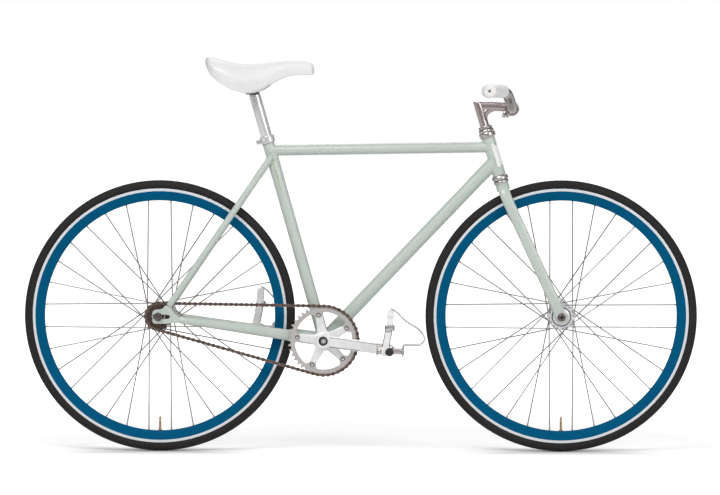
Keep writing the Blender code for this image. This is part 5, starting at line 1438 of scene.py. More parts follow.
@dataclass
class Sprockets:
    """Toothed ring with five tabs, its bolts, the cog and the lockring."""

    chain: Chain
    ring_half: float = 0.0015
    ring_inner: float = 0.0705
    tab_radius: float = 0.0585
    tab_half: float = 0.0078
    bolt_circle: float = 0.0650
    tip_rise: float = 0.0027
    cog_half: float = 0.0016
    cog_bore: float = 0.0175

    def build(self, shop: Workshop) -> None:
        """Make the ring, bolts, cog and lockring.

        Args:
            shop: the workshop that makes the pieces.
        """
        shop.custom("ring_face", TurnedMetal(
            tuple(BRACKET), (0.72, 0.68, 0.665), Gloss.SATIN, 0.0012, 0.7))
        shop.piece("toothed_ring", self.ring(), "ring_face", "cranks",
                   "polished_alloy", ["chainring"], 35)
        shop.piece("ring_bolt_rims", self.bolts(0.0052, 0.0034, 0.0012),
                   "dark", "cranks", "polished_alloy")
        shop.piece("ring_bolt_faces", self.bolts(0.0034, 0.0, 0.0007),
                   "bright", "cranks", "polished_alloy")
        shop.piece("fixed_cog", self.cog(), "dark", "rear_wheel",
                   "dark_steel", ["rear_cog"], 35)
        shop.piece("lockring", self.lockring(), "dark", "rear_wheel",
                   "dark_steel", ["rear_lockring"])

    def teeth(self, count: int, pin_angle: float
              ) -> Callable[[Array], Array]:
        """Radius of a sprocket's edge at each angle.

        Near a pin it is the far side of the roller's circle: p cos f minus
        the root of (q squared - (p sin f) squared), for the pitch radius p,
        seat radius q and the angle f from the pin.  Between two seats it
        rises to the tooth's tip along a quarter ellipse.

        Args:
            count: number of teeth.
            pin_angle: angle of one pin about the axle.

        Returns:
            A function from angles to radii.
        """
        pitch_r = self.chain.radius(count)
        seat = self.chain.roller_radius + 0.0001
        half = self.chain.pitch / 2

        def edge(angle: Array) -> Array:
            """Radius at an array of angles.

            Args:
                angle: array of angles in radians.

            Returns:
                Array of radii.
            """
            step = TAU / count
            off = (angle - pin_angle + step / 2) % step - step / 2
            across = np.abs(pitch_r * np.sin(off))
            dip = pitch_r * np.cos(off) - np.sqrt(
                np.clip(seat ** 2 - across ** 2, 0.0, None))
            rest = np.clip((half - across) / (half - seat), 0.0, 1.0)
            tooth = pitch_r - 0.0006 + (self.tip_rise + 0.0006) \
                * np.sqrt(1.0 - rest ** 2)
            return np.where(across < seat, dip, tooth)

        return edge

    def window(self, angle: Array) -> Array:
        """Radius of the ring's inner edge, lower at the five tabs.

        The drop is a smooth step of the distance from the nearest tab's
        middle, whole within the tab's half width and gone at twice it.

        Args:
            angle: array of angles in radians.

        Returns:
            Array of radii.
        """
        step = TAU / 5
        first = CRANK_ANGLE + step / 2
        off = np.abs((angle - first + step / 2) % step - step / 2)
        reach = off * self.bolt_circle
        share = np.clip((reach - self.tab_half) / (self.tab_half * 0.9),
                        0.0, 1.0)
        low = self.tab_radius \
            + 0.0022 * np.clip(reach / self.tab_half, 0, 1) ** 3
        return low + (self.ring_inner - low) * smooth(share)

    def phases(self) -> tuple[float, float]:
        """Angle of one pin about the bracket and about the rear axle.

        Returns:
            The two angles in radians.
        """
        pins = self.chain.pins()
        _, straight, around = self.chain.stretches()
        first = math.ceil(around + straight)
        ring_pin, cog_pin = pins[0] - BRACKET, pins[first] - REAR_AXLE
        return (math.atan2(ring_pin[2], ring_pin[0]),
                math.atan2(cog_pin[2], cog_pin[0]))

    def ring(self) -> Surface:
        """The chainring.

        Returns:
            The surface.
        """
        edge = self.teeth(self.chain.ring_teeth, self.phases()[0])
        return ring_plate(edge, self.window, BRACKET,
                          -CHAIN_LINE - self.ring_half,
                          -CHAIN_LINE + self.ring_half,
                          self.chain.ring_teeth * 24, 0.0004)

    def bolts(self, outer: float, inner: float, rise: float) -> Surface:
        """Five rings or buttons on the bolt circle, proud of the ring.

        Args:
            outer: outer radius.
            inner: inner radius, or 0 for a button.
            rise: height over the ring.

        Returns:
            The surface.
        """
        face = -CHAIN_LINE - self.ring_half
        parts = []
        for k in range(5):
            place = BRACKET + face * Y_AXIS + self.bolt_circle * spin(
                CRANK_ANGLE + TAU * (k + 0.5) / 5)
            outline = [(inner, 0.0), (outer, 0.0), (outer, rise * 0.6),
                       (outer - 0.0006, rise), (inner, rise * 0.8)] \
                if inner > 0 else [(1e-6, 0.0), (outer, 0.0), (outer, rise),
                                   (1e-6, rise * 1.3)]
            parts.append(lathe(outline, place, -Y_AXIS, 32,
                               0.0003 if inner > 0 else 0.0002, inner > 0))
        return merged(parts)

    def cog(self) -> Surface:
        """Small sprocket on the rear hub.

        Returns:
            The surface.
        """
        edge = self.teeth(self.chain.cog_teeth, self.phases()[1])
        return ring_plate(edge, lambda a: np.full(len(a), self.cog_bore),
                          REAR_AXLE, -CHAIN_LINE - self.cog_half,
                          -CHAIN_LINE + self.cog_half,
                          self.chain.cog_teeth * 24, 0.0005)

    def lockring(self) -> Surface:
        """Ring with six notches for its spanner.

        Returns:
            The surface.
        """
        steps = 144
        angle = np.arange(steps) * TAU / steps
        off = np.abs((angle + TAU / 12) % (TAU / 6) - TAU / 12)
        outer = np.where(off < 0.11, 0.0184, 0.0205)
        return ring_plate(lambda a: outer, lambda a: np.full(len(a), 0.0166),
                          REAR_AXLE, -0.0494, -0.0454, steps, 0.0004)


@dataclass
class Cranks:
    """Both arms, the five-armed spider, and the spindle's bolts."""

    face: float = 0.0660
    tip_face: float = 0.0750
    thickness: float = 0.0130
    boss_radius: float = 0.0180
    root_half: float = 0.0158
    tip_half: float = 0.0132
    boss_low: float = 0.0395
    cap_radius: float = 0.0110
    bolt_circle: float = 0.0650

    def build(self, shop: Workshop) -> None:
        """Make both arms, the spider and the bolts.

        Args:
            shop: the workshop that makes the pieces.
        """
        for side in Side:
            along = CRANK_ALONG * -side.value
            parts = [self.arm(side, along), self.boss(side),
                     self.eye(side, along)]
            if side is Side.RIGHT:
                parts += self.spider()
            shop.piece(f"arm_{side.word}", parts, "satin", "cranks",
                       "polished_alloy", [f"crank_{side.word}"], 32)
            # Dark lines of painted shade along each arm's edges, in the nut
            # finish.
            shop.piece(f"arm_flutes_{side.word}", self.flutes(side, along),
                       "nut", "cranks", "steel")
            self.bolt(shop, side)
        shop.dress("steel", "crank_spindle", "pedal_spindle_right",
                   "pedal_spindle_left")

    def station(self, share: Array) -> tuple[Array, Array]:
        """Arm's half height and its outer face's distance from the middle.

        Args:
            share: places along the arm, from 0 at the bracket to 1.

        Returns:
            The two arrays.
        """
        ease = smooth(np.clip((share - 0.12) / 0.78, 0.0, 1.0))
        half = self.root_half + (self.tip_half - self.root_half) \
            * share ** 0.8
        return half, self.face + (self.tip_face - self.face) * ease

    def flutes(self, side: Side, along: Array) -> list[Surface]:
        """Two dark lines along the outer face, near its edges: painted shade
        where the edges' shadows fall.

        Args:
            side: the side that the part is on.
            along: unit vector from the bracket to the pedal.

        Returns:
            The surfaces that make it up.
        """
        up = np.cross(Y_AXIS, along) * side.value
        lines = []
        for edge, first, last in ((0.70, 0.10, 0.93), (-0.80, 0.10, 0.55)):
            share = np.linspace(first, last, 24)
            half, outer = self.station(share)
            path = BRACKET + (CRANK_LENGTH * share)[:, None] * along \
                + (half * edge)[:, None] * up \
                + side.value * (outer - 0.0004)[:, None] * Y_AXIS
            lines.append(swept(path, circle(0.0007, 8), Y_AXIS, False))
        return lines

    def arm(self, side: Side, along: Array) -> Surface:
        """Tapering arm with a round tip about the pedal's spindle.

        At a distance t from the bracket the section is a superellipse.  Its
        half height falls from root to tip, and past the spindle it follows
        the root of (tip squared - (t - length) squared).  Its outer face
        eases from the boss out to the pedal.

        Args:
            side: the side that the part is on.
            along: unit vector from the bracket to the pedal.

        Returns:
            The surface.
        """
        length = CRANK_LENGTH
        t, cap = round_tip(0.0, length, self.tip_half, 36, 14)
        share = np.clip(t / length, 0.0, 1.0)
        half, outer = self.station(share)
        half = np.where(t > length, cap, half)
        thick = self.thickness * (1.0 - 0.08 * np.sin(math.pi * share))
        up = np.cross(Y_AXIS, along) * side.value
        u, v = superellipse(1.0, 1.0, 3.4, 40).T
        dish = 0.0008 * np.clip(1 - np.abs(u) / 0.62, 0, 1) ** 0.5 * (v > 0)
        rings = BRACKET + t[:, None, None] * along \
            + (half[:, None] * u)[..., None] * up \
            + side.value * (outer[:, None] - thick[:, None] / 2
                            + thick[:, None] / 2 * v - dish
                            * (np.abs(share - 0.5) < 0.36)[:, None]
                            )[..., None] * Y_AXIS
        return skinned(rings)

    def boss(self, side: Side) -> Surface:
        """Round boss with a dished recess for the spindle's bolt.

        Args:
            side: the side that the part is on.

        Returns:
            The surface.
        """
        top = self.face + 0.0010
        cap = self.cap_radius + 0.0004
        return lathe([(0.0086, self.boss_low), (self.boss_radius - 0.002,
                      self.boss_low), (self.boss_radius, self.boss_low
                      + 0.002), (self.boss_radius, top - 0.0015),
                      (self.boss_radius - 0.0015, top),
                      (cap + 0.0008, top), (cap, top - 0.0008),
                      (cap, self.face - 0.0105), (0.0086, self.face
                      - 0.0105)], BRACKET, Y_AXIS * side.value, 72, 0.0008,
                     True)

    def eye(self, side: Side, along: Array) -> Surface:
        """Raised ring round the pedal spindle's thread.

        Args:
            side: the side that the part is on.
            along: unit vector from the bracket to the pedal.

        Returns:
            The surface.
        """
        top = self.tip_face + 0.0002
        return lathe([(0.0054, top - 0.003), (0.0095, top - 0.003),
                      (0.0095, top), (0.0054, top)],
                     BRACKET + along * CRANK_LENGTH, Y_AXIS * side.value, 40,
                     0.0004, True)

    def spider(self) -> list[Surface]:
        """Five arms from the boss, each round at its bolt, and a hub disc.

        An arm's half width eases from root to bolt, and past the bolt it
        follows a circle about it.  Its inner side slopes up to the boss.

        Returns:
            The surfaces that make it up.
        """
        low, high = 0.0367, 0.0417
        end = 0.0085
        parts = [lathe([(0.0086, low), (0.0245, low), (0.0260, high),
                        (0.0180, high + 0.0045), (0.0086, high + 0.0045)],
                       BRACKET, -Y_AXIS, 72, 0.0010, True)]
        t, cap = round_tip(0.016, self.bolt_circle, end, 22, 10)
        share = np.clip((t - 0.016) / (self.bolt_circle - 0.016), 0.0, 1.0)
        half = 0.0135 + (end - 0.0135) * share ** 0.6
        half = np.where(t > self.bolt_circle, cap, half)
        thick = (high - low) / 2 + 0.0020 * (1 - share) ** 2
        section = superellipse(1.0, 1.0, 4.0, 28)
        for k in range(5):
            out = spin(CRANK_ANGLE + TAU * (k + 0.5) / 5)
            across = np.cross(out, Y_AXIS)
            depth = -(low + thick)
            rings = BRACKET + t[:, None, None] * out \
                + (half[:, None] * section[:, 0])[..., None] * across \
                + (depth[:, None] + thick[:, None] * section[:, 1]
                   )[..., None] * Y_AXIS
            parts.append(skinned(rings[:, ::-1]))
        return parts

    def bolt(self, shop: Workshop, side: Side) -> None:
        """Black dust ring with a grey hexagon bolt in its middle.

        Args:
            shop: the workshop that makes the pieces.
            side: the side that the part is on.
        """
        y = Y_AXIS * side.value
        origin = BRACKET + y * (self.face - 0.0022)
        cap = self.cap_radius
        dust = lathe([(0.0064, 0.0), (cap, 0.0), (cap, 0.0030),
                      (cap - 0.0010, 0.0034), (0.0078, 0.0034),
                      (0.0064, 0.0022)], origin, y, 60, 0.0004, True)
        shop.piece(f"dust_ring_{side.word}", dust, "black", "cranks",
                   "steel")
        head = lathe([(1e-6, 0.0), (0.0066, 0.0), (0.0066, 0.0016),
                      (0.0057, 0.0024), (0.0054, 0.0042), (0.0036, 0.0042),
                      (0.0032, 0.0014), (1e-6, 0.0014)], origin, y, 48,
                     0.0004)
        shop.piece(f"spindle_bolt_{side.word}", head, "steel", "cranks",
                   "steel")


# Frame

@dataclass(frozen=True)
class Cylinder:
    """Endless round bar that another tube is mitred to."""

    centre: Array
    axis: Array
    radius: float

    def crossing(self, base: Array, along: Array, far: bool) -> Array:
        """Distance along lines at which they cross the cylinder.

        With q the base and d the direction, both less their parts along the
        axis, t solves |q + t d|^2 = radius^2.  A line that misses takes the
        t of its nearest point.

        Args:
            base: (n, 3) array of places on the lines.
            along: their common direction.
            far: takes the greater of the two roots.

        Returns:
            (n,) array of distances.
        """
        offset = base - self.centre
        flat = offset - (offset @ self.axis)[:, None] * self.axis
        way = along - (along @ self.axis) * self.axis
        a, b = way @ way, flat @ way
        c = np.sum(flat * flat, axis=1) - self.radius ** 2
        root = np.sqrt(np.clip(b * b - a * c, 0.0, None))
        return (-b + (root if far else -root)) / a


def mitred_tube(start: Array, end: Array, radii: tuple[float, float],
                low: Cylinder | None, high: Cylinder | None,
                fillet: float = 0.0026, steps: int = 72) -> Surface:
    """Round tube cut to fit round its neighbours, with a weld at each cut.

    For the angle f from 0 to 90 degrees a weld's ring has the radius
    r + w (1 - sin f), and lies w (1 - cos f) from where lines at that radius
    cross the neighbour: a quarter of a circle that touches both.  A lid that
    follows the neighbour's face, just under it, closes the end.

    Args:
        start: a place on the tube's middle line, at or inside one end.
        end: the same for the other end.
        radii: the tube's radius at its start and at its end.
        low: neighbour at the start, or None for a plain end.
        high: neighbour at the end.
        fillet: radius w of the weld.
        steps: points in a turn.

    Returns:
        The tube's surface, closed at both ends.
    """
    length = float(np.linalg.norm(end - start))
    along = (end - start) / length
    ring = compass(*side_frame(along), steps)

    def weld(mate: Cylinder | None, radius: float, far: bool
             ) -> list[tuple[Array, Array]]:
        """Radius and distance of each ring near one end.

        Args:
            mate: the neighbour, or None for a plain end.
            radius: the tube's radius there.
            far: takes the neighbour's far side.

        Returns:
            Radii and distances, ring by ring.
        """
        plain = 0.0 if far else length
        sign = 1.0 if far else -1.0
        if mate is None:
            inset = np.array([0.0008, 0.0002, 0.0])
            depth = np.array([0.0, 0.0002, 0.0009])
            return [(np.full(steps, radius - a),
                     np.full(steps, plain + sign * b))
                    for a, b in zip(inset, depth)]
        rows = []
        for share in (0.02, 0.35, 0.70, 1.0):
            cross = mate.crossing(start + ring * radius * share, along, far)
            rows.append((np.full(steps, radius * share),
                         cross - sign * 0.0003))
        for f in np.linspace(0.0, math.pi / 2, 6):
            r = radius + fillet * (1.0 - math.sin(f))
            cross = mate.crossing(start + ring * r, along, far)
            rows.append((np.full(steps, r),
                         cross + sign * fillet * (1.0 - math.cos(f))))
        return rows

    head = weld(low, radii[0], True)
    tail = weld(high, radii[1], False)[::-1]
    middle = []
    for share in np.linspace(0.08, 0.92, 9):
        radius = radii[0] + (radii[1] - radii[0]) * share
        middle.append((np.full(steps, radius),
                       head[-1][1] * (1 - share) + tail[0][1] * share))
    rows = [start + r[:, None] * ring + t[:, None] * along
            for r, t in head + middle + tail]
    return skinned(np.array(rows))


def lofted(rows: Array, per_span: int, frame_of: Callable[[Array], tuple[
        Array, Array, Array]], power: float, steps: int) -> Surface:
    """Tube of changing oval section through a table of stations.

    The table's columns run smoothly from row to row, and each station's
    ring is a superellipse.

    Args:
        rows: (n, m) table of stations.
        per_span: rings between two rows.
        frame_of: gives the ring's centres and its two half axes.
        power: the superellipse's exponent.
        steps: points in a ring.

    Returns:
        The lofted surface.
    """
    centres, first, second = frame_of(spline(rows, per_span))
    unit = superellipse(1.0, 1.0, power, steps)
    rings = centres[:, None] + unit[None, :, 0, None] * first[:, None] \
        + unit[None, :, 1, None] * second[:, None]
    return skinned(rings)


@dataclass
class Frame:
    """Welded tubes, stays, ends, bridges, collar and the head plate."""

    seat_tube_radius: float = 0.01457
    head_radius: float = 0.0160
    bracket_radius: float = 0.0200
    bracket_half: float = 0.0340
    top_tube_radius: float = 0.0130
    down_tube_radius: float = 0.0161
    seat_length: float = 0.5205
    stay_radius: float = 0.0078
    stay_top: float = 0.4700
    stay_top_y: float = 0.0130
    dropout_y: float = 0.06305
    dropout_half: float = 0.00275
    chainstay_seat: tuple[float, float] = (0.0503, -0.0073)

    def build(self, shop: Workshop) -> None:
        """Make every tube of the frame and what is fixed to it.

        Args:
            shop: the workshop that makes the pieces.
        """
        seat = Cylinder(BRACKET, SEAT_UP, self.seat_tube_radius)
        head = Cylinder(HEAD_FOOT, STEER_UP, self.head_radius)
        shell = Cylinder(BRACKET, Y_AXIS, self.bracket_radius)
        seat_top = BRACKET + SEAT_UP * self.seat_length
        paint = ("frame", "frame", "frame_paint")
        shop.piece("head_tube_painted", pipe(
            HEAD_FOOT, HEAD_TOP, self.head_radius, 0.0149, 96, 0.0008),
            *paint, ["head_tube"])
        shop.piece("seat_tube_painted", [mitred_tube(
            BRACKET, seat_top - SEAT_UP * 0.004, (self.seat_tube_radius,) * 2,
            shell, None)], *paint, ["seat_tube"])
        shop.piece("top_tube_painted", mitred_tube(
            BRACKET + SEAT_UP * 0.4845, HEAD_TOP - STEER_UP * 0.0235,
            (self.top_tube_radius,) * 2, seat, head), *paint, ["top_tube"])
        shop.piece("down_tube_painted", mitred_tube(
            BRACKET, HEAD_FOOT + STEER_UP * 0.0360,
            (self.down_tube_radius,) * 2, shell, head), *paint,
            ["down_tube"])
        half = self.bracket_half
        shop.piece("bracket_shell_painted", pipe(
            BRACKET - Y_AXIS * half, BRACKET + Y_AXIS * half,
            self.bracket_radius, 0.0176, 96, 0.0009), *paint,
            ["bottom_bracket_shell"])
        for side in Side:
            shop.piece(f"seat_stay_{side.word}_painted",
                       self.seat_stay(side, seat), *paint,
                       [f"seat_stay_{side.word}"])
            shop.piece(f"chainstay_{side.word}_painted",
                       self.chainstay(side), *paint,
                       [f"chainstay_{side.word}"])
            shop.piece(f"dropout_{side.word}_painted", self.dropout(side),
                       *paint, [f"dropout_{side.word}"], 30)
        self.bridges(shop)
        self.collar(shop)
        self.stripe(shop)
        self.head_plate(shop)
        shop.dress("steel", "bottom_bracket_cartridge")

    def stay_ends(self, side: Side) -> tuple[Array, Array]:
        """Foot and top of a seat stay's middle line.

        Args:
            side: the side that the part is on.

        Returns:
            The two places.
        """
        foot = REAR_AXLE + np.array([0.0262, side.value * self.dropout_y,
                                     0.0262])
        top = BRACKET + SEAT_UP * self.stay_top \
            + Y_AXIS * side.value * self.stay_top_y
        return foot, top

    def seat_stay(self, side: Side, seat: Cylinder) -> Surface:
        """Slim tube from the seat tube to the dropout's tab.

        Its lower end narrows to a rounded tip over the last 9 mm.

        Args:
            side: the side that the part is on.
            seat: the seat tube.

        Returns:
            The surface.
        """
        foot, top = self.stay_ends(side)
        length = float(np.linalg.norm(top - foot))
        along = (top - foot) / length
        ring = compass(*side_frame(along), 56)
        r, rows = self.stay_radius, []
        for f in np.linspace(0.0, math.pi / 2, 8):
            size = r * (0.42 + 0.58 * math.sin(f))
            rows.append(foot + along * (0.0085 * (1 - math.cos(f)) - 0.0008)
                        + ring * size)
        for share in np.linspace(0.06, 0.94, 9):
            rows.append(foot + along * length * share + ring * r)
        for f in np.linspace(math.pi / 2, 0.0, 6):
            size = r + 0.0022 * (1 - math.sin(f))
            base = foot + ring * size
            cross = np.minimum(seat.crossing(base, along, False),
                               length + 0.004)
            rows.append(base + (cross - 0.0022 * (1 - math.cos(f)))[:, None]
                        * along)
        return skinned(np.array(rows))

    def chainstay(self, side: Side) -> Surface:
        """Stay that is tall at the bracket, waisted, and round behind.

        Args:
            side: the side that the part is on.

        Returns:
            The surface.
        """
        start = BRACKET.copy()
        end = REAR_AXLE + np.array([self.chainstay_seat[0], 0.0,
                                    self.chainstay_seat[1]])
        run = end - start
        up = np.cross(run, Y_AXIS)
        up *= -1.0 / np.linalg.norm(up)
        rows = np.array([
            (0.035, 0.0240, 0.0086, 0.0150), (0.060, 0.0241, 0.0082, 0.0145),
            (0.120, 0.0248, 0.0082, 0.0145), (0.270, 0.0275, 0.0074, 0.0135),
            (0.450, 0.0360, 0.0082, 0.0123), (0.720, 0.0500, 0.0088, 0.0101),
            (0.930, 0.0610, 0.0074, 0.0090), (0.985, 0.0628, 0.0052, 0.0083),
            (1.010, 0.0630, 0.0024, 0.0060)])

        def frame_of(table: Array) -> tuple[Array, Array, Array]:
            """Centres and half axes of the rings.

            Args:
                table: (n, m) array of stations.

            Returns:
                The centres and the two half axes.
            """
            centres = start + table[:, :1] * run \
                + side.value * table[:, 1:2] * Y_AXIS
            return (centres, table[:, 3:4] * up * side.value,
                    table[:, 2:3] * Y_AXIS)

        return lofted(rows, 5, frame_of, 2.0, 48)

    def dropout(self, side: Side) -> Surface:
        """Rear-opening slotted plate with a tab to each of its two stays.

        The outline's corners are rounded, and the plate's edges are cut by
        a small bevel: each ring of points is the outline drawn in by it.

        Args:
            side: the side that the part is on.

        Returns:
            The surface.
        """
        slot = 0.0053
        corners = [(-0.014, -slot), (-0.014, -0.0125), (-0.009, -0.017),
                   (0.0144, -0.017), (0.0499, -0.0152), (0.0525, -0.0075),
                   (0.0509, 0.0006), (0.0365, 0.0118), (0.0334, 0.0232),
                   (0.0190, 0.0292), (0.0100, 0.0192), (-0.009, 0.017),
                   (-0.014, 0.0125), (-0.014, slot), (0.0205, slot),
                   (0.0275, slot * 0.7), (0.0295, 0.0), (0.0275,
                   -slot * 0.7), (0.0205, -slot)]
        outline = rounded(corners, 0.0040, True, 4)
        step = np.roll(outline, -1, axis=0) - np.roll(outline, 1, axis=0)
        step /= np.linalg.norm(step, axis=1)[:, None]
        inward = np.stack([-step[:, 1], step[:, 0]], axis=1)
        return plate_between(
            outline, inward, 0.0006,
            REAR_AXLE + Y_AXIS * side.value * self.dropout_y,
            self.dropout_half)

    def bridges(self, shop: Workshop) -> None:
        """Short tube between the seat stays, and one between the others.

        Args:
            shop: the workshop that makes the pieces.
        """
        foot, top = self.stay_ends(Side.LEFT)
        share = 1.0 - 0.115 / float(np.linalg.norm(
            (top - foot) * np.array([1.0, 0.0, 1.0])))
        place = foot + (top - foot) * share
        along = (top - foot) / np.linalg.norm(top - foot)
        stays = [Cylinder(place * np.array([1.0, s, 1.0]), along
                          * np.array([1.0, s, 1.0]), self.stay_radius)
                 for s in (-1.0, 1.0)]
        middle = place * np.array([1.0, 0.0, 1.0])
        reach = Y_AXIS * place[1]
        shop.piece("stay_bridge_painted", mitred_tube(
            middle - reach, middle + reach, (0.0055,) * 2, stays[0],
            stays[1], 0.0018, 40), "frame", "frame", "frame_paint",
            ["seat_stay_bridge"])
        end = REAR_AXLE + np.array([self.chainstay_seat[0], 0.0,
                                    self.chainstay_seat[1]])
        low = BRACKET + (end - BRACKET) * 0.12
        shop.piece("chainstay_bridge_painted", capsule_path(
            low - Y_AXIS * 0.0185, low + Y_AXIS * 0.0185, 0.0055, 40),
            "frame", "frame", "frame_paint", ["chainstay_bridge"])

    def collar(self, shop: Workshop) -> None:
        """Alloy band round the tube's top, its ears and its bolt behind.

        Args:
            shop: the workshop that makes the pieces.
        """
        top = BRACKET + SEAT_UP * (self.seat_length + 0.0005)
        foot = top - SEAT_UP * 0.0170
        bore = self.seat_tube_radius + 0.0002
        outer = bore + 0.0033
        middle = (top + foot) / 2
        back = np.cross(SEAT_UP, Y_AXIS)
        back /= -np.linalg.norm(back) * np.sign(back[0])
        parts = [lathe([(bore, 0.0), (outer - 0.0004, 0.0), (outer, 0.0022),
                        (outer - 0.0003, 0.0030), (outer - 0.0003, 0.0140),
                        (outer, 0.0148), (outer - 0.0004, 0.0170),
                        (0.0139, 0.0170), (0.0139, 0.0163), (bore, 0.0160)],
                       foot, SEAT_UP, 96, 0.0004, True)]
        for side in Side:
            parts.append(box(middle + back * 0.0210
                             + Y_AXIS * side.value * 0.0042,
                             (0.0110, 0.0062, 0.0122), back, SEAT_UP,
                             0.0018))
        shop.piece("seat_collar_band", parts, "alloy", "frame",
                   "polished_alloy", ["seat_collar"])
        axle = middle + back * 0.0222
        bolt = []
        for side in Side:
            y = Y_AXIS * side.value
            bolt.append(lathe([(1e-6, 0.0), (0.0053, 0.0), (0.0053, 0.0030),
                               (0.0046, 0.0040), (0.0030, 0.0042),
                               (0.0027, 0.0024), (1e-6, 0.0024)],
                              axle + y * 0.0070, y, 36, 0.0004))
        bolt.append(capsule_path(axle - Y_AXIS * 0.008,
                                 axle + Y_AXIS * 0.008, 0.0024, 20))
        shop.piece("collar_bolt", bolt, "steel", "frame", "steel")

    def stripe(self, shop: Workshop) -> None:
        """Thin gold line down the seat tube's right side.

        Args:
            shop: the workshop that makes the pieces.
        """
        low, high = 0.3760, 0.4620
        length = high - low
        out = -Y_AXIS
        ahead = np.cross(SEAT_UP, Y_AXIS)
        t = np.linspace(0.0, 1.0, 40)
        width = 0.045 * np.sin(math.pi * (0.01 + 0.98 * t)) ** 0.4
        radius = self.seat_tube_radius + 0.00012
        across = np.linspace(-1.0, 1.0, 5)
        turn = math.radians(6.0) + across[None, :] * width[:, None]
        around = np.cos(turn)[..., None] * out \
            + np.sin(turn)[..., None] * ahead
        line = BRACKET + SEAT_UP * low + t[:, None, None] * length * SEAT_UP
        skin = line + around * radius
        under = line + around * (radius - 0.0003)
        rings = np.concatenate([skin, under[:, ::-1]], axis=1)
        shop.piece("gold_stripe", skinned(rings), "gold", "frame",
                   "frame_paint")

    def head_plate(self, shop: Workshop) -> None:
        """Blank white plate bent round the head tube, with two screws.

        It covers the tube's right front quarter; its corners follow a
        superellipse of power 7 in angle and height.

        Args:
            shop: the workshop that makes the pieces.
        """
        low, high = 0.0185, 0.0800
        middle = math.radians(50.0)
        half = math.radians(31.0)
        radius = self.head_radius + 0.0003
        v = np.linspace(-1.0, 1.0, 61)
        limit = np.maximum((1.0 - np.abs(v) ** 7) ** (1 / 7), 0.02)
        u = np.linspace(-1.0, 1.0, 25)
        turn = middle + half * limit[:, None] * u[None, :]
        around = np.cos(turn)[..., None] * STEER_AHEAD \
            - np.sin(turn)[..., None] * Y_AXIS
        height = (low + high) / 2 + (high - low) / 2 * v
        line = HEAD_FOOT + height[:, None, None] * STEER_UP
        crown = 0.0009 * np.minimum(1.0, 6 * (1 - np.abs(u))) ** 0.5
        outer = line + around * (radius + crown)[None, :, None]
        inner = line + around * (radius - 0.0005)
        rings = np.concatenate([outer[:, ::-1], inner], axis=1)
        shop.piece("head_plate", skinned(rings), "plate", "frame",
                   "frame_paint")
        self.screws(shop, radius)

    def screws(self, shop: Workshop, radius: float) -> None:
        """Two small domed screws and an empty hole in the head plate.

        Args:
            shop: the workshop that makes the pieces.
            radius: radius of the plate's outside.
        """
        parts = []
        for height, degrees, size, rise in ((0.0770, 46.0, 0.0021, 0.0014),
                                            (0.0215, 40.0, 0.0021, 0.0014),
                                            (0.0735, 66.0, 0.0011, 0.0007)):
            turn = math.radians(degrees)
            out = math.cos(turn) * STEER_AHEAD - math.sin(turn) * Y_AXIS
            base = HEAD_FOOT + STEER_UP * height + out * (radius + 0.0003)
            parts.append(lathe([(1e-6, 0.0), (size, 0.0), (size, rise * 0.6),
                                (size * 0.7, rise), (1e-6, rise)], base, out,
                               24, 0.0004))
        shop.piece("head_plate_screws", parts, "black", "frame",
                   "frame_paint")


def plate_between(outline: Array, inward: Array, bevel: float,
                  centre: Array, half: float) -> Surface:
    """Flat plate in the XZ plane with a bevelled outline.

    Its two faces are filled by Blender's own triangulation of the outline,
    and its edge is a band of four rings of points.

    Args:
        outline: (n, 2) array of (x, z), counter-clockwise.
        inward: (n, 2) array of unit vectors towards the inside.
        bevel: size of the cut edges.
        centre: the plate's centre.
        half: half of its thickness.

    Returns:
        The plate.
    """
    rings = []
    for inset, y in ((bevel, half), (0.0, half - bevel),
                     (0.0, bevel - half), (bevel, -half)):
        flat = outline + inward * inset
        rings.append(centre + np.stack([flat[:, 0], np.full(len(flat), y),
                                        flat[:, 1]], axis=1))
    band = skinned(np.array(rings), caps=False)
    count = len(outline)
    flat = [Vector((x, z, 0.0)) for x, z in outline + inward * bevel]
    fill = np.array(tessellate_polygon([flat]))
    turn = np.cross(outline[fill[:, 1]] - outline[fill[:, 0]],
                    outline[fill[:, 2]] - outline[fill[:, 0]])
    fill[turn < 0] = fill[turn < 0][:, ::-1]
    return Surface(band.points, band.quads,
                   np.vstack([fill[:, ::-1], fill + 3 * count]))


# Fork and headset

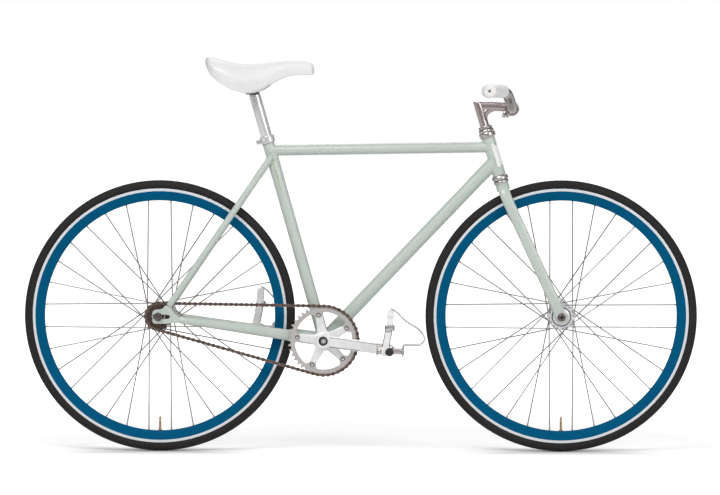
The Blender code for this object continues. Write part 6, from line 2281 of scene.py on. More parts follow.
@dataclass
class Fork:
    """Crown, two straight blades with flat tips, and the headset."""

    length: float = 0.3545
    rake: float = 0.0480
    kink: float = 0.3250
    crown_radius: float = 0.0165
    crown_height: float = 0.0170
    half_depth: float = 0.0135
    half_thick: float = 0.0080

    def build(self, shop: Workshop) -> None:
        """Make the blades, crown and every ring of the headset.

        Args:
            shop: the workshop that makes the pieces.
        """
        for side in Side:
            shop.piece(f"blade_{side.word}", self.blade(side), "frame",
                       "fork", "frame_paint", [f"fork_blade_{side.word}"],
                       40)
        low = self.length - self.crown_height - 0.001
        crown = lathe([(0.0116, low), (self.crown_radius, low),
                       (self.crown_radius, self.length - 0.0015),
                       (0.0180, self.length), (0.0180, self.length + 0.002),
                       (0.0127, self.length + 0.002)], STEER_FOOT, STEER_UP,
                      96, 0.0010, True)
        shop.piece("fork_crown", crown, "frame", "fork", "frame_paint",
                   ["fork_steerer"])
        steerer = pipe(STEER_FOOT + STEER_UP * self.length,
                       LOCKNUT_TOP - STEER_UP * 0.0016, 0.0127, 0.0116)
        shop.piece("steering_tube", steerer, "steel", "fork", "frame_paint")
        self.headset(shop)

    def blade(self, side: Side) -> Surface:
        """Straight blade from the crown's shoulder to its flat tip.

        Its middle line rises from the tip, bends inwards at the shoulder
        and runs into the crown; its section is a superellipse that thins
        to a flat round end about the axle.

        Args:
            side: the side that the part is on.

        Returns:
            The surface.
        """
        tip_y = 0.05305
        crown_up = self.length - self.crown_height / 2
        depth, thick = self.half_depth, self.half_thick

        rows = np.array([
            (-0.0136, tip_y, 0.0040, 0.0018), (-0.0122, tip_y, 0.0082, 0.0025),
            (-0.0085, tip_y, 0.0114, 0.0028), (-0.0020, tip_y, 0.0128, 0.0029),
            (0.0120, tip_y, 0.0130, 0.0030),
            (0.0240, tip_y - 0.0001, 0.0132, 0.0041),
            (0.0380, tip_y - 0.0003, 0.0134, 0.0060),
            (0.0600, tip_y - 0.0010, depth, 0.0072),
            (0.1200, tip_y - 0.0050, depth, 0.0078),
            (0.1800, tip_y - 0.0090, depth, thick),
            (0.2500, 0.0385, depth, thick), (0.3000, 0.0343, depth, thick),
            (0.3200, 0.0322, depth, thick), (0.3320, 0.0282, depth, thick),
            (0.3405, 0.0215, depth, 0.0076),
            (crown_up - 0.0006, 0.0130, depth, 0.0073),
            (crown_up, 0.0050, depth, 0.0072)])
        ahead = self.rake * (1.0 - rows[:, 0] / self.kink)
        ahead[12:] = (self.rake * (1.0 - 0.3165 / self.kink), 0.0006, 0.0,
                      0.0, 0.0)
        rows = np.insert(rows, 1, ahead, axis=1)

        def frame_of(table: Array) -> tuple[Array, Array, Array]:
            """Centres and half axes of the rings.

            Args:
                table: (n, m) array of stations.

            Returns:
                The centres and the two half axes.
            """
            climb = np.gradient(table[:, [0, 2]], axis=0)
            climb /= np.linalg.norm(climb, axis=1)[:, None]
            climb[table[:, 0] < 0.02] = (1.0, 0.0)
            centres = STEER_FOOT + table[:, :1] * STEER_UP \
                + table[:, 1:2] * STEER_AHEAD \
                + side.value * table[:, 2:3] * Y_AXIS
            outward = -climb[:, 1:2] * STEER_UP \
                + side.value * climb[:, :1] * Y_AXIS
            return (centres, table[:, 3:4] * STEER_AHEAD,
                    table[:, 4:5] * outward)

        return lofted(rows, 4, frame_of, 2.3, 44)

    def headset(self, shop: Workshop) -> None:
        """Lower cup and race, upper cup, washer and locknut, in chrome; the
        washer is black, as painted shade in the gap between nut and locknut.

        Args:
            shop: the workshop that makes the pieces.
        """
        lower = lathe([(0.0150, 0.0), (0.0165, 0.0), (0.0172, 0.0012),
                       (0.0186, 0.0026), (0.0200, 0.0060),
                       (0.0202, 0.0105), (0.0190, 0.0124),
                       (0.0150, 0.0124)], HEAD_FOOT, -STEER_UP, 96, 0.0008,
                      True)
        shop.piece("lower_cup", lower, "headset", "frame", "chrome",
                   ["headset_lower_cup"])
        race = lathe([(0.0128, 0.0018), (0.0186, 0.0018), (0.0192, 0.0034),
                      (0.0188, 0.0058), (0.0172, 0.0080),
                      (0.0128, 0.0084)],
                     STEER_FOOT + STEER_UP * self.length, STEER_UP, 96,
                     0.0007, True)
        shop.piece("crown_race", race, "headset", "fork", "chrome")
        upper = lathe([(0.0150, 0.0), (0.0165, 0.0), (0.0172, 0.0010),
                       (0.0188, 0.0022), (0.0200, 0.0048),
                       (0.0200, 0.0118), (0.0190, 0.0143),
                       (0.0150, 0.0143)], HEAD_TOP, STEER_UP, 96, 0.0008,
                      True)
        shop.piece("upper_cup", upper, "headset", "frame", "chrome",
                   ["headset_upper_cup"])
        base = HEAD_TOP + STEER_UP * 0.0150
        steps = 144
        nut = lathe([(0.0128, 0.0), (0.0184, 0.0), (0.0184, 0.0044),
                     (0.0176, 0.0058), (0.0176, 0.0064), (0.0128, 0.0064)],
                    base, STEER_UP, 96, 0.0005, True)
        washer = lathe([(0.0128, 0.0066), (0.0164, 0.0066),
                        (0.0164, 0.0080), (0.0128, 0.0080)], base, STEER_UP,
                       72, 0.0003, True)
        octagon = polygon(8, 0.0166, steps)
        ring = compass(*side_frame(STEER_UP), steps)
        rows = [base + STEER_UP * h + ring * np.minimum(octagon, r)[:, None]
                for h, r in ((0.0081, 0.0168), (0.0086, 0.0178),
                             (0.0138, 0.0178), (0.0148, 0.0162),
                             (0.0150, 0.0150))]
        rows += [base + STEER_UP * h + ring * r
                 for h, r in ((0.0150, 0.0134), (0.0144, 0.0128),
                              (0.0081, 0.0128))]
        locknut = skinned(np.array(rows), closed=True)
        shop.piece("locknut", [nut, locknut], "headset", "fork", "chrome",
                   ["headset_race_and_locknut"], 30)
        # A real washer, coloured black as painted shade in the gap between nut
        # and locknut.
        shop.piece("lock_washer", washer, "black", "fork", "chrome")


# Stem, handlebar and grips

@dataclass
class Cockpit:
    """Quill stem, clamp with its bolt, swept bar and two grips."""

    quill_radius: float = 0.0111
    height: float = 0.0480
    half_depth: float = 0.0112
    half_width: float = 0.0098
    clamp_radius: float = 0.0180
    clamp_half: float = 0.0180
    bar_radius: float = 0.0127
    bar_end_radius: float = 0.0111
    bar_rise: float = 0.0430
    bar_half: float = 0.2900
    sweep: float = math.radians(17.0)
    grip_length: float = 0.1150
    grip_radius: float = 0.0156
    end_wall: float = 0.0040

    def build(self, shop: Workshop) -> None:
        """Make the stem, the bar and its grips.

        Args:
            shop: the workshop that makes the pieces.
        """
        self.stem(shop)
        self.bar(shop)
        for side in Side:
            self.grip(shop, side)
        shop.dress("steel", "stem_expander")

    def stem(self, shop: Workshop) -> None:
        """Quill cut level at the top, an oval extension, and the clamp.

        Each point of the quill's upper rings lies where the tube's line
        from the locknut meets a level plane.  A web along a parabola fills
        the inner corner.

        Args:
            shop: the workshop that makes the pieces.
        """
        level = CLAMP_CENTRE[2] + 0.0056
        crest = level + self.half_depth
        low = LOCKNUT_TOP - STEER_UP * 0.0100
        rim = self.quill_radius * compass(STEER_AHEAD, Y_AXIS, 64)
        rings = [low + rim * 0.0, low + rim]
        for share, drop in ((1.0, 0.0040), (0.985, 0.0022), (0.93, 0.0008),
                            (0.82, 0.0), (0.40, 0.0), (0.0, 0.0)):
            foot = LOCKNUT_TOP + rim * share
            reach = (crest - drop - foot[:, 2]) / STEER_UP[2]
            rings.append(foot + reach[:, None] * STEER_UP)
        quill = skinned(np.array(rings))
        axis = LOCKNUT_TOP + STEER_UP * (level - LOCKNUT_TOP[2]) / STEER_UP[2]
        reach = np.array([axis - X_AXIS * 0.0040, axis + X_AXIS * 0.0200,
                          axis + X_AXIS * 0.0400, CLAMP_CENTRE
                          + np.array([-0.0060, 0.0, 0.0036])])
        arm = swept(spline(reach, 10), superellipse(
            self.half_width, self.half_depth, 2.7, 56), Y_AXIS)
        corner = axis + np.array([0.0110, 0.0, -0.0110])
        swing = np.linspace(0.0, 1.0, 17)[:, None]
        start = axis - STEER_UP * 0.0330 + STEER_AHEAD * 0.0030
        finish = axis + np.array([0.0360, 0.0, -0.0030])
        web = (1 - swing) ** 2 * start + 2 * swing * (1 - swing) * corner \
            + swing ** 2 * finish
        gusset = swept(web, superellipse(0.0088, 0.0088, 2.2, 40), Y_AXIS)
        half = self.clamp_half
        clamp = lathe([(self.bar_radius + 0.0002, -half),
                       (self.clamp_radius - 0.0012, -half),
                       (self.clamp_radius, 0.0022 - half),
                       (self.clamp_radius, half - 0.0022),
                       (self.clamp_radius - 0.0012, half),
                       (self.bar_radius + 0.0002, half)], CLAMP_CENTRE,
                      Y_AXIS, 96, 0.0010, True)
        lean = np.array([0.87, 0.0, -0.50])
        lean /= np.linalg.norm(lean)
        up = np.cross(lean, Y_AXIS)
        lug_at = CLAMP_CENTRE + np.array([-0.0135, 0.0, -0.0140])
        lug = box(lug_at, (0.0165, 0.0150, 0.0115), lean, up, 0.0024)
        shop.piece("stem_forging", [quill, arm, gusset, clamp, lug], "stem",
                   "stem", "polished_alloy", ["stem"], 35)
        bolt_way = np.cross(Y_AXIS, lean)
        bolt_at = lug_at - lean * 0.0035
        bolt = [lathe([(1e-6, 0.0), (0.0046, 0.0), (0.0046, 0.0042),
                       (0.0040, 0.0048), (0.0026, 0.0048),
                       (0.0024, 0.0026), (1e-6, 0.0026)],
                      bolt_at - bolt_way * 0.0052 * sign,
                      -bolt_way * sign, 30, 0.0004) for sign in (-1.0, 1.0)]
        shop.piece("clamp_bolt", bolt, "steel", "stem", "polished_alloy")
        # Thin black sheet across the clamp's lug: painted shade in its slit.
        slit_shade = box(CLAMP_CENTRE + np.array([-0.0152, 0.0, -0.0118]),
                   (0.0090, 2 * half + 0.0004, 0.0013),
                   np.array([0.78, 0.0, 0.62]), np.array([-0.62, 0, 0.78]),
                   0.0003)
        shop.piece("clamp_slit", slit_shade, "black", "stem", "polished_alloy")

    def bar_knots(self) -> Array:
        """Middle line of the right half, from the clamp outwards.

        Returns:
            (n, 3) array of places.
        """
        c = CLAMP_CENTRE
        end = np.array([c[0] - 0.0580, -self.bar_half, c[2] + self.bar_rise])
        way = np.array([math.sin(self.sweep), math.cos(self.sweep), 0.0])
        start = end + way * self.grip_length
        rise = self.bar_rise
        return np.array([
            c, c + (0.0, -0.034, 0.0), c + (-0.0005, -0.072, rise * 0.10),
            c + (-0.0050, -0.108, rise * 0.48),
            c + (-0.0130, -0.142, rise * 0.88), start,
            start + (end + way * 0.0045 - start) * 0.5,
            end + way * 0.0045])

    def bar(self, shop: Workshop) -> None:
        """Tube that tapers from the clamp's size over the bends.

        Args:
            shop: the workshop that makes the pieces.
        """
        half = spline(self.bar_knots(), 12)
        path = np.vstack([half[::-1], half[1:] * np.array([1, -1, 1])])
        count = len(half)
        share = np.clip((np.arange(count) / (count - 1)) / 0.62, 0, 1)
        radius = self.bar_radius + (self.bar_end_radius
                                    - self.bar_radius) * share
        scale = np.concatenate([radius[::-1], radius[1:]])
        tube = swept(path, circle(1.0, 56), Z_AXIS, False, scale)
        shop.piece("swept_bar", tube, "bar", "handlebar",
                   "polished_alloy", ["handlebar"])

    def grip(self, shop: Workshop, side: Side) -> None:
        """White sleeve with fine rings cut round it and a pierced end, its
        hole closed by a dark disc of painted shade.

        The radius along the sleeve is its size less a shallow groove at
        each ring, and it is rounded over at both ends.

        Args:
            shop: the workshop that makes the pieces.
            side: the side that the part is on.
        """
        knots = self.bar_knots()
        end, start = knots[-1], knots[5]
        way = (start - end) / np.linalg.norm(start - end)
        tip = end - way * self.end_wall
        length = self.grip_length
        t = np.linspace(0.004, length - 0.004, 300)
        groove = 0.00028 * np.clip(np.cos(TAU * t / 0.0038), 0, 1)
        groove *= (t > 0.010) & (t < length - 0.010)
        flare = 0.0010 * np.exp(-((t - length + 0.004) / 0.004) ** 2)
        flare += 0.0008 * np.exp(-((t - 0.004) / 0.004) ** 2)
        body = np.stack([self.grip_radius - groove + flare, t], axis=1)
        r = self.grip_radius
        profile = np.vstack([
            [(0.0034, 0.0036), (0.0034, 0.0006), (0.0042, 0.0),
             (r - 0.0052, 0.0), (r - 0.0022, 0.0008), (r - 0.0001, 0.0028)],
            body, [(r + 0.0004, length - 0.002), (r - 0.0012, length),
                   (0.0118, length), (0.0114, length - 0.0006),
                   (0.0114, 0.0040)]])
        sleeve = turned(profile, tip, way, 60, True)
        # Dark disc of painted shade inside the grip's open end.
        hole_shade = turned(np.array([(1e-6, 0.0034), (0.0034, 0.0034),
                                (0.0034, 0.0040), (1e-6, 0.0040)]), tip,
                      way, 24)
        if side is Side.LEFT:
            sleeve, hole_shade = sleeve.mirrored(), hole_shade.mirrored()
        shop.piece(f"grip_sleeve_{side.word}", sleeve, "grip", "handlebar",
                   "grip_rubber", [f"grip_{side.word}"], 50)
        shop.piece(f"grip_hole_{side.word}", hole_shade, "hole", "handlebar",
                   "grip_rubber")


# Seatpost and saddle

@dataclass
class Seat:
    """Seatpost, clamp, rails, moulded shell and padded cover."""

    post_radius: float = 0.0136
    rail_radius: float = 0.0035
    rail_y: float = 0.0220
    pad: float = 0.0060
    stations: tuple[tuple[float, float, float, float], ...] = (
        (-0.1184, 0.0757, 0.0727, 0.0030), (-0.1178, 0.0785, 0.0695, 0.0120),
        (-0.1160, 0.0814, 0.0650, 0.0220), (-0.1120, 0.0838, 0.0565, 0.0350),
        (-0.1055, 0.0846, 0.0442, 0.0490), (-0.0925, 0.0810, 0.0302, 0.0620),
        (-0.0675, 0.0752, 0.0132, 0.0700), (-0.0405, 0.0698, 0.0022, 0.0690),
        (-0.0115, 0.0678, -0.0036, 0.0590), (0.0215, 0.0696, 0.0034, 0.0450),
        (0.0505, 0.0722, 0.0225, 0.0330), (0.0815, 0.0750, 0.0366, 0.0265),
        (0.1115, 0.0756, 0.0417, 0.0225), (0.1330, 0.0730, 0.0420, 0.0200),
        (0.1440, 0.0685, 0.0422, 0.0165), (0.1484, 0.0610, 0.0430, 0.0100),
        (0.1496, 0.0570, 0.0455, 0.0035))

    def build(self, shop: Workshop) -> None:
        """Make the post and everything on it.

        Args:
            shop: the workshop that makes the pieces.
        """
        self.post(shop)
        self.clamp(shop)
        cover = shop.piece("saddle_skin", self.cover(), "vinyl", "saddle",
                           "white_vinyl", ["saddle_cover"], 60)
        shop.piece("saddle_base", self.base(), "shell", "saddle",
                   "white_vinyl", ["saddle_shell"], 60)
        shop.piece("rails", self.rails(), "dark", "saddle", "dark_steel",
                   ["saddle_rails"])

    def post(self, shop: Workshop) -> None:
        """Polished tube with a rounded end and a short cross barrel.

        Args:
            shop: the workshop that makes the pieces.
        """
        foot = BRACKET + SEAT_UP * 0.4105
        top = TILT_POINT - SEAT_UP * 0.0060
        length = float(np.linalg.norm(top - foot))
        r = self.post_radius
        tube = lathe([(1e-6, 0.0), (r, 0.0), (r, length - 0.0060),
                      (r - 0.0018, length - 0.0008), (r - 0.0050, length),
                      (1e-6, length)], foot, SEAT_UP, 80, 0.0010)
        head = lathe([(1e-6, -0.0142), (0.0085, -0.0142), (0.0085, 0.0142),
                      (1e-6, 0.0142)], TILT_POINT, Y_AXIS, 48, 0.0010)
        shop.piece("post_tube", [tube, head], "alloy", "seatpost",
                   "polished_alloy", ["seatpost"])

    def clamp(self, shop: Workshop) -> None:
        """Plate over the rails and a cheek on each side.

        Args:
            shop: the workshop that makes the pieces.
        """
        centre = TILT_POINT + Z_AXIS * 0.0070
        upper = box(centre + Z_AXIS * 0.0005, (0.0300, 0.0560, 0.0085),
                    edge=0.0018)
        cheeks = [box(TILT_POINT + np.array([-0.0020, s * 0.0196, -0.0012]),
                      (0.0310, 0.0100, 0.0190), edge=0.0024)
                  for s in (-1.0, 1.0)]
        shop.piece("rail_clamp", [upper] + cheeks, "dark", "saddle",
                   "dark_steel", ["saddle_clamp"])

    def form(self, inset: float, rows: int = 84, columns: int = 56
             ) -> Array:
        """Grid over the saddle's outside, drawn in by an inset.

        Ring i is the section at one distance along the saddle.  From edge
        to edge the angle a runs from 0 to pi; the section's point is
        (half width times cos a to the 0.75, edge + height times sin a to
        the 0.8), drawn in a little at the skirt.

        Args:
            inset: how far the grid is drawn in.
            rows: number of sections.
            columns: points in a section.

        Returns:
            (rows, columns, 3) array of places.
        """
        fine = spline(self.stations, 12)
        keep = np.linspace(0, len(fine) - 1, rows)
        index = np.arange(len(fine))
        ahead, top, edge, half = (np.interp(keep, index, fine[:, k])
                                  for k in range(4))
        span = ahead[-1] - ahead[0]
        ahead = ahead[0] + inset + (ahead - ahead[0]) * (span - 2 * inset) \
            / span
        half = np.maximum(half - inset, 0.003)
        crest = np.maximum(top - inset, edge + 0.003)
        a = np.linspace(0.0, math.pi, columns)
        c, s = np.cos(a), np.abs(np.sin(a))
        y = np.sign(c) * np.abs(c) ** 0.75
        y = y * (0.90 + 0.10 * np.minimum(1.0, s * 2.2))
        z = s ** 0.8
        height = crest - edge
        dip = 0.0016 * np.exp(-(c / 0.28) ** 2) * np.clip(
            1.0 - np.abs((ahead[:, None] + 0.02) / 0.09), 0.0, 1.0)
        return TILT_POINT - Z_AXIS * 0.0032 + np.stack([
            np.broadcast_to(ahead[:, None], (rows, columns)),
            half[:, None] * y[None], edge[:, None]
            + height[:, None] * z[None] - dip], axis=2)

    def cover(self) -> Surface:
        """Padded skin with a rolled lower edge, turned in underneath.

        Returns:
            The surface.
        """
        outer = self.form(0.0)
        inner = self.form(self.pad)[:, ::-1]
        inner[:, 0, 2] = outer[:, -1, 2]
        inner[:, -1, 2] = outer[:, 0, 2]
        mid_low = (outer[:, -1] + inner[:, 0]) / 2 - Z_AXIS * 0.0012
        mid_high = (outer[:, 0] + inner[:, -1]) / 2 - Z_AXIS * 0.0012
        rings = np.concatenate([outer, mid_low[:, None], inner,
                                mid_high[:, None]], axis=1)
        return skinned(rings)

    def base(self) -> Surface:
        """Thin moulded shell inside the cover.

        Returns:
            The surface.
        """
        outer = self.form(self.pad + 0.0004)
        inner = self.form(self.pad + 0.0028)[:, ::-1]
        return skinned(np.concatenate([outer, inner], axis=1))

    def rails(self) -> Surface:
        """One wire, bent from socket to socket round the nose.

        Returns:
            The surface.
        """
        y = self.rail_y
        side = np.array([
            (-0.0800, y + 0.004, 0.0340), (-0.0715, y + 0.004, 0.0305),
            (-0.0600, y + 0.002, 0.0215), (-0.0420, y + 0.001, 0.0105),
            (-0.0260, y, 0.0030), (-0.0100, y, 0.0020), (0.0100, y, 0.0020),
            (0.0220, y - 0.001, 0.0040), (0.0350, y - 0.004, 0.0120),
            (0.0520, y - 0.009, 0.0290), (0.0760, y - 0.013, 0.0455),
            (0.0960, 0.0070, 0.0518), (0.1010, 0.0, 0.0525)])
        right = side * np.array([1, -1, 1])
        knots = TILT_POINT + np.vstack([right, side[::-1][1:]])
        return swept(spline(knots, 6), circle(self.rail_radius, 16), Z_AXIS)


# Pedals

@dataclass
class Pedal:
    """Quill pedal: barrel, cage, black cap, wire toe clip and strap."""

    side: Side
    face: float = 0.0750
    offset: float = 0.0090
    length: float = 0.0640
    width: float = 0.0760
    height: float = 0.0240
    plate: float = 0.0022
    barrel: float = 0.0090
    cap: float = 0.0101
    wire: float = 0.0016
    strap_half: float = 0.0082
    strap_thick: float = 0.0022

    @property
    def body(self) -> str:
        """The CAD body that the pedal is."""
        return f"pedal_{self.side.word}"

    @property
    def axis(self) -> Array:
        """The pedal spindle's place in the centre plane."""
        return BRACKET + CRANK_ALONG * CRANK_LENGTH * -self.side.value

    def at(self, x: float, y: float, z: float) -> Array:
        """Place given from the spindle, y counted outwards."""
        return self.axis + np.array([x, self.side.value * y, z])

    def build(self, shop: Workshop) -> None:
        """Make every piece of the pedal.

        Args:
            shop: the workshop that makes the pieces.
        """
        word = self.side.word
        shop.piece(f"pedal_cage_{word}", self.cage(), "warm_alloy", self.body,
                   "polished_alloy", [f"pedal_body_{word}"])
        shop.piece(f"pedal_cap_{word}", self.caps(), "black", self.body,
                   "polished_alloy")
        shop.piece(f"clip_wire_{word}", self.clip(), "wire", self.body,
                   "chrome", [f"toe_clip_{word}"])
        shop.piece(f"strap_{word}", self.strap(), "leather", self.body,
                   "strap_leather", [f"toe_strap_{word}"], 50)
        shop.piece(f"strap_edges_{word}", self.strap_edges(), "nut",
                   self.body, "strap_leather")
        shop.piece(f"buckle_{word}", self.buckle(), "steel", self.body,
                   "strap_leather")
        shop.piece(f"buckle_edge_{word}", self.buckle_edge(), "dark",
                   self.body, "strap_leather")

    def cage(self) -> list[Surface]:
        """Barrel, two end bars, toothed side plates and their outer bow.

        Each side plate is a strip whose upper and lower edges rise and fall
        as half height times (1 + 0.085 cos) of the place along it, six
        times over, for grip.

        Returns:
            The surfaces that make it up.
        """
        inner = self.face + self.offset
        outer = inner + self.width
        y = Y_AXIS * self.side.value
        parts = [lathe([(0.0056, inner - 0.0030), (0.0104, inner - 0.0030),
                        (0.0104, inner + 0.0090), (self.barrel - 0.0012,
                        inner + 0.0150), (self.barrel - 0.0012,
                        outer - 0.0200), (self.barrel, outer - 0.0120),
                        (self.barrel, outer - 0.0050), (0.0056,
                        outer - 0.0050)], self.axis, y, 48, 0.0010, True)]
        for place in (inner + 0.0060, outer - 0.0090):
            parts.append(box(self.at(0.0, place, 0.0),
                             (self.length - self.plate, 0.0052, 0.0100),
                             edge=0.0016))
        for way in (-1.0, 1.0):
            parts.append(self.toothed(way, inner, outer))
        path = np.array([self.at(
            (self.length / 2 - self.plate / 2) * math.sin(turn),
            outer - 0.0120 + 0.0060 * math.cos(turn), 0.0)
            for turn in np.linspace(-math.pi / 2, math.pi / 2, 25)])
        section = superellipse(0.0011, 0.0062, 3.0, 20)
        guide = np.cross(np.gradient(path, axis=0), Z_AXIS)
        guide /= np.linalg.norm(guide, axis=1)[:, None]
        parts.append(swept(path, section, guide))
        return parts

    def toothed(self, way: float, inner: float, outer: float) -> Surface:
        """Side plate with a wavy upper and lower edge.

        Args:
            way: 1 for the front plate, -1 for the back one.
            inner: distance of its inner end from the middle.
            outer: distance of its outer end.

        Returns:
            The surface.
        """
        t = np.linspace(0.0, 1.0, 97)
        wave = 1.0 + 0.085 * np.cos(TAU * 6 * t)
        half = self.height / 2 * wave * np.minimum(
            1.0, 0.62 + 5.0 * np.minimum(t, 1 - t))
        thick = self.plate / 2
        x = way * (self.length / 2 - thick)
        section = rounded([(-1, -1), (1, -1), (1, 1), (-1, 1)], 0.18, True,
                          2)
        along = inner + (outer - inner) * t
        points = np.stack([
            np.full((97, len(section)), x) + section[None, :, 0] * thick,
            np.broadcast_to(self.side.value * along[:, None],
                            (97, len(section))),
            half[:, None] * section[None, :, 1]], axis=2)
        rings = self.axis + points
        if self.side is Side.LEFT:
            rings = rings[:, ::-1]
        return skinned(rings)

    def caps(self) -> list[Surface]:
        """Black dust cap with a slotted face, on the outer end.

        Returns:
            The surfaces that make it up.
        """
        outer = self.face + self.offset + self.width
        y = Y_AXIS * self.side.value
        cap = lathe([(1e-6, outer - 0.0060), (0.0060, outer - 0.0060),
                     (0.0060, outer - 0.0006), (self.cap, outer - 0.0006),
                     (self.cap, outer + 0.0010),
                     (self.cap - 0.0012, outer + 0.0022), (0.0060,
                     outer + 0.0022), (0.0055, outer + 0.0014), (1e-6,
                     outer + 0.0014)], self.axis, y, 56, 0.0005)
        bar = box(self.at(0.0, outer + 0.0016, 0.0), (0.0090, 0.0012,
                  0.0016), edge=0.0003)
        return [cap, bar]

    def clip(self) -> list[Surface]:
        """Chrome wire from the cage over the toe, and back on the far side.

        Both feet are joined by a short plate on the front of the cage.

        Returns:
            The surfaces that make it up.
        """
        front = self.length / 2 + self.wire + 0.0003
        half = self.width * 0.30
        rise = self.height / 2
        middle = self.face + self.offset + self.width / 2
        run = np.array([
            (front, half, -rise + 0.0030), (front, half, rise + 0.0008),
            (front + 0.0030, half, rise + 0.0026),
            (front + 0.0130, half, rise + 0.0030),
            (0.0600, half * 0.98, 0.0150), (0.0710, half * 0.96, 0.0152),
            (0.0800, half * 0.92, 0.0200), (0.0848, half * 0.86, 0.0290),
            (0.0810, half * 0.78, 0.0410), (0.0690, half * 0.68, 0.0550),
            (0.0500, half * 0.56, 0.0665), (0.0330, half * 0.46, 0.0790),
            (0.0200, half * 0.38, 0.0925), (0.0090, half * 0.30, 0.1015),
            (0.0030, half * 0.14, 0.1030)])
        near = run * np.array([1.0, self.side.value, 1.0])
        far = near * np.array([1.0, -1.0, 1.0])
        knots = self.axis + Y_AXIS * self.side.value * middle \
            + np.vstack([near, far[::-1]])
        wire = swept(spline(knots, 5), circle(self.wire, 12), X_AXIS)
        foot = box(self.at(self.length / 2 + 0.0009, middle, 0.0015),
                   (0.0014, 2 * half + 0.0060, 0.0150), edge=0.0006)
        return [wire, foot]

    def strap_path(self) -> Array:
        """Closed middle line of the strap, in the plane across the bike.

        Returns:
            (n, 3) array of distance outwards, height and x.
        """
        inner = self.face + self.offset
        outer = inner + self.width
        near, far = inner - 0.0025, outer - 0.0030
        middle = (inner + outer) / 2
        high = 0.1011 - self.wire - self.strap_thick / 2
        return np.array([
            (near + 0.006, -0.0082, -0.0115), (middle, -0.0088, -0.0115),
            (far - 0.006, -0.0082, -0.0115), (far, -0.0025, -0.0110),
            (far + 0.001, 0.020, -0.0080), (far - 0.002, 0.050, -0.0020),
            (far - 0.014, 0.077, 0.0010), (middle + 0.020, 0.092, 0.0020),
            (middle, high + 0.0004, 0.0025), (middle - 0.020, 0.092, 0.0020),
            (near + 0.010, 0.077, 0.0010), (near + 0.001, 0.050, -0.0020),
            (near - 0.001, 0.020, -0.0080), (near, -0.0025, -0.0110)])

    def loop(self, knots: Array, per_span: int) -> Array:
        """Smooth closed path through knots, by the same cubic as spline.

        Args:
            knots: (n, m) array of knots.
            per_span: points in each span.

        Returns:
            The path, per_span points to each knot.
        """
        t = (np.arange(per_span) / per_span)[None, :, None]
        a, b, c, d = (np.roll(knots, 1 - i, axis=0)[:, None]
                      for i in range(4))
        path = 0.5 * (2 * b + (c - a) * t
                      + (2 * a - 5 * b + 4 * c - d) * t ** 2
                      + (3 * b - a - 3 * c + d) * t ** 3)
        return path.reshape(-1, knots.shape[1])

    def strap(self) -> list[Surface]:
        """Flat leather band with rounded edges.

        The band's section is a superellipse, wide along X; its path runs
        under the barrel, up both sides and over the toe.

        Returns:
            The surfaces that make it up.
        """
        flat = self.loop(self.strap_path(), 8)
        path = self.axis + np.stack([
            flat[:, 2], self.side.value * flat[:, 0], flat[:, 1]], axis=1)
        section = superellipse(self.strap_half, self.strap_thick / 2, 5.0,
                               28)
        return [swept(path, section, X_AXIS, True)]

    def strap_edges(self) -> list[Surface]:
        """Dark stitched edges of the strap between pedal and buckle.

        Returns:
            The surfaces that make it up.
        """
        flat = self.loop(self.strap_path(), 8)
        outer = self.face + self.offset + self.width
        keep = (flat[:, 0] > outer - 0.010) & (flat[:, 1] > 0.012) \
            & (flat[:, 1] < 0.056)
        path = self.axis + np.stack([
            flat[keep, 2], self.side.value * flat[keep, 0], flat[keep, 1]],
            axis=1)
        path = path[np.argsort(path[:, 2])]
        return [swept(path + X_AXIS * s * (self.strap_half - 0.0004),
                      circle(0.0012, 12), X_AXIS) for s in (-1.0, 1.0)]

    def buckle(self) -> list[Surface]:
        """Sprung metal buckle: a folded plate with two rollers.

        Returns:
            The surfaces that make it up.
        """
        outer = self.face + self.offset + self.width + 0.0055
        centre = self.at(0.0005, outer - 0.0095, 0.0590)
        plate = box(centre, (0.0214, 0.0072, 0.0128), edge=0.0016)
        x = X_AXIS * 0.0115
        rollers = [capsule_path(centre + offset - x, centre + offset + x,
                                0.0021, 20)
                   for offset in (self.offset_of(0.0040, 0.0052),
                                  self.offset_of(0.0040, -0.0052))]
        return [plate] + rollers

    def offset_of(self, y: float, z: float) -> Array:
        """Shift outwards and upwards."""
        return np.array([0.0, self.side.value * y, z])

    def buckle_edge(self) -> list[Surface]:
        """Dark cheeks at both ends of the buckle.

        Returns:
            The surfaces that make it up.
        """
        outer = self.face + self.offset + self.width + 0.0055
        return [box(self.at(0.0005 + s * 0.0112, outer - 0.0089, 0.0590),
                    (0.0014, 0.0096, 0.0150), edge=0.0005)
                for s in (-1.0, 1.0)]


# Studio

@dataclass(frozen=True)
class Panel:
    """One soft rectangular light."""

    name: str
    place: Triple
    target: Triple
    size: tuple[float, float]
    watts: float

    def build(self) -> None:
        """Hang the light and turn it to its target."""
        light = bpy.data.lights.new(self.name, "AREA")
        light.shape = "RECTANGLE"
        light.size, light.size_y = self.size
        light.energy = self.watts
        item = bpy.data.objects.new(self.name, light)
        item.location = self.place
        way = Vector(self.target) - Vector(self.place)
        item.rotation_euler = way.to_track_quat("-Z", "Y").to_euler()
        bpy.context.scene.collection.objects.link(item)


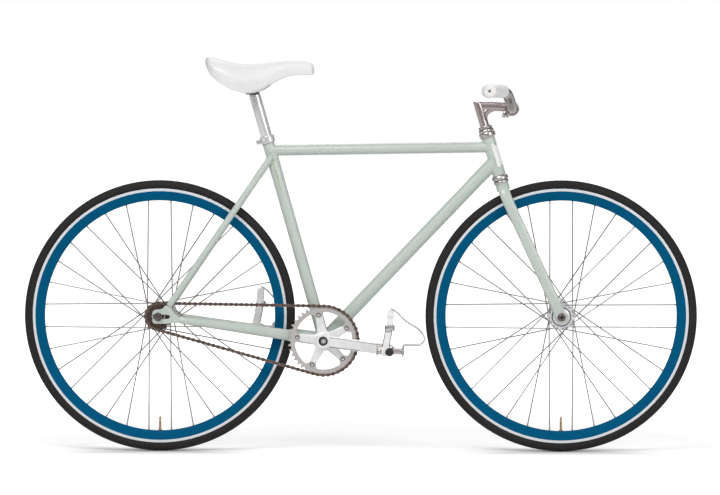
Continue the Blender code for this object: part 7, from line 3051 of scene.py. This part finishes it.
@dataclass
class Studio:
    """Pale floor, soft lights, and the photograph's viewpoint."""

    azimuth: float = 1.3
    elevation: float = 2.24
    distance: float = 10.0
    target: Triple = (-0.0007, 0.0, 0.5021)
    lens: float = 203.0
    shift: tuple[float, float] = (0.0, 0.0)
    glow: float = 0.38
    surroundings: float = 0.335
    room: float = 0.42
    mirrored: float = 0.17
    shadow: tuple[float, float] = (0.27, 0.13)

    def build(self) -> None:
        """Set the stage, the light and the camera."""
        self.floor()
        self.world()
        for panel in (
                Panel("key", (-1.6, -3.4, 4.2), (0.0, 0.0, 0.4),
                      (3.2, 2.2), 130.0),
                Panel("fill", (3.4, -3.6, 2.6), (0.1, 0.0, 0.5),
                      (2.6, 2.6), 63.0),
                Panel("rim", (0.3, 3.2, 3.6), (0.0, 0.0, 0.5),
                      (3.6, 1.6), 42.0)):
            panel.build()
        self.camera()

    def floor(self) -> None:
        """Level floor that runs far out on every side."""
        along = np.linspace(-30.0, 30.0, 13)
        points = np.stack(np.meshgrid(along, along, [-0.0004]),
                          axis=-1).reshape(-1, 3)
        mesh = bpy.data.meshes.new("studio_floor")
        faces = grid_faces(13, 13, False, False)
        mesh.from_pydata(points.tolist(), [], faces.tolist())
        bm = bmesh.new()
        bm.from_mesh(mesh)
        if sum(face.normal.z for face in bm.faces) < 0:
            bmesh.ops.reverse_faces(bm, faces=bm.faces)
        bm.to_mesh(mesh)
        bm.free()
        mesh.materials.append(self.paper())
        item = bpy.data.objects.new("studio_floor", mesh)
        bpy.context.scene.collection.objects.link(item)

    def paper(self) -> bpy.types.Material:
        """Matte white paper that glows to the camera and, less, to gloss.

        Returns:
            The material.
        """
        shader = Shader("studio_paper")
        places = shader.places()
        cloud = shader.noise(places, 2.0, 3.0)
        shader.feed("Base Color", shader.mixed(
            shader.spread(cloud, 0.0, 1.0), (0.86, 0.86, 0.86),
            (0.84, 0.84, 0.84)))
        shader.set(roughness=0.95, specular_ior_level=0.1)
        seen = shader.node("LightPath").outputs
        rays = shader.combined("MAXIMUM", seen["Is Camera Ray"],
                               seen["Is Transmission Ray"])
        parts = shader.node("SeparateXYZ", {0: places})
        behind = shader.spread(parts.outputs["Y"], 0.0, self.mirrored, -1.6,
                               -0.2)
        rays = shader.combined("MAXIMUM", rays, shader.combined(
            "MULTIPLY", behind, seen["Is Glossy Ray"]))
        away = shader.node("VectorMath", {0: places}, operation="LENGTH")
        share = shader.spread(away.outputs["Value"], self.glow, 1.0, 0.9, 2.2)
        # Painted shadows under the tyres: the glow is cut there, even below
        # zero.
        share = shader.combined("MULTIPLY", share, self.contact(shader, parts))
        glow = shader.node("Emission", {
            "Strength": shader.combined("MULTIPLY", share, rays)})
        both = shader.node("AddShader", {0: shader.shader.outputs[0],
                                         1: glow.outputs[0]})
        shader.tree.links.new(both.outputs[0], shader.tree.nodes[
            "Material Output"].inputs["Surface"])
        return shader.material

    def contact(self, shader: Shader, parts: bpy.types.Node
                ) -> Socket:
        """Share of the glow that is kept, least where the tyres stand.

        It rises with the root of (((|x| - wheelbase / 2) / length) squared
        + (y / width) squared), from -0.35 at each tyre to 1.  Below zero the
        glow darkens the paper: a painted shadow under each tyre, on top of the
        tyres' own shadows, which the weaker glow lets show.

        Args:
            shader: the paper's shader.
            parts: node that gives the place in X, Y and Z.

        Returns:
            The output that carries it.
        """
        ahead = shader.combined("ABSOLUTE", parts.outputs["X"], 0.0)
        ahead = shader.combined("SUBTRACT", ahead, float(FRONT_AXLE[0]))
        ahead = shader.combined("DIVIDE", ahead, self.shadow[0])
        across = shader.combined("DIVIDE", parts.outputs["Y"],
                                 self.shadow[1])
        reach = shader.combined(
            "ADD", shader.combined("MULTIPLY", ahead, ahead),
            shader.combined("MULTIPLY", across, across))
        reach = shader.combined("POWER", reach, 0.5)
        return shader.spread(reach, -0.35, 1.0, 0.0, 1.0)

    def world(self) -> None:
        """Even pale light from all round, white to the camera.

        Gloss shows a dim room on the camera's side and pale paper behind.
        """
        world = bpy.data.worlds.new("studio_world")
        world.use_nodes = True
        tree = world.node_tree
        node = tree.nodes["Background"]
        node.inputs["Color"].default_value = (1.0, 1.0, 1.0, 1.0)
        seen = tree.nodes.new("ShaderNodeLightPath")
        way = tree.nodes.new("ShaderNodeTexCoord")
        parts = tree.nodes.new("ShaderNodeSeparateXYZ")
        tree.links.new(way.outputs["Generated"], parts.inputs[0])

        def between(value: Socket, low: float | None,
                    high: float, start: float = 0.0, end: float = 1.0
                    ) -> bpy.types.Node:
            """A number that goes from low to high as value rises.

            Args:
                value: the number.
                low: result at start, or None to join it later.
                high: result at end.
                start: number that gives low.
                end: number that gives high.

            Returns:
                The node.
            """
            node = tree.nodes.new("ShaderNodeMapRange")
            tree.links.new(value, node.inputs["Value"])
            node.inputs["From Min"].default_value = start
            node.inputs["From Max"].default_value = end
            if low is not None:
                node.inputs["To Min"].default_value = low
            node.inputs["To Max"].default_value = high
            return node

        room = between(parts.outputs["Y"], self.room, self.mirrored, 0.0,
                       0.5)
        glossy = between(seen.outputs["Is Glossy Ray"], self.surroundings,
                         1.0)
        tree.links.new(room.outputs["Result"], glossy.inputs["To Max"])
        clear = tree.nodes.new("ShaderNodeMath")
        clear.operation = "MAXIMUM"
        tree.links.new(seen.outputs["Is Camera Ray"], clear.inputs[0])
        tree.links.new(seen.outputs["Is Transmission Ray"], clear.inputs[1])
        white = between(clear.outputs[0], None, 1.0)
        tree.links.new(glossy.outputs["Result"], white.inputs["To Min"])
        tree.links.new(white.outputs["Result"], node.inputs["Strength"])
        bpy.context.scene.world = world

    def camera(self) -> None:
        """Long lens from the drive side, a little above the hubs."""
        camera = bpy.data.cameras.new("photo_view")
        camera.sensor_width = 36.0
        camera.lens = self.lens
        camera.shift_x, camera.shift_y = self.shift
        camera.clip_end = 100.0
        item = bpy.data.objects.new("photo_view", camera)
        azimuth = math.radians(self.azimuth)
        rise = math.radians(self.elevation)
        target = Vector(self.target)
        way = Vector((math.sin(azimuth) * math.cos(rise),
                      -math.cos(azimuth) * math.cos(rise), math.sin(rise)))
        item.location = target + way * self.distance
        item.rotation_euler = (-way).to_track_quat("-Z", "Y").to_euler()
        bpy.context.scene.collection.objects.link(item)
        bpy.context.scene.camera = item
        bpy.context.scene.view_settings.view_transform = "Standard"


def main() -> None:
    """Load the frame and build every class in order."""
    logging.basicConfig(level=logging.INFO, format="%(name)s: %(message)s")
    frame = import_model()
    shop = Workshop(frame)
    front = Wheel(End.FRONT, FRONT_AXLE, (-0.0350, 0.0350), 0.0450)
    rear = Wheel(End.REAR, REAR_AXLE, (-0.0290, 0.0350), 0.0550)
    chain = Chain()
    for assembly in (front, rear, AxleEnds(), Frame(), Fork(), Cockpit(),
                     Seat(), chain, Sprockets(chain), Cranks(),
                     Pedal(Side.RIGHT), Pedal(Side.LEFT)):
        LOG.info("building %s", type(assembly).__name__)
        assembly.build(shop)
    Studio().build()


if __name__ == "__main__":
    main()
